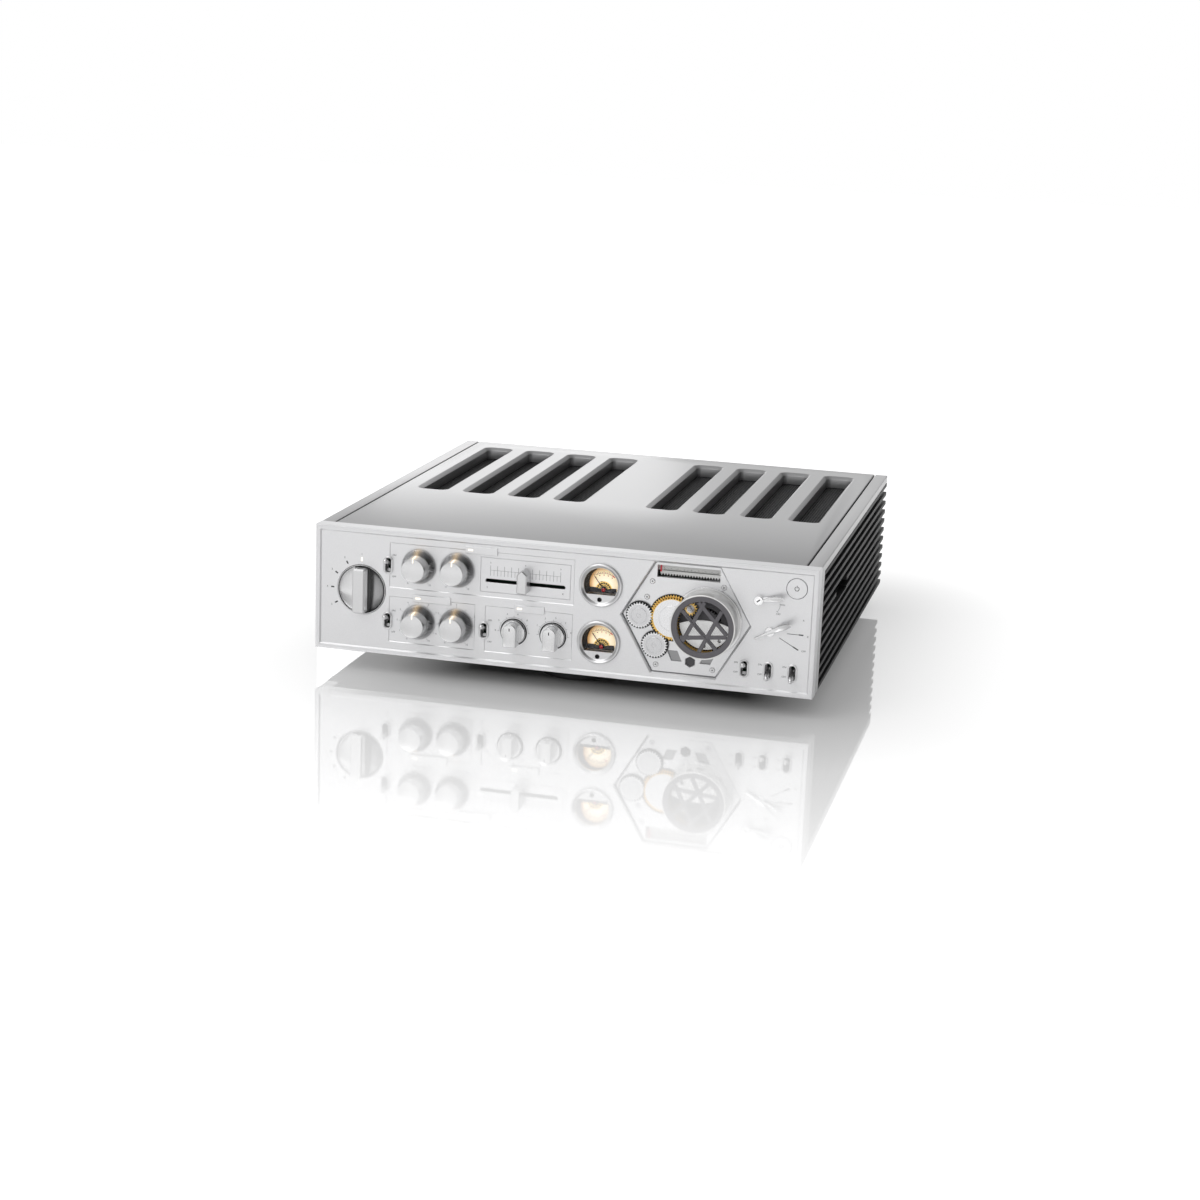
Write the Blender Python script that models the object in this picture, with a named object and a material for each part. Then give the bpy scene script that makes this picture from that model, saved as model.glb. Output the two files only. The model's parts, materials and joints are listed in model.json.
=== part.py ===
import math

import bmesh
import bpy
from mathutils import Matrix, Vector

# Integrated amplifier with an open gear train on its front panel.
# Metres, +Z up, front panel towards -Y. A depth is measured from the panel's front face, backwards.
# The origin is the bottom centre of the whole part.

TAU = 2 * math.pi
GAP = 0.0003
OVERRUN = 0.002
WELD = 0.000001

# Overall sizes. The panel's width and height follow from the controls and the gear train on it.
BODY_DEPTH = 0.430
FOOT_HEIGHT = 0.019

# Front panel
PANEL_THICKNESS = 0.014
PANEL_BORDER = 0.005
FIELD_DEPTH = 0.0012
FACE_THICKNESS = 0.006
PANEL_REAR_WALL = 0.0035
PANEL_CHAMFER = 0.0008

# Rows of controls, as shares of the panel's height from its top
SELECTOR_DOWN_SHARE = 0.4954
UPPER_KNOBS_DOWN_SHARE = 0.2667
LOWER_KNOBS_DOWN_SHARE = 0.7144
UPPER_TOGGLE_DOWN_SHARE = 0.2787
LOWER_TOGGLES_DOWN_SHARE = 0.7250
RIGHT_TOGGLES_DOWN_SHARE = 0.8130
BALANCE_DOWN_SHARE = 0.3241
UPPER_METER_DOWN_SHARE = 0.2741
LOWER_METER_DOWN_SHARE = 0.7250
POWER_BUTTON_DOWN_SHARE = 0.1556
DIRECT_LEVER_DOWN_SHARE = 0.2639
SPEAKER_LEVER_DOWN_SHARE = 0.5074

# Room between the controls, from the panel's left edge to its right edge
SELECTOR_MARGIN = 0.0198
SELECTOR_TO_TOGGLE = 0.0023
TOGGLE_TO_KNOB = 0.0120
KNOB_ROOM = 0.0038
KNOB_TO_RECESS = 0.0054
RECESS_TO_METER = 0.0075
METER_NEST = 0.0003
KNOB_TO_TOGGLE = 0.0094
TOGGLE_TO_EQUALIZER = 0.0157
EQUALIZER_ROOM = 0.0134
HEXAGON_TO_LEVER = 0.0066
HEXAGON_TO_TAIL = 0.0025
LEVER_TIP_MARGIN = 0.0165
BUTTON_MARGIN = 0.00955
SWITCH_MARGIN = 0.0177
SWITCH_PITCH = 0.0200
HEXAGON_TOP_MARGIN = 0.0056
HEXAGON_BOTTOM_MARGIN = 0.0089

# Shafts, potentiometers and the board that carries them
SHAFT_RADIUS = 0.003
SHAFT_CLEARANCE = 0.0004
POT_RADIUS = 0.0075
POT_DEPTH = 0.016
CONTROL_BOARD_DEPTH = 0.030
BOARD_THICKNESS = 0.0016
BOARD_MARGIN = 0.005

# Source selector
SELECTOR_RADIUS = 0.0212
SELECTOR_REAR = 0.0095
SELECTOR_RIM = 0.0012
DISH_DEPTH = 0.0058
SELECTOR_BAR_WIDTH = 0.011
SELECTOR_BAR_LENGTH = 0.0385
SELECTOR_REACH = 0.0078
SELECTOR_BAR_CHAMFER = 0.0014

# Four tone and filter knobs
SKIRT_RADIUS = 0.015
SKIRT_EDGE = 0.0018
SKIRT_HEIGHT = 0.0078
CAP_BASE_RADIUS = 0.0106
CAP_FRONT_RADIUS = 0.0099
KNOB_HEIGHT = 0.0165
KNOB_CHAMFER = 0.0007
FLUTE_DEPTH = 0.0006
FLUTE_COUNT = 10

# Two equalizer knobs
EQUALIZER_DISC_RADIUS = 0.0103
EQUALIZER_DISC_HEIGHT = 0.0022
EQUALIZER_BAR_WIDTH = 0.0112
EQUALIZER_BAR_LENGTH = 0.0196
EQUALIZER_HEIGHT = 0.0135
EQUALIZER_CHAMFER = 0.0010

# Toggle switches
TOGGLE_SLOT_WIDTH = 0.0052
TOGGLE_SLOT_LENGTH = 0.0124
TOGGLE_PIVOT_DEPTH = 0.0088
TOGGLE_BALL_RADIUS = 0.0024
TOGGLE_NECK_RADIUS = 0.0011
TOGGLE_TIP_RADIUS = 0.0018
TOGGLE_LENGTH = 0.0180
TOGGLE_TILT = math.radians(17)
TOGGLE_BODY_WIDTH = 0.0080
TOGGLE_BODY_HEIGHT = 0.0130

# Balance slider
BALANCE_RECESS_SIDE = 0.00445
BALANCE_RECESS_HEIGHT = 0.0294
BALANCE_RECESS_DEPTH = 0.0008
BALANCE_RECESS_RISE = 0.0049
BALANCE_TRAVEL = 0.0290
BALANCE_END_ROOM = 0.00285
BALANCE_SLOT_HEIGHT = 0.0030
STADIUM_SHARE = 0.49
SLIDER_WIDTH = 0.0087
SLIDER_HEIGHT = 0.0204
SLIDER_POINT = 0.0040
SLIDER_RISE = 0.0038
SLIDER_REACH = 0.0115
SLIDER_CHAMFER = 0.0008
SLIDER_STEM_WIDTH = 0.0050
SLIDER_STEM_HEIGHT = 0.0022
SLIDER_BODY_HEIGHT = 0.0090

# Power button
BUTTON_RADIUS = 0.00835
BUTTON_THICKNESS = 0.0055
BUTTON_STEM_RADIUS = 0.0040
BUTTON_STROKE = 0.0015
BUTTON_SWITCH_RADIUS = 0.0042

# Direct lever and speaker lever
LEVER_HUB_RADIUS = 0.0040
LEVER_HUB_HEIGHT = 0.0026
LEVER_SHAFT_RADIUS = 0.0018
LEVER_THICKNESS = 0.0016
DIRECT_LEVER_WIDTH = 0.0044
DIRECT_LEVER_LENGTH = 0.0215
DIRECT_LEVER_RISE = 0.0060
DIRECT_LEVER_REST = math.radians(10)
SPEAKER_LEVER_WIDTH = 0.0042
SPEAKER_LEVER_TAIL = 0.0140
SPEAKER_LEVER_LENGTH = 0.0215
SPEAKER_LEVER_RISE = 0.0085
SPEAKER_LEVER_REST = math.radians(28)
LEVER_BEND_STEPS = 4
LEVER_BEND_POWER = 1.6

# Meters
BEZEL_RADIUS = 0.0185
BEZEL_LIP = 0.0015
BEZEL_REACH = 0.0024
METER_BODY_RADIUS = 0.0168
METER_BODY_DEPTH = 0.0250
WINDOW_RADIUS = 0.01465
WINDOW_FLAT = 0.0080
WINDOW_DEPTH = 0.0075
METER_GLASS_THICKNESS = 0.0010
METER_GLASS_DEPTH = 0.0012
NEEDLE_PIVOT_RIGHT = 0.0014
NEEDLE_PIVOT_DOWN = 0.0047
NEEDLE_LENGTH = 0.0135
NEEDLE_WIDTH = 0.0007
NEEDLE_THICKNESS = 0.0005
NEEDLE_HUB_RADIUS = 0.0016
NEEDLE_REST = math.radians(37)

# Hexagonal gear module
TRAIN_CORNER_MARGIN = 0.0040
COLLAR_CORNER_MARGIN = 0.0068
GEAR_PLATE_DEPTH = 0.0046
GEAR_PLATE_THICKNESS = 0.0040
FLANGE_LIP = 0.0016
FLANGE_THICKNESS = 0.0011
SCALE_WINDOW_INSET = 0.0013
SCALE_WINDOW_HEIGHT = 0.0103
SCALE_WINDOW_RIGHT = 0.00045
SCALE_WINDOW_MARGIN = 0.00275
POCKET_RIGHTS = (-0.0085, 0.0195)
POCKET_DOWN = 0.0318
POCKET_SIZE = 0.0080
POCKET_DEPTH = 0.0020
SOCKET_RIGHT = 0.0050
SOCKET_DOWN = 0.0358
SOCKET_RADIUS = 0.0046

# Gear train
MODULE = 0.00075
ADDENDUM_SHARE = 0.90
DEDENDUM_SHARE = 1.15
TOOTH_SHARE = 0.37
PRESSURE_ANGLE = math.radians(20)
RING_TEETH = 60
INNER_IDLER_TEETH = 14
SUN_TEETH = 32
CENTRE_TEETH = 46
IDLER_TEETH = 28
RACK_PINION_TEETH = 15
RACK_IDLER_TEETH = 40
INNER_IDLER_ANGLE = math.radians(139)
LOWER_IDLER_ANGLE = math.radians(239.7)
GEAR_THICKNESS = 0.0023
INNER_GEAR_THICKNESS = 0.0016
HIDDEN_GEAR_THICKNESS = 0.0020
BACKING_THICKNESS = 0.0007
CENTRE_BACKING_RIM = 0.0026
GEAR_ARBOR_RADIUS = 0.0020
GEAR_BOSS_SHARE = 0.62
GEAR_BOSS_HEIGHT = 0.0004
SUN_SHAFT_RADIUS = 0.0025

# Volume wheel
WHEEL_AXIS_UP = 0.0005
WHEEL_REACH = 0.0180
WHEEL_WALL = 0.0020
WHEEL_EDGE_CHAMFER = 0.0004
WHEEL_LIP = 0.0008
GRILLE_RIM = 0.0048
GRILLE_THICKNESS = 0.0024
GRILLE_BAR_WIDTH = 0.0034
GRILLE_BAR_DEGREES_AND_SHARES = ((64, -0.34), (64, 0.40), (-46, -0.18), (-46, 0.52), (6, -0.40))
GRILLE_BAR_HALF_SHARE = 0.92
RING_GEAR_RIM = 0.00134
BEARING_CLEARANCE = 0.0004
BEARING_DISC_THICKNESS = 0.0040
COLLAR_STEP = 0.0020
COLLAR_FACE_DEPTH = 0.0009
CENTRE_GEAR_ROOM = 0.0005
BRIDGE_CLEARANCE = 0.0006
BRIDGE_POST_DEGREES = (225, 270, 315)
BRIDGE_DISC_THICKNESS = 0.0015
BRIDGE_EDGE_RISE = 0.0030
BRIDGE_EDGE_RADIUS = 0.0560

# Volume scale and its rack
RACK_LINE_DROP = 0.00365
RACK_HEIGHT = 0.0024
RACK_THICKNESS = 0.0018
RACK_TEETH = 25
POINTER_WIDTH = 0.0012
POINTER_THICKNESS = 0.0005
POINTER_INSET = 0.0013
SCALE_THICKNESS = 0.0010
SCALE_MARGIN = 0.0030
REAR_BRIDGE_THICKNESS = 0.0024
REAR_BRIDGE_MARGIN = 0.0030
PILLAR_RADIUS = 0.0022

# Cover, frames and heat sinks
SIDE_FRAME_WIDTH = 0.0117
SIDE_FRAME_RAIL = 0.0070
SIDE_FRAME_POST = 0.0160
COVER_GROOVE = 0.0015
COVER_THICKNESS = 0.0030
COVER_SKIRT = 0.0110
COVER_SKIRT_THICKNESS = 0.0020
VENT_COUNT = 4
VENT_SIDE_MARGIN = 0.0298
VENT_WIDTH = 0.0235
VENT_CHAMFER = 0.0028
VENT_LENGTH = 0.2170
VENT_REAR_MARGIN = 0.0300
VENT_CORNER = 0.0050
VENT_WALL = 0.0020
MESH_THICKNESS = 0.0010
MESH_SLOT_ROW_COUNT = 1
MESH_SLOT_COLUMN_COUNT = 2
MESH_WEB = 0.0030
SINK_WEB = 0.0034
SINK_FIN_COUNT = 12
SINK_FIN_SHARE = 0.42
SINK_POCKET_DEPTH = 0.0060
SINK_POCKET_LENGTH = 0.0620
SINK_POCKET_HEIGHT = 0.0140
SINK_POCKET_START = 0.1080
SINK_POCKET_RISE_SHARE = 0.55

# Tray, rear panel and feet
TRAY_THICKNESS = 0.0015
TRAY_FLANGE = 0.0120
TRAY_VENT_COUNT = 8
TRAY_VENT_WIDTH = 0.0060
TRAY_VENT_LENGTH = 0.0700
TRAY_VENT_REAR_MARGIN = 0.1700
REAR_THICKNESS = 0.0030
FOOT_RADIUS = 0.0320
FOOT_TOP_RADIUS = 0.0300
FOOT_EDGE = 0.0030
FOOT_PAD_RADIUS = 0.0270
FOOT_FRONT_DEPTH = 0.0730
FOOT_REAR_MARGIN = 0.0600
FOOT_SIDE_MARGIN = 0.0518

# Inside
TRANSFORMER_RADIUS = 0.0580
TRANSFORMER_BORE = 0.0170
TRANSFORMER_HEIGHT = 0.0560
TRANSFORMER_ROUNDING = 0.0100
TRANSFORMER_SIDE_MARGIN = 0.0338
TRANSFORMER_DEPTH = 0.1150
PCB_STANDOFF = 0.0080
STANDOFF_RADIUS = 0.0030
STANDOFF_INSET = 0.0080
POWER_BOARD_WIDTH = 0.1500
POWER_BOARD_FRONT_MARGIN = 0.0100
POWER_BOARD_REAR_MARGIN = 0.0600
POWER_BOARD_SIDE_MARGIN = 0.0218
CAPACITOR_RADIUS = 0.0150
CAPACITOR_HEIGHT = 0.0500
CAPACITOR_COLUMN_COUNT = 2
CAPACITOR_ROW_COUNT = 2
BOARD_SPACING = 0.0250
AMPLIFIER_BOARD_FRONT_MARGIN = 0.0900
AMPLIFIER_BOARD_REAR_MARGIN = 0.0600
AMPLIFIER_BOARD_SIDE_MARGIN = 0.0168
COIL_RADIUS = 0.0140
COIL_HEIGHT = 0.0240

# Rear connectors
TERMINAL_REACH = 0.0200
REAR_PLATE_PITCH = 0.1000
INLET_SIDE_MARGIN = 0.0468
SOCKETS_UP_SHARE = 0.4948
INLET_FLANGE_WIDTH = 0.0500
INLET_FLANGE_HEIGHT = 0.0300
INLET_FLANGE_THICKNESS = 0.0025
INLET_BODY_WIDTH = 0.0300
INLET_BODY_HEIGHT = 0.0220
INLET_BODY_LENGTH = 0.0240
INLET_SOCKET_WIDTH = 0.0245
INLET_SOCKET_HEIGHT = 0.0165
INLET_SOCKET_DEPTH = 0.0160
ROCKER_UP_SHARE = 0.8866
ROCKER_WIDTH = 0.0210
ROCKER_HEIGHT = 0.0130
ROCKER_PEAK = 0.0024
ROCKER_BODY = 0.0080
ROCKER_ROOM = 0.0012
ROCKER_TILT = math.radians(8)
SPEAKER_PLATE_WIDTH = 0.0560
SPEAKER_PLATE_HEIGHT = 0.0520
SPEAKER_PLATE_THICKNESS = 0.0025
SPEAKER_PLATE_SIDE_MARGIN = 0.0518
SPEAKER_POST_RADIUS = 0.0080
SPEAKER_POST_WAIST = 0.0050
SPEAKER_POST_WAIST_SHARE = 0.3
SPEAKER_POST_PITCH = 0.0250
INPUT_PLATE_WIDTH = 0.1100
INPUT_PLATE_HEIGHT = 0.0440
INPUT_PLATE_THICKNESS = 0.0020
INPUT_JACK_RADIUS = 0.0042
INPUT_JACK_BORE = 0.0017
INPUT_JACK_LENGTH = 0.0095
INPUT_JACK_PITCH = 0.0170
INPUT_JACK_COLUMN_COUNT = 3
GROUND_POST_RADIUS = 0.0060
GROUND_POST_LENGTH = 0.0130

# Roundness of turned pieces, in flats
TINY_FLATS = 8
SMALL_FLATS = 10
LARGE_FLATS = 20
WHEEL_FLATS = 30
ARC_STEPS = 6
DISH_STEPS = 4
CORNER_STEPS = 3

# Sizes of the gears, of the wheel that turns them and of the hexagon round them
PITCH = math.pi * MODULE
ADDENDUM = ADDENDUM_SHARE * MODULE
DEDENDUM = DEDENDUM_SHARE * MODULE
RING_PITCH_RADIUS = MODULE * RING_TEETH / 2
CENTRE_BACKING_RADIUS = MODULE * CENTRE_TEETH / 2 + ADDENDUM + CENTRE_BACKING_RIM
RING_GEAR_RADIUS = RING_PITCH_RADIUS + DEDENDUM + RING_GEAR_RIM
BRIDGE_DISC_RADIUS = RING_PITCH_RADIUS - ADDENDUM - BRIDGE_CLEARANCE
WHEEL_BORE = RING_GEAR_RADIUS + GAP
BEARING_RADIUS = WHEEL_BORE - BEARING_CLEARANCE
WHEEL_RADIUS = WHEEL_BORE + WHEEL_WALL
GRILLE_RADIUS = WHEEL_RADIUS - WHEEL_LIP
GRILLE_INNER_RADIUS = GRILLE_RADIUS - GRILLE_RIM
COLLAR_RADIUS = WHEEL_RADIUS + COLLAR_STEP
TRAIN_REACH = MODULE * (SUN_TEETH + 2 * CENTRE_TEETH + IDLER_TEETH) / 2
IDLER_TIP_RADIUS = MODULE * IDLER_TEETH / 2 + ADDENDUM
HEXAGON_SPAN = TRAIN_CORNER_MARGIN + IDLER_TIP_RADIUS + TRAIN_REACH + COLLAR_RADIUS + COLLAR_CORNER_MARGIN
HEXAGON_RADIUS = HEXAGON_SPAN / 2
HEXAGON_APOTHEM = HEXAGON_RADIUS * math.cos(math.pi / 6)
WHEEL_AXIS_RIGHT = HEXAGON_RADIUS - COLLAR_RADIUS - COLLAR_CORNER_MARGIN
SCALE_WINDOW_WIDTH = HEXAGON_RADIUS - SCALE_WINDOW_INSET
SCALE_WINDOW_UP = HEXAGON_APOTHEM - SCALE_WINDOW_MARGIN - SCALE_WINDOW_HEIGHT / 2
RACK_LINE_UP = SCALE_WINDOW_UP - RACK_LINE_DROP

# Distances across the panel from its left edge
BALANCE_SLOT_LENGTH = 2 * (BALANCE_TRAVEL + BALANCE_END_ROOM) + SLIDER_STEM_WIDTH
BALANCE_RECESS_WIDTH = BALANCE_SLOT_LENGTH + 2 * BALANCE_RECESS_SIDE
SELECTOR_ACROSS = SELECTOR_MARGIN + SELECTOR_RADIUS
LEFT_TOGGLES_ACROSS = SELECTOR_ACROSS + SELECTOR_RADIUS + SELECTOR_TO_TOGGLE
LEFT_KNOBS_ACROSS = LEFT_TOGGLES_ACROSS + TOGGLE_TO_KNOB + SKIRT_RADIUS
RIGHT_KNOBS_ACROSS = LEFT_KNOBS_ACROSS + 2 * SKIRT_RADIUS + KNOB_ROOM
KNOBS_END = RIGHT_KNOBS_ACROSS + SKIRT_RADIUS
BALANCE_ACROSS = KNOBS_END + KNOB_TO_RECESS + BALANCE_RECESS_WIDTH / 2
METERS_ACROSS = BALANCE_ACROSS + BALANCE_RECESS_WIDTH / 2 + RECESS_TO_METER + BEZEL_RADIUS
PHONO_ACROSS = KNOBS_END + KNOB_TO_TOGGLE
TURNOVER_ACROSS = PHONO_ACROSS + TOGGLE_TO_EQUALIZER + EQUALIZER_DISC_RADIUS
ROLLOFF_ACROSS = TURNOVER_ACROSS + 2 * EQUALIZER_DISC_RADIUS + EQUALIZER_ROOM
HEXAGON_ACROSS = METERS_ACROSS + BEZEL_RADIUS - METER_NEST + HEXAGON_RADIUS
DIRECT_LEVER_ACROSS = HEXAGON_ACROSS + HEXAGON_RADIUS + HEXAGON_TO_LEVER
SPEAKER_LEVER_ACROSS = HEXAGON_ACROSS + HEXAGON_RADIUS + HEXAGON_TO_TAIL + SPEAKER_LEVER_TAIL
WIDTH = SPEAKER_LEVER_ACROSS + SPEAKER_LEVER_LENGTH + LEVER_TIP_MARGIN
ATTENUATOR_ACROSS = WIDTH - SWITCH_MARGIN
PANEL_HEIGHT = HEXAGON_TOP_MARGIN + 2 * HEXAGON_APOTHEM + HEXAGON_BOTTOM_MARGIN
HEXAGON_DOWN_SHARE = (HEXAGON_TOP_MARGIN + HEXAGON_APOTHEM) / PANEL_HEIGHT

# Places on the panel: the distance across it, and the share of its height from the top
SELECTOR_PLACE = (SELECTOR_ACROSS, SELECTOR_DOWN_SHARE)
KNOB_PLACES = {
    "bass_knob": (LEFT_KNOBS_ACROSS, UPPER_KNOBS_DOWN_SHARE),
    "treble_knob": (RIGHT_KNOBS_ACROSS, UPPER_KNOBS_DOWN_SHARE),
    "frequency_knob": (LEFT_KNOBS_ACROSS, LOWER_KNOBS_DOWN_SHARE),
    "gain_knob": (RIGHT_KNOBS_ACROSS, LOWER_KNOBS_DOWN_SHARE),
}
EQUALIZER_PLACES = {
    "turnover_knob": (TURNOVER_ACROSS, LOWER_KNOBS_DOWN_SHARE),
    "rolloff_knob": (ROLLOFF_ACROSS, LOWER_KNOBS_DOWN_SHARE),
}
TOGGLE_UP_PLACES = {
    "tone_toggle": (LEFT_TOGGLES_ACROSS, UPPER_TOGGLE_DOWN_SHARE),
    "filter_toggle": (LEFT_TOGGLES_ACROSS, LOWER_TOGGLES_DOWN_SHARE),
    "phono_toggle": (PHONO_ACROSS, LOWER_TOGGLES_DOWN_SHARE),
    "dimmer_toggle": (ATTENUATOR_ACROSS - 2 * SWITCH_PITCH, RIGHT_TOGGLES_DOWN_SHARE),
}
TOGGLE_DOWN_PLACES = {
    "subsonic_toggle": (ATTENUATOR_ACROSS - SWITCH_PITCH, RIGHT_TOGGLES_DOWN_SHARE),
    "attenuator_toggle": (ATTENUATOR_ACROSS, RIGHT_TOGGLES_DOWN_SHARE),
}
BALANCE_PLACE = (BALANCE_ACROSS, BALANCE_DOWN_SHARE)
METER_PLACES = {
    "left_meter": (METERS_ACROSS, UPPER_METER_DOWN_SHARE),
    "right_meter": (METERS_ACROSS, LOWER_METER_DOWN_SHARE),
}
HEXAGON_PLACE = (HEXAGON_ACROSS, HEXAGON_DOWN_SHARE)
POWER_BUTTON_PLACE = (WIDTH - BUTTON_MARGIN - BUTTON_RADIUS, POWER_BUTTON_DOWN_SHARE)
DIRECT_LEVER_PLACE = (DIRECT_LEVER_ACROSS, DIRECT_LEVER_DOWN_SHARE)
SPEAKER_LEVER_PLACE = (SPEAKER_LEVER_ACROSS, SPEAKER_LEVER_DOWN_SHARE)

# Planes and lines that several pieces share
BOTTOM_Z = FOOT_HEIGHT
TOP_Z = FOOT_HEIGHT + PANEL_HEIGHT
HALF_WIDTH = WIDTH / 2
FRONT_Y = (WHEEL_REACH - BODY_DEPTH - TERMINAL_REACH) / 2
FACE_BACK = FIELD_DEPTH + FACE_THICKNESS
BEHIND_PANEL = PANEL_THICKNESS + GAP
INNER_HALF = HALF_WIDTH - SIDE_FRAME_WIDTH - COVER_GROOVE
TRAY_TOP = BOTTOM_Z + TRAY_THICKNESS
COVER_BOTTOM = TOP_Z - COVER_SKIRT
REAR_INNER = BODY_DEPTH - REAR_THICKNESS - GAP
REAR_OUTER = BODY_DEPTH - GAP
PLATE_BACK = GEAR_PLATE_DEPTH + GEAR_PLATE_THICKNESS
BACKING_REAR = GEAR_PLATE_DEPTH - GAP
BACKING_FRONT = BACKING_REAR - BACKING_THICKNESS
GEAR_REAR = BACKING_FRONT - GAP
GEAR_FRONT = GEAR_REAR - GEAR_THICKNESS
SLEEVE_REAR = GEAR_FRONT - GAP
BEARING_FRONT = SLEEVE_REAR - BEARING_DISC_THICKNESS
INNER_GEAR_REAR = BEARING_FRONT - GAP
INNER_GEAR_FRONT = INNER_GEAR_REAR - INNER_GEAR_THICKNESS
BRIDGE_REAR = INNER_GEAR_FRONT - GAP
BRIDGE_FRONT = BRIDGE_REAR - BRIDGE_DISC_THICKNESS
GRILLE_REAR = -WHEEL_REACH + GRILLE_THICKNESS
HIDDEN_FRONT = PLATE_BACK + GAP
HIDDEN_REAR = HIDDEN_FRONT + HIDDEN_GEAR_THICKNESS
REAR_BRIDGE_FRONT = HIDDEN_REAR + GAP
REAR_BRIDGE_REAR = REAR_BRIDGE_FRONT + REAR_BRIDGE_THICKNESS
SHAFT_END = POT_DEPTH - GAP

# Places inside the case and on its rear panel
VENT_PITCH = (INNER_HALF - VENT_SIDE_MARGIN) / VENT_COUNT
REAR_PANEL_HEIGHT = COVER_BOTTOM - GAP - BOTTOM_Z
SOCKETS_Z = BOTTOM_Z + SOCKETS_UP_SHARE * REAR_PANEL_HEIGHT
ROCKER_Z = BOTTOM_Z + ROCKER_UP_SHARE * REAR_PANEL_HEIGHT
INLET_RIGHT = INLET_SIDE_MARGIN - INNER_HALF
RIGHT_SPEAKER_PLATE_RIGHT = INNER_HALF - SPEAKER_PLATE_SIDE_MARGIN
INPUT_PLATE_RIGHT = RIGHT_SPEAKER_PLATE_RIGHT - REAR_PLATE_PITCH
LEFT_SPEAKER_PLATE_RIGHT = INPUT_PLATE_RIGHT - REAR_PLATE_PITCH
FOOT_REAR_SPREAD = INNER_HALF - FOOT_SIDE_MARGIN
TRANSFORMER_RIGHT = TRANSFORMER_SIDE_MARGIN + TRANSFORMER_RADIUS - INNER_HALF
POWER_BOARD_RIGHT = POWER_BOARD_SIDE_MARGIN + POWER_BOARD_WIDTH / 2 - INNER_HALF
POWER_BOARD_START = TRANSFORMER_DEPTH + TRANSFORMER_RADIUS + POWER_BOARD_FRONT_MARGIN
POWER_BOARD_LENGTH = BODY_DEPTH - POWER_BOARD_REAR_MARGIN - POWER_BOARD_START
POWER_BOARD_DEPTH = POWER_BOARD_START + POWER_BOARD_LENGTH / 2
POWER_BOARD_END = POWER_BOARD_RIGHT + POWER_BOARD_WIDTH / 2
AMPLIFIER_BOARD_WIDTH = INNER_HALF - AMPLIFIER_BOARD_SIDE_MARGIN - BOARD_SPACING - POWER_BOARD_END
AMPLIFIER_BOARD_RIGHT = INNER_HALF - AMPLIFIER_BOARD_SIDE_MARGIN - AMPLIFIER_BOARD_WIDTH / 2
AMPLIFIER_BOARD_LENGTH = BODY_DEPTH - AMPLIFIER_BOARD_FRONT_MARGIN - AMPLIFIER_BOARD_REAR_MARGIN
AMPLIFIER_BOARD_DEPTH = AMPLIFIER_BOARD_FRONT_MARGIN + AMPLIFIER_BOARD_LENGTH / 2

FINISHES = {
    "satin_silver": ((0.80, 0.80, 0.80, 1), 0.35, 0.9),
    "cover_silver": ((0.62, 0.63, 0.64, 1), 0.30, 0.9),
    "bright_silver": ((0.86, 0.86, 0.87, 1), 0.20, 1.0),
    "brass": ((0.78, 0.56, 0.20, 1), 0.30, 1.0),
    "grey_steel": ((0.16, 0.16, 0.17, 1), 0.40, 0.9),
    "black_anodised": ((0.02, 0.02, 0.02, 1), 0.45, 0.5),
    "black_plastic": ((0.03, 0.03, 0.03, 1), 0.50, 0.0),
    "white_enamel": ((0.88, 0.88, 0.86, 1), 0.40, 0.0),
    "clear_glass": ((0.95, 0.95, 0.95, 1), 0.05, 0.0),
    "green_board": ((0.03, 0.18, 0.08, 1), 0.50, 0.0),
    "copper_coil": ((0.55, 0.25, 0.12, 1), 0.40, 0.8),
    "zinc_steel": ((0.45, 0.46, 0.47, 1), 0.45, 0.8),
}


def clear_scene():
    for obj in list(bpy.data.objects):
        bpy.data.objects.remove(obj)


def finish(name):
    material = bpy.data.materials.get(name)
    if material is None:
        colour, roughness, metallic = FINISHES[name]
        material = bpy.data.materials.new(name)
        material.use_nodes = True
        shader = material.node_tree.nodes["Principled BSDF"]
        shader.inputs["Base Color"].default_value = colour
        shader.inputs["Roughness"].default_value = roughness
        shader.inputs["Metallic"].default_value = metallic
        material.diffuse_color = colour
    return material


def on_panel(place, depth=0):
    across, down_share = place
    return Vector((across - HALF_WIDTH, FRONT_Y + depth, TOP_Z - down_share * PANEL_HEIGHT))


def polar(centre, radius, angle):
    return centre + Vector((radius * math.cos(angle), 0, radius * math.sin(angle)))


def box(bm, low, high):
    low = Vector(low)
    high = Vector(high)
    matrix = Matrix.LocRotScale((low + high) / 2, None, high - low)
    return bmesh.ops.create_cube(bm, size=1, matrix=matrix)["verts"]


def panel_box(bm, centre, width, height, front, rear):
    low = (centre.x - width / 2, FRONT_Y + front, centre.z - height / 2)
    high = (centre.x + width / 2, FRONT_Y + rear, centre.z + height / 2)
    return box(bm, low, high)


def extruded(bm, points, along):
    verts = [bm.verts.new(point) for point in points]
    face = bm.faces.new(verts)
    grown = bmesh.ops.extrude_face_region(bm, geom=[face])["geom"]
    moved = [item for item in grown if isinstance(item, bmesh.types.BMVert)]
    bmesh.ops.translate(bm, vec=along, verts=moved)
    return verts + moved


def stacked(bm, outlines_and_heights):
    # A solid whose level outlines follow each other upwards
    rings = [[bm.verts.new((x, y, height)) for x, y in outline] for outline, height in outlines_and_heights]
    bm.faces.new(rings[0])
    bm.faces.new(rings[-1])
    for low, high in zip(rings, rings[1:]):
        for corner in range(len(low)):
            bm.faces.new((low[corner - 1], low[corner], high[corner], high[corner - 1]))


def prism(bm, outline, front, rear):
    points = [(x, FRONT_Y + front, z) for x, z in outline]
    return extruded(bm, points, (0, rear - front, 0))


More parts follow.
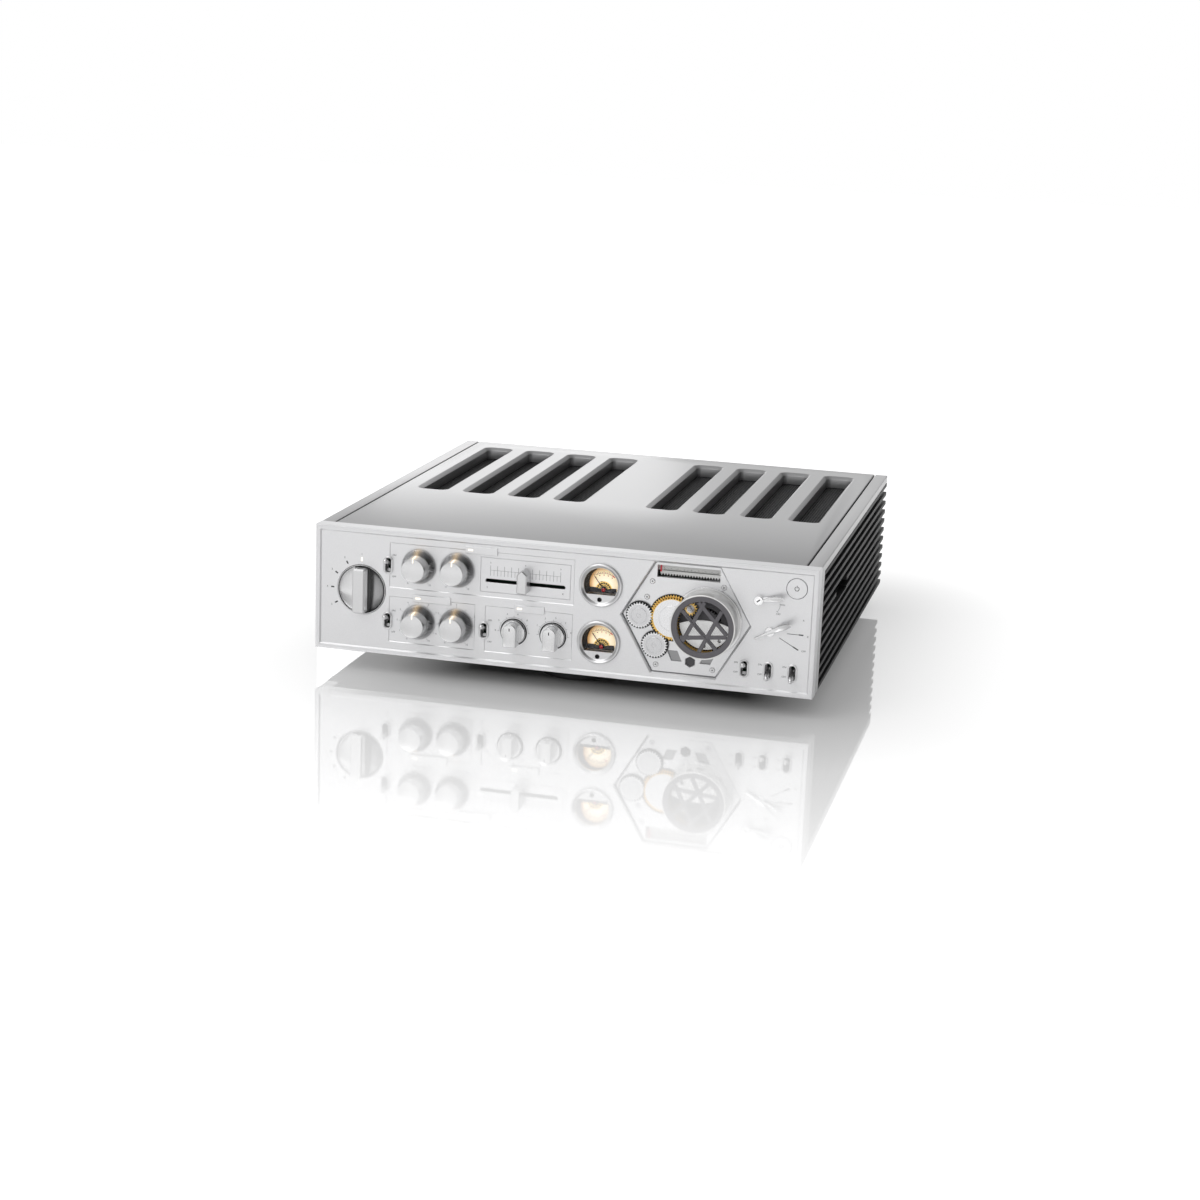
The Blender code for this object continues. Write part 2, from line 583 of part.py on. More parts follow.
def turned(bm, profile, centre, flats, ring=False):
    # The profile is radius and depth, turned about a line along Y through the centre
    verts = [bm.verts.new((centre.x + radius, FRONT_Y + depth, centre.z)) for radius, depth in profile]
    edges = [bm.edges.new(pair) for pair in zip(verts, verts[1:])]
    if ring:
        edges.append(bm.edges.new((verts[-1], verts[0])))
    bmesh.ops.spin(bm, geom=verts + edges, cent=centre, axis=(0, 1, 0), angle=TAU, steps=flats, use_merge=True)


def standing(bm, profile, centre, flats, ring=False):
    # The profile is radius and height, turned about a vertical line through the centre
    verts = [bm.verts.new((centre[0] + radius, centre[1], height)) for radius, height in profile]
    edges = [bm.edges.new(pair) for pair in zip(verts, verts[1:])]
    if ring:
        edges.append(bm.edges.new((verts[-1], verts[0])))
    bmesh.ops.spin(bm, geom=verts + edges, cent=centre, axis=(0, 0, 1), angle=TAU, steps=flats, use_merge=True)


def circle_outline(centre, radius, count, start=0):
    points = [polar(centre, radius, start + TAU * step / count) for step in range(count)]
    return [(point.x, point.z) for point in points]


def rounded_outline(centre, width, height, radius):
    points = []
    for quarter, (side, rise) in enumerate(((1, 1), (-1, 1), (-1, -1), (1, -1))):
        corner = (centre[0] + side * (width / 2 - radius), centre[1] + rise * (height / 2 - radius))
        for step in range(CORNER_STEPS):
            angle = (quarter + step / (CORNER_STEPS - 1)) * math.pi / 2
            points.append((corner[0] + radius * math.cos(angle), corner[1] + radius * math.sin(angle)))
    return points


def piece(name, bm, finish_name, origin=(0, 0, 0)):
    origin = Vector(origin)
    bmesh.ops.remove_doubles(bm, verts=bm.verts, dist=WELD)
    bmesh.ops.recalc_face_normals(bm, faces=bm.faces)
    bmesh.ops.translate(bm, vec=-origin, verts=bm.verts)
    mesh = bpy.data.meshes.new(name)
    bm.to_mesh(mesh)
    bm.free()
    mesh.materials.append(finish(finish_name))
    obj = bpy.data.objects.new(name, mesh)
    obj.location = origin
    bpy.context.scene.collection.objects.link(obj)
    return obj


def combine(target, bm, operation):
    # Joins the shapes in bm to the target, or cuts them from it
    tool = piece(target.name + "_tool", bm, "black_plastic")
    modifier = target.modifiers.new("combine", "BOOLEAN")
    modifier.operation = operation
    modifier.solver = "EXACT"
    modifier.object = tool
    evaluated = target.evaluated_get(bpy.context.evaluated_depsgraph_get())
    mesh = bpy.data.meshes.new_from_object(evaluated)
    target.modifiers.clear()
    target.data = mesh
    bpy.data.objects.remove(tool)


def smooth(obj):
    obj.data.shade_smooth()
    obj.data.set_sharp_from_angle(angle=math.radians(35))


def chamfer(bm, edges, width):
    bmesh.ops.bevel(bm, geom=edges, offset=width, segments=1, profile=0.5, affect="EDGES")


def front_edges(bm, plane_y):
    return [edge for edge in bm.edges if all(abs(vert.co.y - plane_y) < WELD for vert in edge.verts)]


# Gear outlines


def gear_outline(centre, teeth, phase, inward=False):
    pitch_radius = MODULE * teeth / 2
    side = -1 if inward else 1
    root = pitch_radius - side * DEDENDUM
    tip = pitch_radius + side * ADDENDUM
    half = TOOTH_SHARE * PITCH / 2
    half_tip = (half - ADDENDUM * math.tan(PRESSURE_ANGLE)) / tip
    half_root = (half + DEDENDUM * math.tan(PRESSURE_ANGLE)) / root
    corners = ((root, -half_root), (tip, -half_tip), (tip, half_tip), (root, half_root))
    outline = []
    for tooth in range(teeth):
        angle = phase + TAU * tooth / teeth
        points = [polar(centre, radius, angle + turn) for radius, turn in corners]
        outline.extend((point.x, point.z) for point in points)
    return outline


def gear_distance(teeth, other_teeth):
    return MODULE * (teeth + other_teeth) / 2


def tooth_share(phase, teeth, angle):
    return ((angle - phase) * teeth / TAU) % 1


def meshed_phase(phase, teeth, angle, other_teeth):
    # Phase of the second gear, whose centre lies at that angle from the first gear's centre
    return angle + math.pi + (tooth_share(phase, teeth, angle) - 0.5) * TAU / other_teeth


def gear_places():
    wheel = on_panel(HEXAGON_PLACE) + Vector((WHEEL_AXIS_RIGHT, 0, WHEEL_AXIS_UP))
    inner_idler = polar(wheel, MODULE * (RING_TEETH - INNER_IDLER_TEETH) / 2, INNER_IDLER_ANGLE)
    centre = polar(wheel, gear_distance(SUN_TEETH, CENTRE_TEETH), math.pi)
    upper_idler = polar(centre, gear_distance(CENTRE_TEETH, IDLER_TEETH), math.pi)
    lower_idler = polar(centre, gear_distance(CENTRE_TEETH, IDLER_TEETH), LOWER_IDLER_ANGLE)
    rack_line = on_panel(HEXAGON_PLACE).z + RACK_LINE_UP
    rise = rack_line - MODULE * RACK_IDLER_TEETH / 2 - wheel.z
    reach = gear_distance(RACK_PINION_TEETH, RACK_IDLER_TEETH)
    rack_idler = wheel + Vector((math.sqrt(reach ** 2 - rise ** 2), 0, rise))
    return {
        "wheel": wheel,
        "inner_idler": inner_idler,
        "centre": centre,
        "upper_idler": upper_idler,
        "lower_idler": lower_idler,
        "rack_idler": rack_idler,
        "rack_line": rack_line,
    }


def gear_phases(places):
    sun = 0
    inner_idler = meshed_phase(sun, SUN_TEETH, INNER_IDLER_ANGLE, INNER_IDLER_TEETH)
    share = 0.5 - (inner_idler - INNER_IDLER_ANGLE) * INNER_IDLER_TEETH / TAU
    ring = INNER_IDLER_ANGLE - share * TAU / RING_TEETH
    centre = meshed_phase(sun, SUN_TEETH, math.pi, CENTRE_TEETH)
    upper_idler = meshed_phase(centre, CENTRE_TEETH, math.pi, IDLER_TEETH)
    lower_idler = meshed_phase(centre, CENTRE_TEETH, LOWER_IDLER_ANGLE, IDLER_TEETH)
    step = places["rack_idler"] - places["wheel"]
    rack_idler = meshed_phase(sun, RACK_PINION_TEETH, math.atan2(step.z, step.x), RACK_IDLER_TEETH)
    return {
        "sun": sun,
        "inner_idler": inner_idler,
        "ring": ring,
        "centre": centre,
        "upper_idler": upper_idler,
        "lower_idler": lower_idler,
        "rack_idler": rack_idler,
    }


# Front panel


def hexagon(centre, radius):
    return circle_outline(centre, radius, 6)


def slot_outline(centre, width, height):
    return rounded_outline((centre.x, centre.z), width, height, min(width, height) * STADIUM_SHARE)


def balance_recess_centre():
    return on_panel(BALANCE_PLACE) + Vector((0, 0, BALANCE_RECESS_RISE))


def build_front_panel():
    bm = bmesh.new()
    box(bm, (-HALF_WIDTH, FRONT_Y, BOTTOM_Z), (HALF_WIDTH, FRONT_Y + PANEL_THICKNESS, TOP_Z))
    chamfer(bm, front_edges(bm, FRONT_Y), PANEL_CHAMFER)
    front = min(bm.faces, key=lambda face: face.calc_center_median().y)
    rear = max(bm.faces, key=lambda face: face.calc_center_median().y)
    border = PANEL_BORDER - PANEL_CHAMFER - FIELD_DEPTH
    bmesh.ops.inset_region(bm, faces=[front], thickness=border, use_even_offset=True)
    bmesh.ops.inset_region(bm, faces=[front], thickness=FIELD_DEPTH, depth=-FIELD_DEPTH, use_even_offset=True)
    bmesh.ops.inset_region(bm, faces=[rear], thickness=PANEL_REAR_WALL, use_even_offset=True)
    grown = bmesh.ops.extrude_face_region(bm, geom=[rear])["geom"]
    sunk = [item for item in grown if isinstance(item, bmesh.types.BMVert)]
    bmesh.ops.translate(bm, vec=(0, FACE_BACK - PANEL_THICKNESS, 0), verts=sunk)
    bmesh.ops.delete(bm, geom=[face for face in bm.faces if face == rear], context="FACES_ONLY")
    panel = piece("front_panel", bm, "satin_silver")

    bm = bmesh.new()
    panel_box(
        bm, balance_recess_centre(), BALANCE_RECESS_WIDTH, BALANCE_RECESS_HEIGHT,
        FIELD_DEPTH - OVERRUN, FIELD_DEPTH + BALANCE_RECESS_DEPTH
    )
    combine(panel, bm, "DIFFERENCE")

    bm = bmesh.new()
    through = (FIELD_DEPTH - OVERRUN, FACE_BACK + OVERRUN)
    hexagon_through = (FIELD_DEPTH - OVERRUN, PANEL_THICKNESS + OVERRUN)
    prism(bm, hexagon(on_panel(HEXAGON_PLACE), HEXAGON_RADIUS), *hexagon_through)
    prism(bm, circle_outline(on_panel(SELECTOR_PLACE), SELECTOR_RADIUS + GAP, LARGE_FLATS), *through)
    for place in METER_PLACES.values():
        prism(bm, circle_outline(on_panel(place), METER_BODY_RADIUS + GAP, LARGE_FLATS), *through)
    for place in list(KNOB_PLACES.values()) + list(EQUALIZER_PLACES.values()):
        prism(bm, circle_outline(on_panel(place), SHAFT_RADIUS + SHAFT_CLEARANCE, TINY_FLATS), *through)
    for place in (DIRECT_LEVER_PLACE, SPEAKER_LEVER_PLACE):
        prism(bm, circle_outline(on_panel(place), LEVER_SHAFT_RADIUS + SHAFT_CLEARANCE, TINY_FLATS), *through)
    for place in list(TOGGLE_UP_PLACES.values()) + list(TOGGLE_DOWN_PLACES.values()):
        prism(bm, slot_outline(on_panel(place), TOGGLE_SLOT_WIDTH, TOGGLE_SLOT_LENGTH), *through)
    prism(bm, circle_outline(on_panel(POWER_BUTTON_PLACE), BUTTON_RADIUS + GAP, LARGE_FLATS), *through)
    prism(bm, slot_outline(on_panel(BALANCE_PLACE), BALANCE_SLOT_LENGTH, BALANCE_SLOT_HEIGHT), *through)
    combine(panel, bm, "DIFFERENCE")
    return panel


# Knobs, switches and levers


def build_selector_knob():
    centre = on_panel(SELECTOR_PLACE)
    rim_depth = FIELD_DEPTH - GAP
    bowl = rim_depth + DISH_DEPTH
    bowl_radius = SELECTOR_RADIUS - SELECTOR_RIM
    arc = [(bowl_radius * math.sin(turn), bowl - DISH_DEPTH * (1 - math.cos(turn)))
           for turn in (math.pi / 2 * step / DISH_STEPS for step in range(DISH_STEPS + 1))]
    profile = [(0, SHAFT_END), (SHAFT_RADIUS, SHAFT_END), (SHAFT_RADIUS, SELECTOR_REAR)]
    profile += [(SELECTOR_RADIUS, SELECTOR_REAR), (SELECTOR_RADIUS, rim_depth), (bowl_radius, rim_depth)]
    profile += list(reversed(arc))[1:]
    bm = bmesh.new()
    turned(bm, profile, centre, LARGE_FLATS)
    knob = piece("selector_knob", bm, "satin_silver", centre)
    bm = bmesh.new()
    rear = bowl + OVERRUN / 2
    panel_box(bm, centre, SELECTOR_BAR_WIDTH, SELECTOR_BAR_LENGTH, -SELECTOR_REACH, rear)
    chamfer(bm, front_edges(bm, FRONT_Y - SELECTOR_REACH), SELECTOR_BAR_CHAMFER)
    combine(knob, bm, "UNION")
    smooth(knob)


def build_round_knob(name, place):
    centre = on_panel(place)
    base = FIELD_DEPTH - GAP
    front = FIELD_DEPTH - KNOB_HEIGHT
    profile = [
        (0, front),
        (CAP_FRONT_RADIUS - KNOB_CHAMFER, front),
        (CAP_FRONT_RADIUS, front + KNOB_CHAMFER),
        (CAP_BASE_RADIUS, base - SKIRT_HEIGHT),
        (SKIRT_RADIUS, base - SKIRT_EDGE),
        (SKIRT_RADIUS, base),
        (0, base),
    ]
    bm = bmesh.new()
    turned(bm, profile, centre, 2 * FLUTE_COUNT)
    bmesh.ops.remove_doubles(bm, verts=bm.verts, dist=WELD)
    for vert in bm.verts:
        out = Vector((vert.co.x - centre.x, 0, vert.co.z - centre.z))
        turn = round(math.atan2(out.z, out.x) / TAU * 2 * FLUTE_COUNT)
        skirt = vert.co.y - FRONT_Y > base - SKIRT_HEIGHT - WELD
        if skirt and turn % 2 and out.length > CAP_BASE_RADIUS - WELD:
            vert.co -= out.normalized() * FLUTE_DEPTH
    knob = piece(name, bm, "bright_silver", centre)
    bm = bmesh.new()
    prism(bm, circle_outline(centre, SHAFT_RADIUS, TINY_FLATS), base - OVERRUN, SHAFT_END)
    combine(knob, bm, "UNION")
    smooth(knob)


def build_equalizer_knob(name, place):
    centre = on_panel(place)
    base = FIELD_DEPTH - GAP
    disc_front = base - EQUALIZER_DISC_HEIGHT
    profile = [(0, disc_front), (EQUALIZER_DISC_RADIUS, disc_front), (EQUALIZER_DISC_RADIUS, base)]
    profile += [(SHAFT_RADIUS, base), (SHAFT_RADIUS, SHAFT_END), (0, SHAFT_END)]
    bm = bmesh.new()
    turned(bm, profile, centre, LARGE_FLATS)
    knob = piece(name, bm, "bright_silver", centre)
    bm = bmesh.new()
    front = FIELD_DEPTH - EQUALIZER_HEIGHT
    half = EQUALIZER_BAR_WIDTH / 2
    top = EQUALIZER_BAR_LENGTH / 2 - half
    outline = [(centre.x - half, centre.z - EQUALIZER_BAR_LENGTH / 2),
               (centre.x + half, centre.z - EQUALIZER_BAR_LENGTH / 2)]
    for step in range(ARC_STEPS + 1):
        point = polar(centre, half, math.pi * step / ARC_STEPS)
        outline.append((point.x, point.z + top))
    prism(bm, outline, front, disc_front + OVERRUN / 2)
    chamfer(bm, front_edges(bm, FRONT_Y + front), EQUALIZER_CHAMFER)
    combine(knob, bm, "UNION")
    smooth(knob)


def build_toggle(name, place, tilt):
    pivot = on_panel(place, TOGGLE_PIVOT_DEPTH)
    length = TOGGLE_LENGTH
    profile = [
        (0, TOGGLE_BALL_RADIUS),
        (TOGGLE_BALL_RADIUS * math.cos(math.pi / 6), TOGGLE_BALL_RADIUS / 2),
        (TOGGLE_BALL_RADIUS * math.cos(math.pi / 6), -TOGGLE_BALL_RADIUS / 2),
        (TOGGLE_NECK_RADIUS, -TOGGLE_BALL_RADIUS),
        (TOGGLE_TIP_RADIUS, -length + TOGGLE_TIP_RADIUS),
        (TOGGLE_TIP_RADIUS / 2, -length),
        (0, -length),
    ]
    bm = bmesh.new()
    verts = [bm.verts.new((radius, along, 0)) for radius, along in profile]
    edges = [bm.edges.new(pair) for pair in zip(verts, verts[1:])]
    bmesh.ops.spin(bm, geom=verts + edges, axis=(0, 1, 0), angle=TAU, steps=TINY_FLATS, use_merge=True)
    lever = piece(name, bm, "bright_silver")
    lever.location = pivot
    lever.rotation_euler.x = -tilt
    smooth(lever)


def build_balance_slider():
    centre = on_panel(BALANCE_PLACE)
    rear = FIELD_DEPTH + BALANCE_RECESS_DEPTH - GAP
    front = FIELD_DEPTH - SLIDER_REACH
    half = SLIDER_WIDTH / 2
    middle = centre.z + SLIDER_RISE
    low = middle - SLIDER_HEIGHT / 2
    high = middle + SLIDER_HEIGHT / 2
    outline = [(centre.x - half, low), (centre.x + half, low), (centre.x + half, high - SLIDER_POINT),
               (centre.x, high), (centre.x - half, high - SLIDER_POINT)]
    bm = bmesh.new()
    prism(bm, outline, front, rear)
    chamfer(bm, front_edges(bm, FRONT_Y + front), SLIDER_CHAMFER)
    slider = piece("balance_slider", bm, "bright_silver", centre)
    bm = bmesh.new()
    panel_box(bm, centre, SLIDER_STEM_WIDTH, SLIDER_STEM_HEIGHT, rear - OVERRUN, SHAFT_END)
    combine(slider, bm, "UNION")


def build_power_button():
    centre = on_panel(POWER_BUTTON_PLACE)
    front = FIELD_DEPTH - GAP
    back = front + BUTTON_THICKNESS
    edge = (BUTTON_RADIUS, front + GAP)
    profile = [(0, front), (BUTTON_RADIUS - GAP, front), edge, (BUTTON_RADIUS, back)]
    stem_end = SHAFT_END - BUTTON_STROKE
    profile += [(BUTTON_STEM_RADIUS, back), (BUTTON_STEM_RADIUS, stem_end), (0, stem_end)]
    bm = bmesh.new()
    turned(bm, profile, centre, LARGE_FLATS)
    smooth(piece("power_button", bm, "satin_silver", centre))


def build_lever(name, place, width, tail, length, rise, rest):
    # A strip that lies along the panel from its tail past the hub, then bends out towards its tip
    centre = on_panel(place)
    base = FIELD_DEPTH - GAP
    hub_front = base - LEVER_HUB_HEIGHT
    profile = [(0, hub_front), (LEVER_HUB_RADIUS - GAP, hub_front), (LEVER_HUB_RADIUS, hub_front + GAP),
               (LEVER_HUB_RADIUS, base), (LEVER_SHAFT_RADIUS, base), (LEVER_SHAFT_RADIUS, SHAFT_END),
               (0, SHAFT_END)]
    bm = bmesh.new()
    turned(bm, profile, centre, SMALL_FLATS)
    lever = piece(name, bm, "bright_silver", centre)
    flat = base - LEVER_THICKNESS / 2
    bend_start = LEVER_HUB_RADIUS
    line = [(-tail, flat), (bend_start, flat)]
    for step in range(1, LEVER_BEND_STEPS + 1):
        share = step / LEVER_BEND_STEPS
        line.append((bend_start + (length - bend_start) * share, flat - rise * share ** LEVER_BEND_POWER))
    near = [(along, depth) for along, depth in line]
    far = [(along, depth - LEVER_THICKNESS) for along, depth in reversed(line)]
    bm = bmesh.new()
    points = [Vector((along, depth, -width / 2)) for along, depth in near + far]
    extruded(bm, points, (0, 0, width))
    turn = Matrix.Rotation(-rest, 4, "Y")
    bmesh.ops.transform(bm, matrix=Matrix.Translation((centre.x, FRONT_Y, centre.z)) @ turn, verts=bm.verts)
    combine(lever, bm, "UNION")
    smooth(lever)


# Meters


def window_outline(centre, radius, flat):
    # A circle cut off by a level line below its centre
    start = -math.asin(flat / radius)
    span = math.pi - 2 * start
    count = LARGE_FLATS - SMALL_FLATS // 2
    points = [polar(centre, radius, start + span * step / count) for step in range(count + 1)]
    return [(point.x, point.z) for point in points]


def needle_pivot(place, depth):
    return on_panel(place, depth) + Vector((NEEDLE_PIVOT_RIGHT, 0, -NEEDLE_PIVOT_DOWN))


def build_meter(name, place):
    centre = on_panel(place)
    seat = FIELD_DEPTH - GAP
    crest = FIELD_DEPTH - BEZEL_REACH
    inner = BEZEL_RADIUS - 2 * BEZEL_LIP
    profile = [
        (0, seat - GAP),
        (inner, seat - GAP),
        (BEZEL_RADIUS - BEZEL_LIP, crest),
        (BEZEL_RADIUS, crest + BEZEL_LIP / 2),
        (BEZEL_RADIUS, seat),
        (METER_BODY_RADIUS, seat),
        (METER_BODY_RADIUS, METER_BODY_DEPTH),
        (0, METER_BODY_DEPTH),
    ]
    bm = bmesh.new()
    turned(bm, profile, centre, LARGE_FLATS)
    case = piece(name + "_case", bm, "bright_silver", centre)
    bm = bmesh.new()
    prism(bm, window_outline(centre, WINDOW_RADIUS, WINDOW_FLAT), FIELD_DEPTH - OVERRUN, WINDOW_DEPTH)
    combine(case, bm, "DIFFERENCE")
    smooth(case)

    bm = bmesh.new()
    glass_rear = METER_GLASS_DEPTH + METER_GLASS_THICKNESS
    glass = window_outline(centre, WINDOW_RADIUS - GAP, WINDOW_FLAT - GAP)
    prism(bm, glass, METER_GLASS_DEPTH, glass_rear)
    piece(name + "_glass", bm, "clear_glass", centre)

    hub_front = (glass_rear + WINDOW_DEPTH) / 2
    pivot = needle_pivot(place, 0)
    bm = bmesh.new()
    outline = circle_outline(Vector(), NEEDLE_HUB_RADIUS, TINY_FLATS)
    prism(bm, outline, hub_front, WINDOW_DEPTH - GAP)
    needle = piece(name + "_needle", bm, "black_plastic")
    bm = bmesh.new()
    half = NEEDLE_WIDTH / 2
    pointer = [(-half, 0), (half, 0), (half / 2, NEEDLE_LENGTH), (-half / 2, NEEDLE_LENGTH)]
    middle = (hub_front + WINDOW_DEPTH) / 2
    prism(bm, pointer, middle - NEEDLE_THICKNESS, middle)
    combine(needle, bm, "UNION")
    for vert in needle.data.vertices:
        vert.co.y -= FRONT_Y
    needle.location = pivot
    needle.rotation_euler.y = -NEEDLE_REST


# Gear module


def build_gear_plate(places):
    centre = on_panel(HEXAGON_PLACE)
    flange_radius = HEXAGON_RADIUS + FLANGE_LIP
    bm = bmesh.new()
    prism(bm, hexagon(centre, HEXAGON_RADIUS - 2 * GAP), GEAR_PLATE_DEPTH, PLATE_BACK)
    plate = piece("gear_plate", bm, "satin_silver", centre)

    bm = bmesh.new()
    collar = [(WHEEL_BORE + GAP, COLLAR_FACE_DEPTH), (COLLAR_RADIUS, COLLAR_FACE_DEPTH),
              (COLLAR_RADIUS, GEAR_PLATE_DEPTH + OVERRUN / 2), (WHEEL_BORE + GAP, GEAR_PLATE_DEPTH + OVERRUN / 2)]
    turned(bm, collar, places["wheel"], WHEEL_FLATS, ring=True)
    prism(bm, hexagon(centre, flange_radius), PLATE_BACK - FLANGE_THICKNESS, PLATE_BACK + GAP / 3)
    combine(plate, bm, "UNION")

    bm = bmesh.new()
    room = (COLLAR_FACE_DEPTH - OVERRUN, GEAR_PLATE_DEPTH)
    room_radius = CENTRE_BACKING_RADIUS + CENTRE_GEAR_ROOM
    prism(bm, circle_outline(places["centre"], room_radius, LARGE_FLATS), *room)
    combine(plate, bm, "DIFFERENCE")

    bm = bmesh.new()
    through = (GEAR_PLATE_DEPTH - OVERRUN, PLATE_BACK + OVERRUN)
    window = centre + Vector((SCALE_WINDOW_RIGHT, 0, SCALE_WINDOW_UP))
    panel_box(bm, window, SCALE_WINDOW_WIDTH, SCALE_WINDOW_HEIGHT, *through)
    prism(bm, circle_outline(places["wheel"], SUN_SHAFT_RADIUS + GAP, TINY_FLATS), *through)
    for name in ("centre", "upper_idler", "lower_idler"):
        prism(bm, circle_outline(places[name], GEAR_ARBOR_RADIUS + GAP, SMALL_FLATS), *through)
    shallow = (GEAR_PLATE_DEPTH - OVERRUN, GEAR_PLATE_DEPTH + POCKET_DEPTH)
    socket = centre + Vector((SOCKET_RIGHT, 0, -SOCKET_DOWN))
    prism(bm, circle_outline(socket, SOCKET_RADIUS, 6, math.radians(30)), *shallow)
    for right in POCKET_RIGHTS:
        pocket = centre + Vector((right, 0, -POCKET_DOWN))
        half = POCKET_SIZE / 2
        lean = math.copysign(half / 2, right - SOCKET_RIGHT)
        outline = [(pocket.x - half - lean, pocket.z - half), (pocket.x + half - lean, pocket.z - half),
                   (pocket.x + half + lean, pocket.z + half), (pocket.x - half + lean, pocket.z + half)]
        prism(bm, outline, *shallow)
    combine(plate, bm, "DIFFERENCE")


def build_centre_gear(places, phases):
    centre = places["centre"]
    core = (GEAR_FRONT + GEAR_REAR) / 2
    profile = [(0, core), (2 * GEAR_ARBOR_RADIUS, core), (2 * GEAR_ARBOR_RADIUS, BACKING_FRONT),
               (CENTRE_BACKING_RADIUS, BACKING_FRONT), (CENTRE_BACKING_RADIUS, BACKING_REAR),
               (GEAR_ARBOR_RADIUS, BACKING_REAR), (GEAR_ARBOR_RADIUS, PLATE_BACK), (0, PLATE_BACK)]
    bm = bmesh.new()
    turned(bm, profile, centre, LARGE_FLATS)
    gear = piece("centre_gear", bm, "bright_silver", centre)
    bm = bmesh.new()
    prism(bm, gear_outline(centre, CENTRE_TEETH, phases["centre"]), GEAR_FRONT, GEAR_REAR)
    combine(gear, bm, "UNION")


def build_small_gear(name, centre, teeth, phase, front, rear, arbor_end, finish_name):
    boss = GEAR_BOSS_SHARE * MODULE * teeth / 2
    arbor = min(GEAR_ARBOR_RADIUS, boss / 2)
    core = (front + rear) / 2
    profile = [(0, front - GEAR_BOSS_HEIGHT / 2), (boss, front - GEAR_BOSS_HEIGHT / 2), (boss, core),
               (arbor, core), (arbor, arbor_end), (0, arbor_end)]
    bm = bmesh.new()
    turned(bm, profile, centre, SMALL_FLATS)
    gear = piece(name, bm, finish_name, centre)
    bm = bmesh.new()
    prism(bm, gear_outline(centre, teeth, phase), front, rear)
    combine(gear, bm, "UNION")


def build_sun_shaft(places, phases):
    # The sun gear reaches back through the bearing to the centre gear, and its shaft carries the rack's pinion
    centre = places["wheel"]
    core = (GEAR_FRONT + GEAR_REAR) / 2
    profile = [(0, core), (SUN_SHAFT_RADIUS, core), (SUN_SHAFT_RADIUS, SHAFT_END), (0, SHAFT_END)]
    bm = bmesh.new()
    turned(bm, profile, centre, TINY_FLATS)
    shaft = piece("sun_shaft", bm, "grey_steel", centre)
    bm = bmesh.new()
    prism(bm, gear_outline(centre, SUN_TEETH, phases["sun"]), INNER_GEAR_FRONT, GEAR_REAR)
    prism(bm, gear_outline(centre, RACK_PINION_TEETH, phases["sun"]), HIDDEN_FRONT, HIDDEN_REAR)
    combine(shaft, bm, "UNION")


def build_wheel_bearing(places):
    centre = places["wheel"]
    bore = MODULE * SUN_TEETH / 2 + ADDENDUM + GAP
    bm = bmesh.new()
    profile = [(bore, BEARING_FRONT), (BEARING_RADIUS, BEARING_FRONT), (BEARING_RADIUS, BACKING_REAR),
               (bore, BACKING_REAR)]
    turned(bm, profile, centre, WHEEL_FLATS, ring=True)
    bearing = piece("wheel_bearing", bm, "grey_steel", centre)
    bm = bmesh.new()
    room_radius = CENTRE_BACKING_RADIUS + CENTRE_GEAR_ROOM
    room = circle_outline(places["centre"], room_radius, LARGE_FLATS)
    prism(bm, room, SLEEVE_REAR, BACKING_REAR + OVERRUN)
    combine(bearing, bm, "DIFFERENCE")
    bm = bmesh.new()
    arbor = circle_outline(places["inner_idler"], inner_arbor_radius() + GAP, SMALL_FLATS)
    prism(bm, arbor, BEARING_FRONT - OVERRUN, SLEEVE_REAR + GAP)
    combine(bearing, bm, "DIFFERENCE")


def inner_arbor_radius():
    return min(GEAR_ARBOR_RADIUS, GEAR_BOSS_SHARE * MODULE * INNER_IDLER_TEETH / 4)


def build_volume_wheel(places):
    centre = places["wheel"]
    front = -WHEEL_REACH
    step = GRILLE_REAR + GAP
    seat = GRILLE_RADIUS + GAP
    profile = [
        (WHEEL_BORE, step), (seat, step), (seat, front), (WHEEL_RADIUS - WHEEL_EDGE_CHAMFER, front),
        (WHEEL_RADIUS, front + WHEEL_EDGE_CHAMFER), (WHEEL_RADIUS, SLEEVE_REAR), (WHEEL_BORE, SLEEVE_REAR),
    ]
    bm = bmesh.new()
    turned(bm, profile, centre, WHEEL_FLATS, ring=True)
    smooth(piece("volume_wheel", bm, "bright_silver", centre))


def build_wheel_grille(places):
    centre = places["wheel"]
    front = -WHEEL_REACH + GAP
    bm = bmesh.new()
    profile = [(GRILLE_INNER_RADIUS, front), (GRILLE_RADIUS, front), (GRILLE_RADIUS, GRILLE_REAR),
               (GRILLE_INNER_RADIUS, GRILLE_REAR)]
    turned(bm, profile, centre, WHEEL_FLATS, ring=True)
    grille = piece("wheel_grille", bm, "grey_steel", centre)
    for degrees, offset_share in GRILLE_BAR_DEGREES_AND_SHARES:
        offset = offset_share * GRILLE_INNER_RADIUS
        reach = (GRILLE_INNER_RADIUS + GRILLE_RADIUS) / 2
        half = math.sqrt(reach ** 2 - offset ** 2)
        bm = bmesh.new()
        low = (-half, FRONT_Y + front + GAP, offset - GRILLE_BAR_WIDTH / 2)
        high = (half, FRONT_Y + GRILLE_REAR - GAP, offset + GRILLE_BAR_WIDTH / 2)
        box(bm, low, high)
        turn = Matrix.Rotation(-math.radians(degrees), 4, "Y")
        place = Matrix.Translation((centre.x, 0, centre.z))
        bmesh.ops.transform(bm, matrix=place @ turn, verts=bm.verts)
        combine(grille, bm, "UNION")


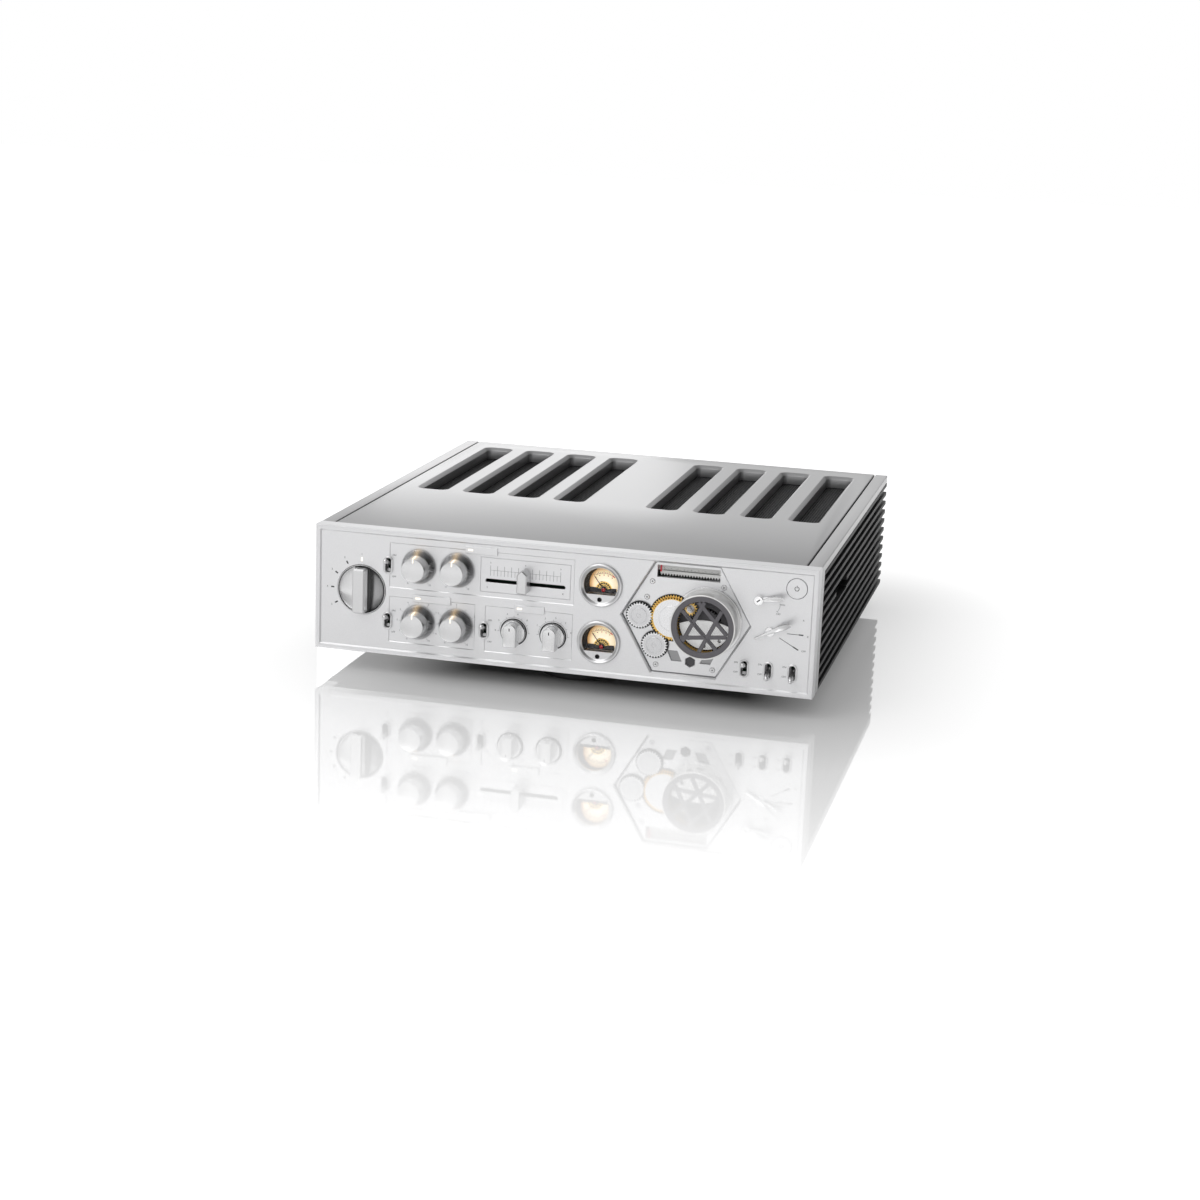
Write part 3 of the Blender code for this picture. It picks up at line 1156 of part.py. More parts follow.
def build_ring_gear(places, phases):
    centre = places["wheel"]
    bm = bmesh.new()
    prism(bm, circle_outline(centre, RING_GEAR_RADIUS, WHEEL_FLATS), INNER_GEAR_FRONT, INNER_GEAR_REAR)
    ring = piece("wheel_ring_gear", bm, "brass", centre)
    bm = bmesh.new()
    outline = gear_outline(centre, RING_TEETH, phases["ring"], inward=True)
    prism(bm, outline, INNER_GEAR_FRONT - OVERRUN, INNER_GEAR_REAR + OVERRUN)
    combine(ring, bm, "DIFFERENCE")


def build_inner_bridge(places):
    # A fixed half disc in front of the sun gear, with a pin that seats in front of the sun shaft
    centre = places["wheel"]
    edge_centre = centre + Vector((0, 0, BRIDGE_EDGE_RISE - BRIDGE_EDGE_RADIUS))
    half_chord = BRIDGE_DISC_RADIUS
    outline = []
    for step in range(SMALL_FLATS + 1):
        angle = math.pi + math.pi * step / SMALL_FLATS
        point = polar(centre, BRIDGE_DISC_RADIUS, angle)
        outline.append((point.x, point.z))
    swing = math.asin(half_chord / BRIDGE_EDGE_RADIUS)
    for step in range(1, ARC_STEPS):
        angle = math.pi / 2 - swing + 2 * swing * step / ARC_STEPS
        point = polar(edge_centre, BRIDGE_EDGE_RADIUS, angle)
        outline.append((point.x, point.z))
    bm = bmesh.new()
    prism(bm, outline, BRIDGE_FRONT, BRIDGE_REAR)
    bridge = piece("inner_bridge", bm, "satin_silver", centre)
    bm = bmesh.new()
    clear = MODULE * SUN_TEETH / 2 + ADDENDUM
    radius = (BRIDGE_DISC_RADIUS - clear) / 3
    for degrees in BRIDGE_POST_DEGREES:
        post = polar(centre, BRIDGE_DISC_RADIUS - radius - GAP, math.radians(degrees))
        prism(bm, circle_outline(post, radius, TINY_FLATS), BRIDGE_REAR - GAP, BEARING_FRONT - GAP)
    combine(bridge, bm, "UNION")


def scale_window_centre():
    return on_panel(HEXAGON_PLACE) + Vector((SCALE_WINDOW_RIGHT, 0, SCALE_WINDOW_UP))


def build_scale_rack(places, phases):
    window = scale_window_centre()
    line = places["rack_line"]
    idler = places["rack_idler"]
    share = tooth_share(phases["rack_idler"], RACK_IDLER_TEETH, math.pi / 2)
    first = idler.x + (share + 0.5) * PITCH
    left_edge = window.x - SCALE_WINDOW_WIDTH / 2 + POINTER_INSET
    while first - PITCH / 2 > left_edge + PITCH:
        first -= PITCH
    half = TOOTH_SHARE * PITCH / 2
    half_tip = half - ADDENDUM * math.tan(PRESSURE_ANGLE)
    half_root = half + DEDENDUM * math.tan(PRESSURE_ANGLE)
    top = line + DEDENDUM + RACK_HEIGHT
    start = first - PITCH / 2
    outline = [(start, top), (start, line + DEDENDUM)]
    for tooth in range(RACK_TEETH):
        middle = first + tooth * PITCH
        outline += [(middle - half_root, line + DEDENDUM), (middle - half_tip, line - ADDENDUM),
                    (middle + half_tip, line - ADDENDUM), (middle + half_root, line + DEDENDUM)]
    end = first + (RACK_TEETH - 0.5) * PITCH
    outline += [(end, line + DEDENDUM), (end, top)]
    rack_front = HIDDEN_REAR - RACK_THICKNESS
    bm = bmesh.new()
    prism(bm, outline, rack_front, HIDDEN_REAR)
    rack = piece("scale_rack", bm, "bright_silver", (start, FRONT_Y, line))
    bm = bmesh.new()
    pointer_top = window.z + SCALE_WINDOW_HEIGHT / 2
    low = (start, FRONT_Y + rack_front - POINTER_THICKNESS / 2, top - RACK_HEIGHT / 2)
    high = (start + POINTER_WIDTH, FRONT_Y + rack_front + POINTER_THICKNESS / 2, pointer_top)
    box(bm, low, high)
    combine(rack, bm, "UNION")


def build_scale_plate(places):
    window = scale_window_centre()
    low_z = places["rack_line"] + DEDENDUM + RACK_HEIGHT + GAP
    high_z = window.z + SCALE_WINDOW_HEIGHT / 2 + SCALE_MARGIN / 2
    half = SCALE_WINDOW_WIDTH / 2 + SCALE_MARGIN
    rear = REAR_BRIDGE_FRONT - GAP
    bm = bmesh.new()
    low = (window.x - half, FRONT_Y + rear - SCALE_THICKNESS, low_z)
    high = (window.x + half, FRONT_Y + rear, high_z)
    box(bm, low, high)
    piece("scale_plate", bm, "white_enamel")


def build_rear_bridge(places):
    window = scale_window_centre()
    wheel = places["wheel"]
    idler = places["rack_idler"]
    margin = REAR_BRIDGE_MARGIN
    left = window.x - SCALE_WINDOW_WIDTH / 2 - 2 * margin
    right = idler.x + MODULE * RACK_IDLER_TEETH / 2 + 2 * margin
    low = wheel.z - MODULE * RACK_PINION_TEETH / 2 - 2 * margin
    high = window.z + SCALE_WINDOW_HEIGHT / 2 + margin / 2
    bm = bmesh.new()
    box(bm, (left, FRONT_Y + REAR_BRIDGE_FRONT, low), (right, FRONT_Y + REAR_BRIDGE_REAR, high))
    bridge = piece("rear_bridge", bm, "zinc_steel")
    bm = bmesh.new()
    hole = (REAR_BRIDGE_FRONT - OVERRUN, REAR_BRIDGE_REAR + OVERRUN)
    prism(bm, circle_outline(wheel, SUN_SHAFT_RADIUS + GAP, TINY_FLATS), *hole)
    prism(bm, circle_outline(idler, GEAR_ARBOR_RADIUS + GAP, SMALL_FLATS), *hole)
    combine(bridge, bm, "DIFFERENCE")
    bm = bmesh.new()
    for x, z in ((left + margin, low + margin), (left + margin, wheel.z + 5 * margin), (right - margin, low + margin)):
        post = Vector((x, 0, z))
        prism(bm, circle_outline(post, PILLAR_RADIUS, TINY_FLATS), HIDDEN_FRONT, REAR_BRIDGE_FRONT + GAP)
    combine(bridge, bm, "UNION")


# Case


def build_side_frame(name, side):
    inner = HALF_WIDTH - SIDE_FRAME_WIDTH
    front = FRONT_Y + BEHIND_PANEL
    rear = FRONT_Y + BODY_DEPTH
    post = front + SIDE_FRAME_POST
    rail = TOP_Z - SIDE_FRAME_RAIL
    outline = [(front, BOTTOM_Z), (post, BOTTOM_Z), (post, rail), (rear, rail), (rear, TOP_Z), (front, TOP_Z)]
    bm = bmesh.new()
    points = [(side * inner, y, z) for y, z in outline]
    extruded(bm, points, (side * SIDE_FRAME_WIDTH, 0, 0))
    outer = [edge for edge in bm.edges if all(
        abs(abs(vert.co.x) - HALF_WIDTH) < WELD and abs(vert.co.z - TOP_Z) < WELD for vert in edge.verts)]
    chamfer(bm, outer, PANEL_CHAMFER)
    piece(name, bm, "satin_silver")


def build_heat_sink(name, side):
    # A comb profile, drawn from the bottom up, that runs from front to rear
    inner = INNER_HALF + GAP
    web = inner + SINK_WEB
    front = FRONT_Y + BEHIND_PANEL + SIDE_FRAME_POST + GAP
    rear = FRONT_Y + BODY_DEPTH
    top = TOP_Z - SIDE_FRAME_RAIL - GAP
    pitch = (top - BOTTOM_Z) / (SINK_FIN_COUNT - 1 + SINK_FIN_SHARE)
    thickness = pitch * SINK_FIN_SHARE
    outline = [(inner, top), (inner, BOTTOM_Z)]
    for fin in range(SINK_FIN_COUNT):
        low = BOTTOM_Z + fin * pitch
        corners = [(web, low), (HALF_WIDTH, low), (HALF_WIDTH, low + thickness), (web, low + thickness)]
        outline += corners[1:] if fin == 0 else corners
    outline = outline[:-1]
    bm = bmesh.new()
    extruded(bm, [(side * x, front, z) for x, z in outline], (0, rear - front, 0))
    sink = piece(name, bm, "black_anodised")
    bm = bmesh.new()
    low_z = BOTTOM_Z + SINK_POCKET_RISE_SHARE * (top - BOTTOM_Z)
    start = FRONT_Y + SINK_POCKET_START
    xs = sorted((side * (HALF_WIDTH - SINK_POCKET_DEPTH), side * (HALF_WIDTH + OVERRUN)))
    box(bm, (xs[0], start, low_z), (xs[1], start + SINK_POCKET_LENGTH, low_z + SINK_POCKET_HEIGHT))
    combine(sink, bm, "DIFFERENCE")


def vent_centres():
    rear = FRONT_Y + BODY_DEPTH - VENT_REAR_MARGIN
    y = rear - VENT_LENGTH / 2
    return [(side * VENT_PITCH * (index + 1), y) for side in (-1, 1) for index in range(VENT_COUNT)]


def build_top_cover():
    front = FRONT_Y + BEHIND_PANEL
    rear = FRONT_Y + BODY_DEPTH
    bm = bmesh.new()
    box(bm, (-INNER_HALF, front, COVER_BOTTOM), (INNER_HALF, rear, TOP_Z))
    cover = piece("top_cover", bm, "cover_silver")
    wall = COVER_SKIRT_THICKNESS
    bm = bmesh.new()
    low = (-INNER_HALF + wall, front + wall, COVER_BOTTOM - OVERRUN)
    high = (INNER_HALF - wall, rear - wall, TOP_Z - COVER_THICKNESS)
    box(bm, low, high)
    combine(cover, bm, "DIFFERENCE")
    bm = bmesh.new()
    for x, y in vent_centres():
        half_width = VENT_WIDTH / 2 + VENT_WALL
        half_length = VENT_LENGTH / 2 + VENT_WALL
        box(bm, (x - half_width, y - half_length, COVER_BOTTOM),
            (x + half_width, y + half_length, TOP_Z - COVER_THICKNESS / 2))
    combine(cover, bm, "UNION")
    bm = bmesh.new()
    for centre in vent_centres():
        throat = rounded_outline(centre, VENT_WIDTH, VENT_LENGTH, VENT_CORNER)
        mouth_width = VENT_WIDTH + 2 * VENT_CHAMFER
        mouth_length = VENT_LENGTH + 2 * VENT_CHAMFER
        mouth = rounded_outline(centre, mouth_width, mouth_length, VENT_CORNER + VENT_CHAMFER)
        stacked(bm, ((throat, COVER_BOTTOM - OVERRUN), (throat, TOP_Z - VENT_CHAMFER), (mouth, TOP_Z),
                     (mouth, TOP_Z + OVERRUN)))
    combine(cover, bm, "DIFFERENCE")


def build_vent_mesh(name, side):
    places = [place for place in vent_centres() if place[0] * side > 0]
    half_width = VENT_WIDTH / 2 + VENT_WALL
    half_length = VENT_LENGTH / 2 + VENT_WALL
    xs = [x for x, y in places]
    y = places[0][1]
    top = COVER_BOTTOM - GAP
    bm = bmesh.new()
    box(bm, (min(xs) - half_width, y - half_length, top - MESH_THICKNESS),
        (max(xs) + half_width, y + half_length, top))
    mesh = piece(name, bm, "black_anodised")
    bm = bmesh.new()
    slot_width = (VENT_WIDTH - (MESH_SLOT_ROW_COUNT + 1) * MESH_WEB) / MESH_SLOT_ROW_COUNT
    slot_length = (VENT_LENGTH - (MESH_SLOT_COLUMN_COUNT + 1) * MESH_WEB) / MESH_SLOT_COLUMN_COUNT
    for x in xs:
        for row in range(MESH_SLOT_ROW_COUNT):
            for column in range(MESH_SLOT_COLUMN_COUNT):
                low_x = x - VENT_WIDTH / 2 + MESH_WEB + row * (slot_width + MESH_WEB)
                low_y = y - VENT_LENGTH / 2 + MESH_WEB + column * (slot_length + MESH_WEB)
                box(bm, (low_x, low_y, top - MESH_THICKNESS - OVERRUN),
                    (low_x + slot_width, low_y + slot_length, top + OVERRUN))
    combine(mesh, bm, "DIFFERENCE")


def build_base_tray():
    front = FRONT_Y + BEHIND_PANEL
    rear = FRONT_Y + REAR_INNER - GAP
    bm = bmesh.new()
    box(bm, (-INNER_HALF, front, BOTTOM_Z), (INNER_HALF, rear, BOTTOM_Z + TRAY_FLANGE))
    tray = piece("base_tray", bm, "zinc_steel")
    wall = TRAY_THICKNESS
    bm = bmesh.new()
    low = (-INNER_HALF + wall, front + wall, TRAY_TOP)
    high = (INNER_HALF - wall, rear - wall, BOTTOM_Z + TRAY_FLANGE + OVERRUN)
    box(bm, low, high)
    combine(tray, bm, "DIFFERENCE")
    bm = bmesh.new()
    pitch = 2 * INNER_HALF / (TRAY_VENT_COUNT + 2)
    y = FRONT_Y + BODY_DEPTH - TRAY_VENT_REAR_MARGIN
    for index in range(TRAY_VENT_COUNT):
        x = (index - (TRAY_VENT_COUNT - 1) / 2) * pitch
        low = (x - TRAY_VENT_WIDTH / 2, y - TRAY_VENT_LENGTH / 2, BOTTOM_Z - OVERRUN)
        high = (x + TRAY_VENT_WIDTH / 2, y + TRAY_VENT_LENGTH / 2, TRAY_TOP + OVERRUN)
        box(bm, low, high)
    combine(tray, bm, "DIFFERENCE")


def build_rear_panel():
    centre_inlet = Vector((INLET_RIGHT, 0, SOCKETS_Z))
    rocker = Vector((INLET_RIGHT, 0, ROCKER_Z))
    bm = bmesh.new()
    low = (-INNER_HALF, FRONT_Y + REAR_INNER, BOTTOM_Z)
    high = (INNER_HALF, FRONT_Y + REAR_OUTER, BOTTOM_Z + REAR_PANEL_HEIGHT)
    box(bm, low, high)
    panel = piece("rear_panel", bm, "black_anodised")
    bm = bmesh.new()
    through = (REAR_INNER - OVERRUN, REAR_OUTER + OVERRUN)
    panel_box(bm, centre_inlet, INLET_BODY_WIDTH + 2 * GAP, INLET_BODY_HEIGHT + 2 * GAP, *through)
    panel_box(bm, rocker, ROCKER_WIDTH + 2 * GAP, ROCKER_HEIGHT + 2 * ROCKER_ROOM, *through)
    combine(panel, bm, "DIFFERENCE")


def build_foot(name, x, depth):
    centre = (x, FRONT_Y + depth, 0)
    top = FOOT_HEIGHT - GAP
    profile = [(0, top), (FOOT_TOP_RADIUS, top), (FOOT_RADIUS, FOOT_EDGE), (FOOT_PAD_RADIUS, 0), (0, 0)]
    bm = bmesh.new()
    standing(bm, profile, centre, LARGE_FLATS)
    smooth(piece(name, bm, "black_plastic", centre))


# Inside


def build_transformer():
    centre = (TRANSFORMER_RIGHT, FRONT_Y + TRANSFORMER_DEPTH, 0)
    low = TRAY_TOP + GAP
    high = low + TRANSFORMER_HEIGHT
    r = TRANSFORMER_ROUNDING
    outer = TRANSFORMER_RADIUS
    inner = TRANSFORMER_BORE
    profile = [(inner, low), (outer - r, low), (outer, low + r), (outer, high - r), (outer - r, high), (inner, high)]
    bm = bmesh.new()
    standing(bm, profile, centre, LARGE_FLATS, ring=True)
    smooth(piece("mains_transformer", bm, "copper_coil", centre))


def grid_places(centre, width, length, columns, rows):
    for column in range(columns):
        for row in range(rows):
            x = centre[0] + ((column + 0.5) / columns - 0.5) * width
            y = centre[1] + ((row + 0.5) / rows - 0.5) * length
            yield (x, y, 0)


def build_board(name, centre, width, length, tall_radius, tall_height, columns, rows):
    low = TRAY_TOP + PCB_STANDOFF
    bm = bmesh.new()
    box(bm, (centre[0] - width / 2, centre[1] - length / 2, low),
        (centre[0] + width / 2, centre[1] + length / 2, low + BOARD_THICKNESS))
    board = piece(name, bm, "green_board")
    bm = bmesh.new()
    middle = low + BOARD_THICKNESS / 2
    inset_width = 2 * (width - 2 * STANDOFF_INSET)
    inset_length = 2 * (length - 2 * STANDOFF_INSET)
    for place in grid_places(centre, inset_width, inset_length, 2, 2):
        profile = [(0, TRAY_TOP + GAP), (STANDOFF_RADIUS, TRAY_TOP + GAP), (STANDOFF_RADIUS, middle), (0, middle)]
        standing(bm, profile, place, TINY_FLATS)
    high = low + tall_height
    inner_width = width - 2 * STANDOFF_INSET - tall_radius
    inner_length = length - 2 * STANDOFF_INSET - tall_radius
    for place in grid_places(centre, inner_width, inner_length, columns, rows):
        profile = [(0, middle), (tall_radius, middle), (tall_radius, high), (0, high)]
        standing(bm, profile, place, SMALL_FLATS)
    combine(board, bm, "UNION")


def build_control_board(places):
    front = CONTROL_BOARD_DEPTH
    rear = front + BOARD_THICKNESS
    half = INNER_HALF - BOARD_MARGIN
    bm = bmesh.new()
    low = (-half, FRONT_Y + front, TRAY_TOP + GAP)
    high = (half, FRONT_Y + rear, COVER_BOTTOM - BOARD_MARGIN)
    box(bm, low, high)
    board = piece("control_board", bm, "green_board")
    span = (POT_DEPTH, front + BOARD_THICKNESS / 2)
    bm = bmesh.new()
    prism(bm, circle_outline(on_panel(POWER_BUTTON_PLACE), BUTTON_SWITCH_RADIUS, TINY_FLATS), *span)
    round_places = [SELECTOR_PLACE, DIRECT_LEVER_PLACE, SPEAKER_LEVER_PLACE]
    round_places += list(KNOB_PLACES.values()) + list(EQUALIZER_PLACES.values())
    for centre in [on_panel(place) for place in round_places] + [places["wheel"]]:
        prism(bm, circle_outline(centre, POT_RADIUS, TINY_FLATS), *span)
    panel_box(bm, on_panel(BALANCE_PLACE), BALANCE_SLOT_LENGTH, SLIDER_BODY_HEIGHT, *span)
    body_front = TOGGLE_PIVOT_DEPTH + TOGGLE_BALL_RADIUS + GAP
    for place in list(TOGGLE_UP_PLACES.values()) + list(TOGGLE_DOWN_PLACES.values()):
        panel_box(bm, on_panel(place), TOGGLE_BODY_WIDTH, TOGGLE_BODY_HEIGHT, body_front, span[1])
    combine(board, bm, "UNION")


# Rear connectors


def build_mains_inlet():
    centre = Vector((INLET_RIGHT, 0, SOCKETS_Z))
    bm = bmesh.new()
    flange_rear = BODY_DEPTH + INLET_FLANGE_THICKNESS
    panel_box(bm, centre, INLET_FLANGE_WIDTH, INLET_FLANGE_HEIGHT, BODY_DEPTH, flange_rear)
    inlet = piece("mains_inlet", bm, "black_plastic")
    bm = bmesh.new()
    body_front = REAR_OUTER - INLET_BODY_LENGTH
    panel_box(bm, centre, INLET_BODY_WIDTH, INLET_BODY_HEIGHT, body_front, BODY_DEPTH + GAP)
    combine(inlet, bm, "UNION")
    bm = bmesh.new()
    panel_box(bm, centre, INLET_SOCKET_WIDTH, INLET_SOCKET_HEIGHT,
              flange_rear - INLET_SOCKET_DEPTH, flange_rear + OVERRUN)
    combine(inlet, bm, "DIFFERENCE")


def build_mains_rocker():
    centre = Vector((INLET_RIGHT, FRONT_Y + REAR_OUTER - ROCKER_BODY / 2, ROCKER_Z))
    half = ROCKER_HEIGHT / 2
    face = ROCKER_BODY / 2
    outline = [(-face, -half / 2), (face - ROCKER_PEAK, -half), (face + ROCKER_PEAK / 2, -half), (face, 0),
               (face + ROCKER_PEAK / 2, half), (face - ROCKER_PEAK, half), (-face, half / 2)]
    bm = bmesh.new()
    extruded(bm, [(-ROCKER_WIDTH / 2, y, z) for y, z in outline], (ROCKER_WIDTH, 0, 0))
    rocker = piece("mains_rocker", bm, "black_plastic")
    rocker.location = centre
    rocker.rotation_euler.x = ROCKER_TILT


def build_speaker_terminals(name, right):
    centre = Vector((right, 0, SOCKETS_Z))
    plate_rear = BODY_DEPTH + SPEAKER_PLATE_THICKNESS
    bm = bmesh.new()
    panel_box(bm, centre, SPEAKER_PLATE_WIDTH, SPEAKER_PLATE_HEIGHT, BODY_DEPTH, plate_rear)
    terminals = piece(name, bm, "black_plastic")
    tip = BODY_DEPTH + TERMINAL_REACH
    waist = plate_rear + (tip - plate_rear) * SPEAKER_POST_WAIST_SHARE
    half = SPEAKER_POST_PITCH / 2
    bm = bmesh.new()
    for x, z in ((-half, -half), (half, -half), (-half, half), (half, half)):
        post = centre + Vector((x, 0, z))
        profile = [(0, plate_rear - GAP), (SPEAKER_POST_WAIST, plate_rear - GAP), (SPEAKER_POST_WAIST, waist),
                   (SPEAKER_POST_RADIUS, waist), (SPEAKER_POST_RADIUS, tip - GAP), (0, tip)]
        turned(bm, profile, post, TINY_FLATS)
    combine(terminals, bm, "UNION")


def build_input_block():
    centre = Vector((INPUT_PLATE_RIGHT, 0, SOCKETS_Z))
    plate_rear = BODY_DEPTH + INPUT_PLATE_THICKNESS
    bm = bmesh.new()
    panel_box(bm, centre, INPUT_PLATE_WIDTH, INPUT_PLATE_HEIGHT, BODY_DEPTH, plate_rear)
    block = piece("input_block", bm, "black_plastic")
    tip = BODY_DEPTH + INPUT_JACK_LENGTH
    bm = bmesh.new()
    for column in range(INPUT_JACK_COLUMN_COUNT):
        for row in (-1, 1):
            x = (column - INPUT_JACK_COLUMN_COUNT / 2) * INPUT_JACK_PITCH
            jack = centre + Vector((x, 0, row * INPUT_JACK_PITCH / 2))
            profile = [(0, plate_rear - GAP), (INPUT_JACK_RADIUS, plate_rear - GAP), (INPUT_JACK_RADIUS, tip),
                       (INPUT_JACK_BORE, tip), (INPUT_JACK_BORE, plate_rear + GAP), (0, plate_rear + GAP)]
            turned(bm, profile, jack, TINY_FLATS)
    x = INPUT_JACK_COLUMN_COUNT / 2 * INPUT_JACK_PITCH
    post = centre + Vector((x, 0, 0))
    tip = BODY_DEPTH + GROUND_POST_LENGTH
    turned(bm, [(0, plate_rear - GAP), (GROUND_POST_RADIUS, plate_rear - GAP), (GROUND_POST_RADIUS, tip), (0, tip)],
           post, TINY_FLATS)
    combine(block, bm, "UNION")


def build_front():
    build_front_panel()
    build_selector_knob()
    for name, place in KNOB_PLACES.items():
        build_round_knob(name, place)
    for name, place in EQUALIZER_PLACES.items():
        build_equalizer_knob(name, place)
    for name, place in TOGGLE_UP_PLACES.items():
        build_toggle(name, place, TOGGLE_TILT)
    for name, place in TOGGLE_DOWN_PLACES.items():
        build_toggle(name, place, -TOGGLE_TILT)
    build_balance_slider()
    build_power_button()
    build_lever("direct_lever", DIRECT_LEVER_PLACE, DIRECT_LEVER_WIDTH, 0, DIRECT_LEVER_LENGTH,
                DIRECT_LEVER_RISE, DIRECT_LEVER_REST)
    build_lever("speaker_lever", SPEAKER_LEVER_PLACE, SPEAKER_LEVER_WIDTH, SPEAKER_LEVER_TAIL,
                SPEAKER_LEVER_LENGTH, SPEAKER_LEVER_RISE, SPEAKER_LEVER_REST)
    for name, place in METER_PLACES.items():
        build_meter(name, place)


def build_gear_module():
    places = gear_places()
    phases = gear_phases(places)
    build_gear_plate(places)
    build_centre_gear(places, phases)
    for name in ("upper_idler", "lower_idler"):
        build_small_gear(name, places[name], IDLER_TEETH, phases[name], GEAR_FRONT, GEAR_REAR, PLATE_BACK,
                         "bright_silver")
    build_small_gear("inner_idler", places["inner_idler"], INNER_IDLER_TEETH, phases["inner_idler"],
                     INNER_GEAR_FRONT, INNER_GEAR_REAR, SLEEVE_REAR, "bright_silver")
    build_small_gear("rack_idler", places["rack_idler"], RACK_IDLER_TEETH, phases["rack_idler"],
                     HIDDEN_FRONT + GEAR_BOSS_HEIGHT, HIDDEN_REAR, REAR_BRIDGE_REAR, "brass")
    build_sun_shaft(places, phases)
    build_wheel_bearing(places)
    build_volume_wheel(places)
    build_wheel_grille(places)
    build_ring_gear(places, phases)
    build_inner_bridge(places)
    build_scale_rack(places, phases)
    build_scale_plate(places)
    build_rear_bridge(places)
    build_control_board(places)


def build_case():
    build_top_cover()
    build_base_tray()
    build_rear_panel()
    for name, side in (("left", -1), ("right", 1)):
        build_side_frame("side_frame_" + name, side)
        build_heat_sink("heat_sink_" + name, side)
        build_vent_mesh("vent_mesh_" + name, side)
        build_foot("foot_rear_" + name, side * FOOT_REAR_SPREAD, BODY_DEPTH - FOOT_REAR_MARGIN)
    build_foot("foot_front", 0, FOOT_FRONT_DEPTH)


def build_inside():
    build_transformer()
    power = (POWER_BOARD_RIGHT, FRONT_Y + POWER_BOARD_DEPTH)
    build_board("power_board", power, POWER_BOARD_WIDTH, POWER_BOARD_LENGTH, CAPACITOR_RADIUS,
                CAPACITOR_HEIGHT, CAPACITOR_COLUMN_COUNT, CAPACITOR_ROW_COUNT)
    amplifier = (AMPLIFIER_BOARD_RIGHT, FRONT_Y + AMPLIFIER_BOARD_DEPTH)
    build_board("amplifier_board", amplifier, AMPLIFIER_BOARD_WIDTH, AMPLIFIER_BOARD_LENGTH, COIL_RADIUS,
                COIL_HEIGHT, 2, 2)


def build_rear_connectors():
    build_mains_inlet()
    build_mains_rocker()
    build_speaker_terminals("speaker_terminals_left", LEFT_SPEAKER_PLATE_RIGHT)
    build_speaker_terminals("speaker_terminals_right", RIGHT_SPEAKER_PLATE_RIGHT)
    build_input_block()


clear_scene()
build_front()
build_gear_module()
build_case()
build_inside()
build_rear_connectors()
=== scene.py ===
import json
import math

import bmesh
import bpy
from mathutils import Matrix, Vector


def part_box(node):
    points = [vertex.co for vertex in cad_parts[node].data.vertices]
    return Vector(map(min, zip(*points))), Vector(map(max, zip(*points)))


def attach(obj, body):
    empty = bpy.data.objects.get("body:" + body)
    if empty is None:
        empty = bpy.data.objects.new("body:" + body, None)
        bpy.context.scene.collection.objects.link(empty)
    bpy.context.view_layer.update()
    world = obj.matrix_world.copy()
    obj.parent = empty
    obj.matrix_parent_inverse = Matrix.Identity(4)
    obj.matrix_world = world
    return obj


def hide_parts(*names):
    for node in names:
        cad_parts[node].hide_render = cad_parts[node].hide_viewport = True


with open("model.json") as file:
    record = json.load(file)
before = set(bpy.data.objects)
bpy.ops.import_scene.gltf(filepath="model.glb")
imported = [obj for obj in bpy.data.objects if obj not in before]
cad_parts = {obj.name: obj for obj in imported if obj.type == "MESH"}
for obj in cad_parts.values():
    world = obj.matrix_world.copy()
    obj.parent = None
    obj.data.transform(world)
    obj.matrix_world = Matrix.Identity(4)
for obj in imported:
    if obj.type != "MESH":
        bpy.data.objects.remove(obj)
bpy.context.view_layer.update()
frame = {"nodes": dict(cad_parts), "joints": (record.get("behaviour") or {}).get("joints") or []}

mm = 0.001
tau = 2 * math.pi
panelLow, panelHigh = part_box("front_panel")
pivots = {joint["child"]: Vector(joint["pos_m"]) for joint in frame["joints"] if "pos_m" in joint}


def spot(across, down, depth=0):
    # Millimetres from the panel's upper left corner: across, down and back
    return Vector((panelLow.x + across * mm, panelLow.y + depth * mm, panelHigh.z - down * mm))


def shifted(point, right=0, back=0, up=0):
    return point + Vector((right * mm, back * mm, up * mm))


def atDepth(point, depth):
    # The same place, so many millimetres behind the panel's front
    return Vector((point.x, panelLow.y + depth * mm, point.z))


def polar(centre, radius, degrees, back=0):
    angle = math.radians(degrees)
    return shifted(centre, radius * math.cos(angle), back, radius * math.sin(angle))


def tilted(degrees, axis="Y"):
    return Matrix.Rotation(math.radians(degrees), 4, axis)


def rod(radius, front, rear):
    return [(0, front), (radius, front), (radius, rear), (0, rear)]


def tube(inner, outer, front, rear):
    return [(inner, front), (outer, front), (outer, rear), (inner, rear)]


def lathe(bm, profile, centre, steps=64, turn=0, stretch=(0, 0), closed=False, arc=360, up=False):
    # Radius and depth in millimetres, turned about a line along Y, or radius and height about Z
    before = set(bm.verts)
    angle = math.radians(turn)
    verts = []
    for radius, along in profile:
        side = Vector((math.cos(angle), math.sin(angle))) * radius * mm
        if up:
            place = (centre.x + side.x, centre.y + side.y, along * mm)
        else:
            place = (centre.x + side.x, panelLow.y + along * mm, centre.z + side.y)
        verts.append(bm.verts.new(place))
    edges = [bm.edges.new(pair) for pair in zip(verts, verts[1:] + (verts[:1] if closed else []))]
    bmesh.ops.spin(bm, geom=verts + edges, cent=centre, axis=(0, 0, 1) if up else (0, -1, 0),
                   angle=math.radians(arc), steps=steps, use_merge=arc == 360)
    made = [vert for vert in bm.verts if vert not in before]
    for vert in made:
        off = vert.co - centre
        for axis, far in zip((0, 1 if up else 2), stretch):
            if abs(off[axis]) > 1e-6:
                vert.co[axis] += math.copysign(far * mm, off[axis])
    return made


def turned(profile, centre, **shape):
    bm = bmesh.new()
    lathe(bm, profile, centre, **shape)
    return bm


def block(bm, centre, size, turn=Matrix()):
    matrix = Matrix.Translation(centre) @ turn @ Matrix.Diagonal((*(Vector(size) * mm), 1))
    return bmesh.ops.create_cube(bm, size=1, matrix=matrix)["verts"]


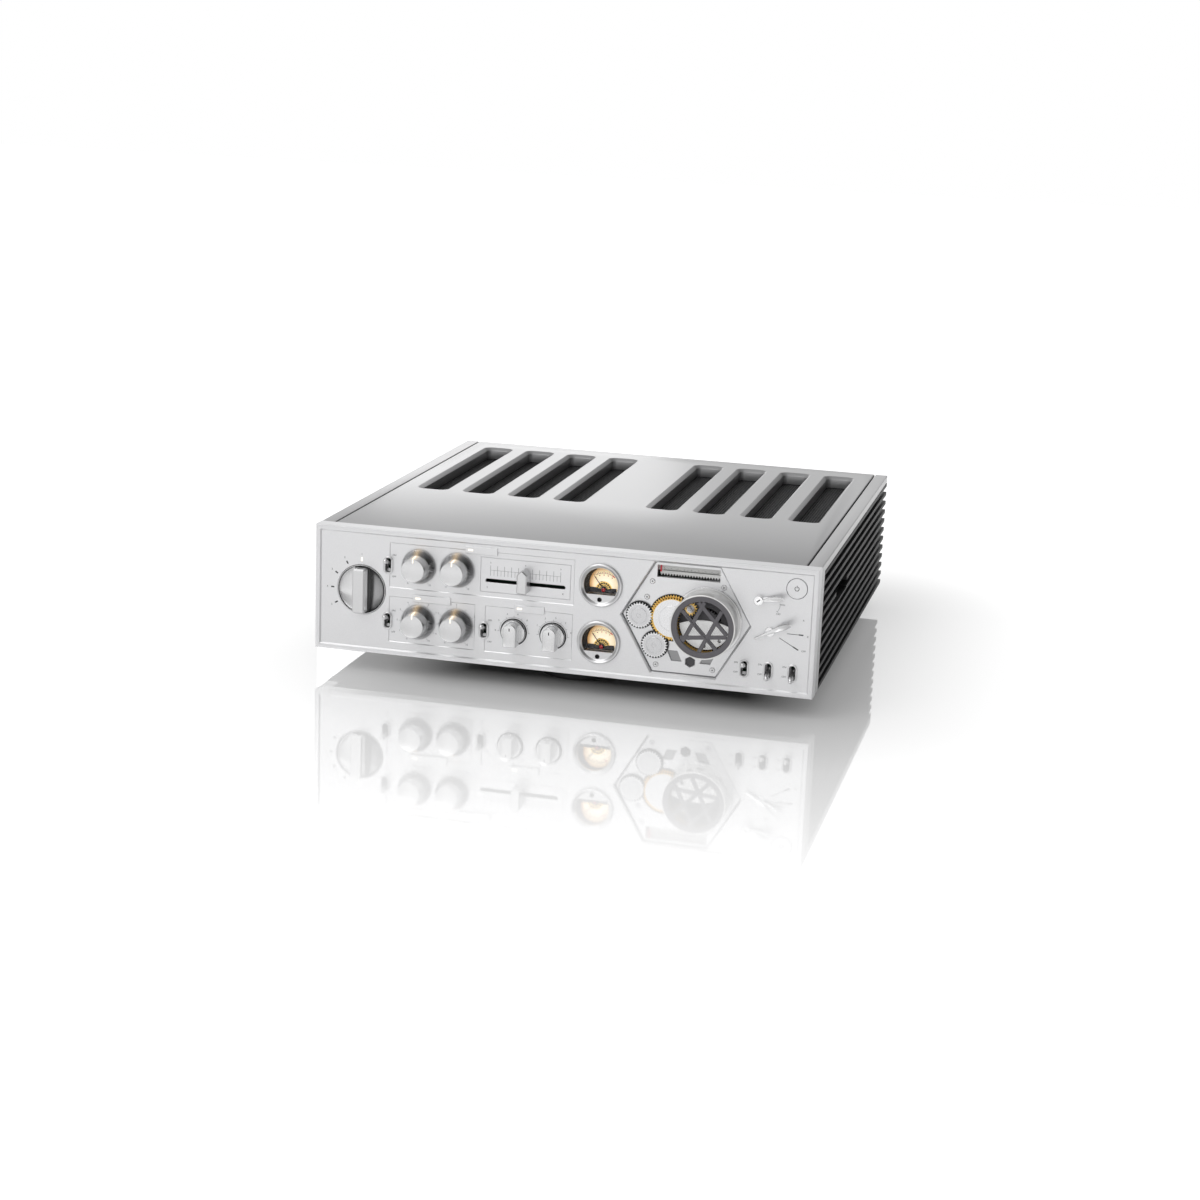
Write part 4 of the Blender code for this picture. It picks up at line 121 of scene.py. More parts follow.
def blockBetween(bm, low, high):
    low, high = Vector(low), Vector(high)
    bmesh.ops.create_cube(bm, size=1, matrix=Matrix.LocRotScale((low + high) / 2, None, high - low))


def bevelled(bm, edges, width, segments, clamp=False):
    bmesh.ops.bevel(bm, geom=edges, offset=width * mm, segments=segments, profile=0.5, affect="EDGES",
                    material=-1, clamp_overlap=clamp)


def softened(bm, width, segments=2, limit=30, verts=None):
    # Rounds the edges that are sharper than the limit
    bm.normal_update()
    chosen = set(bm.verts if verts is None else verts)
    edges = [edge for edge in bm.edges if len(edge.link_faces) == 2
             and edge.calc_face_angle() > math.radians(limit) and chosen.issuperset(edge.verts)]
    bevelled(bm, edges, width, segments, clamp=True)


def cleaned(bm):
    bmesh.ops.remove_doubles(bm, verts=bm.verts, dist=1e-6)
    bmesh.ops.recalc_face_normals(bm, faces=bm.faces)


def drawnOut(bm, reach):
    # Flat faces become a solid
    grown = bmesh.ops.extrude_face_region(bm, geom=list(bm.faces))["geom"]
    bmesh.ops.translate(bm, vec=reach, verts=[item for item in grown if isinstance(item, bmesh.types.BMVert)])
    cleaned(bm)


def closedUp(bm, sides=0):
    bmesh.ops.holes_fill(bm, edges=[edge for edge in bm.edges if edge.is_boundary], sides=sides)


def meshOf(bm, name):
    mesh = bpy.data.meshes.new(name)
    bm.to_mesh(mesh)
    bm.free()
    return mesh


def linked(name, data):
    obj = bpy.data.objects.new(name, data)
    bpy.context.scene.collection.objects.link(obj)
    return obj


def joined(bm, part, matrix):
    bmesh.ops.transform(part, matrix=matrix, verts=part.verts)
    mesh = meshOf(part, "part")
    bm.from_mesh(mesh)
    bpy.data.meshes.remove(mesh)


def carved(bm, tool, operation="DIFFERENCE"):
    cleaned(bm)
    cleaned(tool)
    shape, cutter = linked("shape", meshOf(bm, "shape")), linked("cutter", meshOf(tool, "cutter"))
    modifier = shape.modifiers.new("carve", "BOOLEAN")
    modifier.operation = operation
    modifier.solver = "EXACT"
    modifier.object = cutter
    evaluated = shape.evaluated_get(bpy.context.evaluated_depsgraph_get())
    result = bmesh.new()
    result.from_mesh(evaluated.to_mesh())
    evaluated.to_mesh_clear()
    for obj in (shape, cutter):
        bpy.data.objects.remove(obj)
    return result


def addPiece(name, bm, look, body="chassis", stands=(), crease=20, merge=True):
    if merge:
        cleaned(bm)
    mesh = meshOf(bm, name)
    for each in [look] if isinstance(look, str) else look:
        mesh.materials.append(looks[each])
    mesh.shade_smooth()
    mesh.set_sharp_from_angle(angle=math.radians(crease))
    obj = linked(name, mesh)
    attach(obj, body)
    if stands:
        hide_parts(*stands)
    return obj


def letters(bm, words, centre, height, proud=0.04, back=False):
    # Plain characters as flat shapes, centred on a point and facing the front or the back
    curve = bpy.data.curves.new("letters", "FONT")
    curve.body = words
    curve.size = height * mm / 0.7
    curve.align_x = "CENTER"
    curve.align_y = "CENTER"
    curve.extrude = proud * mm / 2
    curve.resolution_u = 2
    obj = linked("letters", curve)
    mesh = bpy.data.meshes.new_from_object(obj.evaluated_get(bpy.context.evaluated_depsgraph_get()))
    mesh.transform(Matrix.Translation(centre) @ tilted(180 if back else 0, "Z") @ tilted(90, "X"))
    bm.from_mesh(mesh)
    bpy.data.objects.remove(obj)
    bpy.data.meshes.remove(mesh)


def addNode(tree, kind, inputs=None, **settings):
    # A shader node with its settings. Each input takes a value, or a link from another node's output
    node = tree.nodes.new("ShaderNode" + kind)
    for name, value in settings.items():
        setattr(node, name, value)
    for socket, value in (inputs or {}).items():
        if isinstance(value, bpy.types.NodeSocket):
            tree.links.new(value, node.inputs[socket])
        else:
            node.inputs[socket].default_value = value
    return node


def ramped(tree, value, colours):
    ramp = addNode(tree, "ValToRGB", {"Fac": value})
    steps = ramp.color_ramp.elements
    for index, (position, colour) in enumerate(colours):
        step = steps[index] if index < 2 else steps.new(position)
        step.position = position
        step.color = (*colour, 1)
    return ramp.outputs["Color"]


def newMaterial(name):
    material = bpy.data.materials.new(name)
    material.use_nodes = True
    return material, material.node_tree, material.node_tree.nodes.get("Principled BSDF")


def finish(name, colour, roughness, metallic=0.0, spread=0.04, grain=900, stretch=(1, 1, 1), bump=0.15,
           relief=0.00003, roughSpread=0.05, centre=None, rings=0, glow=None, strength=0, **sockets):
    # Fine grain in the colour, gloss and relief. With rings, turning marks about a centre
    material, tree, shader = newMaterial(name)
    shader.inputs["Metallic"].default_value = metallic
    for socket, value in sockets.items():
        shader.inputs[socket].default_value = value
    if glow:
        shader.inputs["Emission Color"].default_value = (*glow, 1)
        shader.inputs["Emission Strength"].default_value = strength
    place = addNode(tree, "TexCoord").outputs["Object"]
    mapping = addNode(tree, "Mapping", {"Vector": place, "Scale": stretch})
    noise = addNode(tree, "TexNoise", {"Vector": mapping.outputs["Vector"], "Scale": grain, "Detail": 3})
    shades = [(at, [min(1, value * share) for value in colour])
              for at, share in ((0.3, 1 - spread), (0.7, 1 + spread))]
    gloss = addNode(tree, "MapRange", {"Value": noise.outputs["Fac"], "To Max": roughness + roughSpread,
                                       "To Min": max(0.02, roughness - roughSpread)})
    height = noise.outputs["Fac"]
    if rings:
        around = addNode(tree, "Mapping", {"Vector": place, "Location": -centre})
        wave = addNode(tree, "TexWave", {"Vector": around.outputs["Vector"], "Scale": rings,
                                         "Distortion": 0.4}, wave_type="RINGS", rings_direction="Y")
        height = wave.outputs["Fac"]
    relieved = addNode(tree, "Bump", {"Height": height, "Strength": bump, "Distance": relief})
    tree.links.new(ramped(tree, noise.outputs["Fac"], shades), shader.inputs["Base Color"])
    tree.links.new(gloss.outputs["Result"], shader.inputs["Roughness"])
    tree.links.new(relieved.outputs["Normal"], shader.inputs["Normal"])
    return material


finishes = {
    "panelSilver": dict(colour=(0.79, 0.79, 0.80), roughness=0.40, metallic=0.7, grain=2600, bump=0.12),
    "frameSilver": dict(colour=(0.52, 0.52, 0.525), roughness=0.36, metallic=0.8, grain=2600, bump=0.1),
    "coverSilver": dict(colour=(0.39, 0.39, 0.395), roughness=0.30, metallic=0.9, grain=2600, spread=0.05,
                        bump=0.05),
    "plateSilver": dict(colour=(0.76, 0.76, 0.77), roughness=0.38, metallic=0.85, grain=2400, bump=0.2),
    "wheelSilver": dict(colour=(0.73, 0.725, 0.715), roughness=0.3, metallic=0.85, grain=2600, bump=0.02),
    "grilleGrey": dict(colour=(0.135, 0.13, 0.14), roughness=0.42, metallic=0.6, grain=2200, bump=0.15),
    "bezelSilver": dict(colour=(0.66, 0.66, 0.665), roughness=0.32, metallic=0.9, grain=2200, bump=0.08),
    # The bridge glows faintly: painted light that brightens it inside the wheel's shade
    "bridgeWhite": dict(colour=(0.90, 0.90, 0.89), roughness=0.4, metallic=0.2, grain=1800, bump=0.05,
                        glow=(1, 1, 1), strength=0.25),
    "turnedSilver": dict(colour=(0.70, 0.70, 0.705), roughness=0.22, metallic=1.0, grain=2000, bump=0.1),
    "chrome": dict(colour=(0.90, 0.90, 0.905), roughness=0.10, metallic=1.0, grain=1500, bump=0.04,
                   roughSpread=0.03),
    "gearSilver": dict(colour=(0.86, 0.86, 0.87), roughness=0.3, metallic=1.0, grain=2400, bump=0.15),
    "brass": dict(colour=(0.80, 0.52, 0.16), roughness=0.28, metallic=1.0, grain=2000, spread=0.08,
                  bump=0.15),
    "darkSteel": dict(colour=(0.085, 0.083, 0.088), roughness=0.42, metallic=0.55, grain=2200, bump=0.15),
    "blackMetal": dict(colour=(0.010, 0.010, 0.011), roughness=0.5, grain=1800, spread=0.2, bump=0.2,
                       **{"Specular IOR Level": 0.3}),
    "wellGrey": dict(colour=(0.30, 0.30, 0.305), roughness=0.3, metallic=0.9, grain=1800, bump=0.1),
    "meshBlack": dict(colour=(0.012, 0.012, 0.013), roughness=0.6, grain=1800, spread=0.2, bump=0.2),
    "insulatorRed": dict(colour=(0.45, 0.02, 0.02), roughness=0.4, grain=900, spread=0.1, bump=0.1),
    "blackPlastic": dict(colour=(0.015, 0.015, 0.016), roughness=0.5, grain=1400, spread=0.2, bump=0.2),
    "blackInk": dict(colour=(0.02, 0.02, 0.022), roughness=0.6, grain=1500, spread=0.2, bump=0.05),
    "greyInk": dict(colour=(0.33, 0.33, 0.34), roughness=0.6, grain=1500, spread=0.1, bump=0.05),
    "whiteEnamel": dict(colour=(0.86, 0.86, 0.84), roughness=0.4, grain=1200, spread=0.03, bump=0.05),
    "warmLamp": dict(colour=(1.0, 0.93, 0.80), roughness=0.4, grain=600, spread=0.03, bump=0.02,
                     glow=(1.0, 0.90, 0.72), strength=1.0),
    "redPaint": dict(colour=(0.62, 0.03, 0.05), roughness=0.35, grain=1200, spread=0.08, bump=0.05,
                     glow=(0.8, 0.03, 0.05), strength=0.12),
    "redJewel": dict(colour=(0.30, 0.008, 0.012), roughness=0.12, grain=900, spread=0.2, bump=0.02),
    "boardGreen": dict(colour=(0.02, 0.10, 0.045), roughness=0.45, grain=260, spread=0.3, bump=0.3),
    "copperWinding": dict(colour=(0.42, 0.17, 0.07), roughness=0.35, metallic=0.7, grain=700,
                          stretch=(1, 1, 0.04), spread=0.25, bump=0.6, relief=0.0002),
    "zincSteel": dict(colour=(0.50, 0.51, 0.52), roughness=0.38, metallic=0.9, grain=120, spread=0.12,
                      bump=0.05),
    "gold": dict(colour=(0.95, 0.66, 0.22), roughness=0.22, metallic=1.0, grain=1500, spread=0.05, bump=0.05),
    "clearGlass": dict(colour=(1, 1, 1), roughness=0.03, grain=300, spread=0.0, bump=0.0, roughSpread=0.01,
                       IOR=1.1, **{"Transmission Weight": 1.0}),
}
looks = {name: finish(name, **values) for name, values in finishes.items()}
print("finishes made")

# The front panel, with its sunk field, sections and openings. Areas are left, right, top and bottom
panel = dict(thickness=14, chamfer=0.8, border=3.0, fieldDepth=1.2, faceBack=7.2, rearWall=3.5,
             sectionDepth=0.5, sectionSlope=0.6, grooveWidth=1.0, grooveDepth=0.5, holeChamfer=0.35,
             hexagonChamfer=1.2, hexagonRadius=53.99, selectorHole=21.5, meterHole=17.1, knobHole=3.4,
             leverHole=2.2, buttonHole=8.65, slotHalf=1.5, slotReach=32.85,
             sections=((65.6, 226.8, 10.2, 49.2), (65.6, 141.8, 56.6, 96.6), (150.4, 226.4, 56.6, 96.6)),
             balanceFrame=(145.7, 223.3, 15.4, 44.8))
field = panel["fieldDepth"]
seat = field - 0.3  # Where the rear faces of knobs and levers meet the panel
shaftEnd = 15.7
sectionFloor = field + panel["sectionDepth"]
hexagonCentre = spot(321.5, 52.36)
selectorCentre = pivots["selector_knob"]
knobNames = ("bass_knob", "treble_knob", "frequency_knob", "gain_knob")
equalizerNames = ("turnover_knob", "rolloff_knob")
toggleNames = ("tone_toggle", "filter_toggle", "phono_toggle", "dimmer_toggle", "subsonic_toggle",
               "attenuator_toggle")
meterCentres = {"left_meter": spot(249.3, 29.6), "right_meter": spot(249.3, 78.3)}
buttonCentre = spot(412.1, 16.8)
balanceCentre = spot(184.5, 35.0)
toggle = dict(slotWidth=5.2, slotLength=12.4, rimWidth=1.6, rimRise=1.0, wellDepth=6.8, wellFloor=7.1,
              ball=2.4, neck=1.15, tip=2.1, length=18.0, tilt=17, tongue=(4.0, 0.4, 2.6), tongueDepth=4.4,
              tongueDrop=4.5, tongueLean=-24)


def squareLathe(bm, area, profile, inset, closed=False):
    # Four steps of a lathe give mitred corners, and the stretch gives the sides their length
    left, right, top, bottom = area
    lathe(bm, profile, spot((left + right) / 2, (top + bottom) / 2), steps=4, turn=45, closed=closed,
          stretch=((right - left) / 2 - inset, (bottom - top) / 2 - inset))


def sunkArea(bm, area):
    depth, slope, root = panel["sectionDepth"], panel["sectionSlope"], math.sqrt(2)
    profile = [(0, field - depth), (2 + root * 2 * slope, field - depth), (2, field + depth),
               (0, field + depth)]
    squareLathe(bm, area, profile, slope + 2 / root)


def grooveFrame(bm, area):
    depth, root = panel["grooveDepth"], math.sqrt(2)
    wide = root * panel["grooveWidth"] / 2
    profile = [(2 + wide, sectionFloor - depth), (2, sectionFloor + depth), (2 - wide, sectionFloor - depth)]
    squareLathe(bm, area, profile, 2 / root, closed=True)


def opening(bm, centre, radius, rear, surface=field, chamfer=panel["holeChamfer"], steps=48, **shape):
    profile = [(0, surface - 1), (radius + chamfer + 1, surface - 1), (radius, surface + chamfer),
               (radius, rear), (0, rear)]
    lathe(bm, profile, centre, steps=steps, **shape)


def makePanel():
    bm = bmesh.new()
    blockBetween(bm, panelLow, panelHigh)
    front = [edge for edge in bm.edges if all(abs(vert.co.y - panelLow.y) < 1e-6 for vert in edge.verts)]
    bevelled(bm, front, panel["chamfer"], 3)
    face = min(bm.faces, key=lambda item: item.calc_center_median().y)
    bmesh.ops.inset_region(bm, faces=[face], thickness=panel["border"] * mm, use_even_offset=True)
    bmesh.ops.inset_region(bm, faces=[face], thickness=field * mm, depth=-field * mm, use_even_offset=True)
    rear = max(bm.faces, key=lambda item: item.calc_center_median().y)
    bmesh.ops.inset_region(bm, faces=[rear], thickness=panel["rearWall"] * mm, use_even_offset=True)
    deep = panel["thickness"] - panel["faceBack"]
    bmesh.ops.inset_region(bm, faces=[rear], thickness=0, depth=-deep * mm)

    cuts = bmesh.new()
    for section in panel["sections"]:
        sunkArea(cuts, section)
    bm = carved(bm, cuts)
    cuts = bmesh.new()
    grooveFrame(cuts, panel["balanceFrame"])
    bm = carved(bm, cuts)

    cuts = bmesh.new()
    past = panel["faceBack"] + 1
    opening(cuts, hexagonCentre, panel["hexagonRadius"], panel["thickness"] + 1, steps=6,
            chamfer=panel["hexagonChamfer"])
    opening(cuts, selectorCentre, panel["selectorHole"], past, steps=96)
    for centre in meterCentres.values():
        opening(cuts, centre, panel["meterHole"], past)
    for name in knobNames + equalizerNames:
        opening(cuts, pivots[name], panel["knobHole"], past, surface=sectionFloor, steps=16, chamfer=0.1)
    for name in ("direct_lever", "speaker_lever"):
        opening(cuts, pivots[name], panel["leverHole"], past, steps=16, chamfer=0.1)
    radius = toggle["slotWidth"] / 2
    for name in toggleNames:
        opening(cuts, pivots[name], radius, past, steps=32, turn=5.625,
                stretch=(0, toggle["slotLength"] / 2 - radius))
    opening(cuts, buttonCentre, panel["buttonHole"], past, steps=64, chamfer=0.3)
    opening(cuts, balanceCentre, panel["slotHalf"], past, surface=sectionFloor, steps=32, turn=5.625,
            stretch=(panel["slotReach"], 0), chamfer=0.4)
    addPiece("frontPanel", carved(bm, cuts), "panelSilver", stands=["front_panel"])


makePanel()

# Bare raised tabs on the section frames, each with a small lamp
tabs = dict(rise=1.0, bevel=0.3, lamp=(4.2, 0.16, 1.5), lampInset=4.6,
            places=((132.2, 160.2, 7.0, 13.2), (87.0, 120.4, 53.2, 59.6), (176.0, 202.0, 53.2, 59.6)))


def makeTabs():
    bm, lamps = bmesh.new(), bmesh.new()
    front = field - tabs["rise"]
    for left, right, top, bottom in tabs["places"]:
        blockBetween(bm, spot(left, bottom, front), spot(right, top, sectionFloor + 0.3))
        block(lamps, spot(left + tabs["lampInset"], (top + bottom) / 2, front), tabs["lamp"])
    softened(bm, tabs["bevel"], 1)
    softened(lamps, 0.06, 1)
    addPiece("sectionTabs", bm, "panelSilver")
    addPiece("tabLamps", lamps, "warmLamp")


makeTabs()


# Painted marks, a hair proud of the surface that carries them
def mark(bm, centre, width, height, turn=0, proud=0.05):
    block(bm, shifted(centre, 0, -proud / 2), (width, proud, height), tilted(-turn))


def ringMark(bm, centre, radius, width, depth, start=0, arc=360, steps=64, proud=0.05):
    low, high = radius - width / 2, radius + width / 2
    profile = [(low, depth), (low, depth - proud), (high, depth - proud), (high, depth)]
    lathe(bm, profile, centre, steps=steps, turn=start, closed=True, arc=arc)
    if arc != 360:
        closedUp(bm, 8)


# Rings and ticks have a radius and then a width, or a length and a width
marks = dict(selectorRadius=25.9, selectorTurns=(120, 150, 180, 210), selectorTick=(2.8, 1.2),
             selectorLamp=(1.3, 3.2), equalizerGapShade=(11.1, 1.1), equalizerLine=(12.6, 0.3),
             equalizerTicks=(13.4, 1.4, 0.3), knobTicks=(16.4, 1.2, 0.3), thin=0.35,
             speakerLines=((412.8, 54.9, 13.5, 0), (408.0, 63.4, 18.2, -28.6)), speakerLine=0.45,
             balanceTicks=11, balancePitch=6.05, balanceTop=22.0, balanceBottom=30.7, balanceLine=25.9,
             balanceLow=30.5, balanceMiddle=184.5, balanceWidth=60.5,
             powerArc=(385.8, 30.0), powerRadius=13.6, powerTurns=(-33, -3))
knobTurns = {"frequency_knob": range(-60, 241, 30), "gain_knob": range(-60, 241, 30), "bass_knob": (-60, 240),
             "treble_knob": (-60, 240)}


def makeMarks():
    ink = bmesh.new()
    for degrees in marks["selectorTurns"]:
        place = polar(selectorCentre, marks["selectorRadius"], degrees, field)
        mark(ink, place, *marks["selectorTick"], degrees)
    # A black ring round each equalizer knob: painted shade of the gap between knob and panel
    for name in equalizerNames:
        ringMark(ink, pivots[name], *marks["equalizerGapShade"], sectionFloor)
    # Lines that the speaker lever points to, thicker near one end
    for across, down, length, degrees in marks["speakerLines"]:
        place = spot(across, down, field)
        mark(ink, place, length, marks["speakerLine"], degrees)
        mark(ink, polar(place, length * 0.36, degrees), length * 0.28, 1.0, degrees, proud=0.06)
    addPiece("blackMarks", ink, "blackInk")

    thin = bmesh.new()
    top, bottom = marks["balanceTop"], marks["balanceBottom"]
    line, low = marks["balanceLine"], marks["balanceLow"]
    pitch = marks["balancePitch"]
    for index in range(marks["balanceTicks"]):
        across = marks["balanceMiddle"] + (index - (marks["balanceTicks"] - 1) / 2) * pitch
        mark(thin, spot(across, (top + bottom) / 2, sectionFloor), marks["thin"], bottom - top)
        if index:
            mark(thin, spot(across - pitch / 2, (line + low) / 2, sectionFloor), 0.28, low - line)
    mark(thin, spot(marks["balanceMiddle"], line, sectionFloor), marks["balanceWidth"], 0.25, proud=0.04)
    radius, *tick = marks["equalizerTicks"]
    for name in equalizerNames:
        ringMark(thin, pivots[name], *marks["equalizerLine"], sectionFloor, start=-2, arc=184)
        for degrees in range(0, 181, 30):
            mark(thin, polar(pivots[name], radius, degrees, sectionFloor), *tick, degrees)
    radius, *tick = marks["knobTicks"]
    for name, turns in knobTurns.items():
        for degrees in turns:
            mark(thin, polar(pivots[name], radius, degrees, sectionFloor), *tick, degrees)
    centre, radius, (start, end) = spot(*marks["powerArc"]), marks["powerRadius"], marks["powerTurns"]
    ringMark(thin, centre, radius, marks["thin"], field, start=start, arc=end - start, steps=16)
    for degrees in (start, end):
        mark(thin, polar(centre, radius, degrees, field), 2.0, marks["thin"], degrees)
    addPiece("greyMarks", thin, "greyInk")

    lit = bmesh.new()
    place = polar(selectorCentre, marks["selectorRadius"] + 0.4, 90, field)
    mark(lit, place, *marks["selectorLamp"], proud=0.15)
    addPiece("selectorLamp", lit, "warmLamp")


makeMarks()

# Numbers around the knobs have a radius, a height, a first angle and a step
numbers = dict(selector=(30.6, 1.7, 90, 30), ends=(18.2, 1.5, 238, 64), knob=(18.4, 1.45, 238, -29.6),
               equalizer=(15.9, 1.5, -34))
knobNumbers = {"frequency_knob": range(1, 10), "gain_knob": (3, 5, 7)}
equalizerNumbers = {"turnover_knob": (180, "02468"), "rolloff_knob": (150, "13579")}
# ON and OFF by the toggles: how far to the right, how deep and how high above the pivot
toggleWords = ((toggleNames[:3], 5.2, sectionFloor, (9.0, -9.6)), (toggleNames[3:], -6.8, field, (4.6, -3.6)))
# The other characters: across, down, depth and height
panelWords = (("L", 151.8, 40.6, sectionFloor, 1.4), ("R", 217.2, 40.6, sectionFloor, 1.4),
              ("5", 154.3, 19.6, sectionFloor, 1.3), ("5", 214.7, 19.6, sectionFloor, 1.3),
              ("0", 184.5, 19.6, sectionFloor, 1.3), ("ON", 401.5, 31.3, field, 1.5),
              ("OFF", 398.0, 39.4, field, 1.5), ("A", 419.0, 42.6, field, 1.5),
              ("B", 423.2, 56.0, field, 1.5), ("OFF", 420.5, 68.4, field, 1.5))


def makeLettering():
    bm = bmesh.new()
    radius, height, start, step = numbers["selector"]
    for index in range(5):
        letters(bm, str(index + 1), polar(selectorCentre, radius, start + index * step, field), height)
    for names, right, depth, rises in toggleWords:
        for name in names:
            for words, rise in zip(("ON", "OFF"), rises):
                letters(bm, words, shifted(atDepth(pivots[name], depth), right, 0, rise), 1.5)
    radius, height, start, step = numbers["ends"]
    for name in knobNames:
        for index, words in enumerate(("0", "10")):
            letters(bm, words, polar(pivots[name], radius, start + index * step, sectionFloor), height)
    radius, height, start, step = numbers["knob"]
    for name, values in knobNumbers.items():
        for index in values:
            letters(bm, str(index), polar(pivots[name], radius, start + index * step, sectionFloor), height)
    radius, height, step = numbers["equalizer"]
    for name, (start, values) in equalizerNumbers.items():
        for index, words in enumerate(values):
            letters(bm, words, polar(pivots[name], radius, start + index * step, sectionFloor), height)
    for words, across, down, depth, height in panelWords:
        letters(bm, words, spot(across, down, depth), height)
    addPiece("panelNumbers", bm, "blackInk", merge=False)


makeLettering()
print("panel made")


selector = dict(radius=21.2, rim=0.45, rear=9.5, dish=5.8, dishSteps=14, shaft=3.0, barWidth=11,
                barLength=38.5, reach=7.8, bevel=1.2, shadowBlockFront=1.2)


def makeSelector():
    radius, shaft, steps = selector["radius"], selector["shaft"], selector["dishSteps"]
    profile = [(0, shaftEnd), (shaft, shaftEnd), (shaft, selector["rear"]), (radius, selector["rear"]),
               (radius, seat + 0.15), (radius - 0.15, seat)]
    dish = radius - selector["rim"]
    for step in range(steps, -1, -1):
        turn = math.pi / 2 * step / steps
        profile.append((dish * math.sin(turn), seat + selector["dish"] * math.cos(turn)))
    bm = turned(profile, selectorCentre, steps=128)
    addPiece("selectorDish", bm, "turnedSilver", "selector_knob", ["selector_knob"])
    bm = bmesh.new()
    rear = seat + selector["dish"] + 1
    block(bm, atDepth(selectorCentre, (rear - selector["reach"]) / 2),
          (selector["barWidth"], rear + selector["reach"], selector["barLength"]))
    softened(bm, selector["bevel"], 1)
    addPiece("selectorBar", bm, "bezelSilver", "selector_knob", ["selector_knob"])
    # A black block round the bar's foot: painted shade where the bar meets the dish
    bm = bmesh.new()
    front = selector["shadowBlockFront"]
    block(bm, atDepth(selectorCentre, (rear + front) / 2),
          (selector["barWidth"] + 1.0, rear - front, selector["barLength"] + 1.2))
    addPiece("selectorBarShadowBlock", bm, "blackPlastic", "selector_knob", ())


makeSelector()


knob = dict(skirt=15.0, skirtEdge=1.8, skirtHeight=7.8, capBase=10.6, capFront=9.9, height=16.5, bevel=0.5,
            ridges=60, grooveDepth=0.8, shaft=3.0)


def knobFinish():
    # Silver with a painted amber glow, the pointer lamp's light spilling over the cap and skirt, where the
    # piece's glow attribute says so
    material = finish("knobSilver", (0.66, 0.66, 0.665), 0.25, 1.0, grain=2200, bump=0.1, strength=0.6,
                      glow=(0, 0, 0))
    tree = material.node_tree
    glow = addNode(tree, "Attribute", attribute_name="glow").outputs["Fac"]
    paintedLampSpill = ramped(tree, glow, ((0, (0, 0, 0)), (1, (1.0, 0.68, 0.30))))
    tree.links.new(paintedLampSpill, tree.nodes["Principled BSDF"].inputs["Emission Color"])
    return material


looks["knobSilver"] = knobFinish()


def makeKnob(name):
    centre = pivots[name]
    front = field - knob["height"]
    shoulder = seat - knob["skirtHeight"]
    bm = bmesh.new()
    profile = [(0, front), (knob["capFront"] - knob["bevel"], front)]
    for turn in (30, 60, 90):
        angle = math.radians(turn)
        profile.append((knob["capFront"] - knob["bevel"] * (1 - math.sin(angle)),
                        front + knob["bevel"] * (1 - math.cos(angle))))
    for share in (0.34, 0.67, 1):
        radius = knob["capFront"] + (knob["capBase"] - knob["capFront"]) * share
        profile.append((radius, front + knob["bevel"] + (shoulder - front - knob["bevel"]) * share))
    profile += [(knob["capBase"] + 0.2, shoulder + 0.6), (knob["capBase"] + 0.2, seat - 1), (0, seat - 1)]
    lathe(bm, profile, centre, steps=120)
    cleaned(bm)
    # Painted lamp light: the cap's side glows amber near 12 o'clock, below the pointer lamp
    glow = bm.verts.layers.float.new("glow")
    for vert in bm.verts:
        off = Vector((vert.co.x - centre.x, vert.co.z - centre.z)) / mm
        near = max(0, 1 - abs(math.degrees(math.atan2(off.y, off.x)) - 90) / 30)
        if off.length > 8 and vert.co.y > panelLow.y + (front + knob["bevel"] * 0.6) * mm:
            vert[glow] = near ** 2 * 0.9
    addPiece(name + "Cap", bm, "knobSilver", name, [name])

    # The skirt's radial ridges, with grooves between them whose floors are painted black as shade
    bm = bmesh.new()
    profile = [(knob["capBase"], shoulder + 0.7), (11.4, shoulder + 0.8), (12.6, shoulder + 2.2),
               (13.9, shoulder + 4.2), (knob["skirt"] - 0.1, seat - knob["skirtEdge"]), (knob["skirt"], seat),
               (knob["shaft"], seat), (knob["shaft"], shaftEnd), (0, shaftEnd)]
    steps = 4 * knob["ridges"]
    lathe(bm, profile, centre, steps=steps)
    cleaned(bm)
    # The glow layer holds painted lamp light, amber on the skirt near 12 o'clock
    glow = bm.verts.layers.float.new("glow")

    def sector(point):
        return round(math.atan2(point.z - centre.z, point.x - centre.x) / tau * steps * 2) / 2

    for vert in bm.verts:
        off = Vector((vert.co.x - centre.x, vert.co.z - centre.z)) / mm
        if off.length > 11 and sector(vert.co) % 4 in (0, 1):
            cut = off.normalized() * knob["grooveDepth"] * mm
            vert.co.x -= cut.x
            vert.co.z -= cut.y
            vert.co.y += knob["grooveDepth"] * 0.7 * mm if vert.co.y < panelLow.y + (seat - 0.1) * mm else 0
        near = max(0, 1 - abs(math.degrees(math.atan2(off.y, off.x)) - 90) / 26)
        vert[glow] = near ** 2 * 0.5 if off.length > 9 else 0
    # Groove floors take the black finish: painted shade in the grooves
    for face in bm.faces:
        middle = face.calc_center_median()
        if math.hypot(middle.x - centre.x, middle.z - centre.z) > 11 * mm and sector(middle) % 4 == 0.5:
            face.material_index = 1
    addPiece(name + "Skirt", bm, ["knobSilver", "blackMetal"], name, [name])
    bm = bmesh.new()
    block(bm, shifted(centre, 0, front - 0.02, knob["capFront"] - 1.9), (0.9, 0.16, 2.9))
    line = block(bm, shifted(centre, 0, front + 3.6, knob["capFront"] + 0.12), (0.8, 7.4, 0.2))
    bmesh.ops.rotate(bm, cent=shifted(centre, 0, front, knob["capFront"]),
                     matrix=Matrix.Rotation(math.radians(5), 3, "X"), verts=line)
    softened(bm, 0.05, 1)
    addPiece(name + "Line", bm, "warmLamp", name, ())


for knobName in knobNames:
    makeKnob(knobName)


equalizer = dict(disc=10.3, discHeight=2.2, barWidth=11.2, barLength=19.6, height=13.5, bevel=0.8, shaft=3.0)


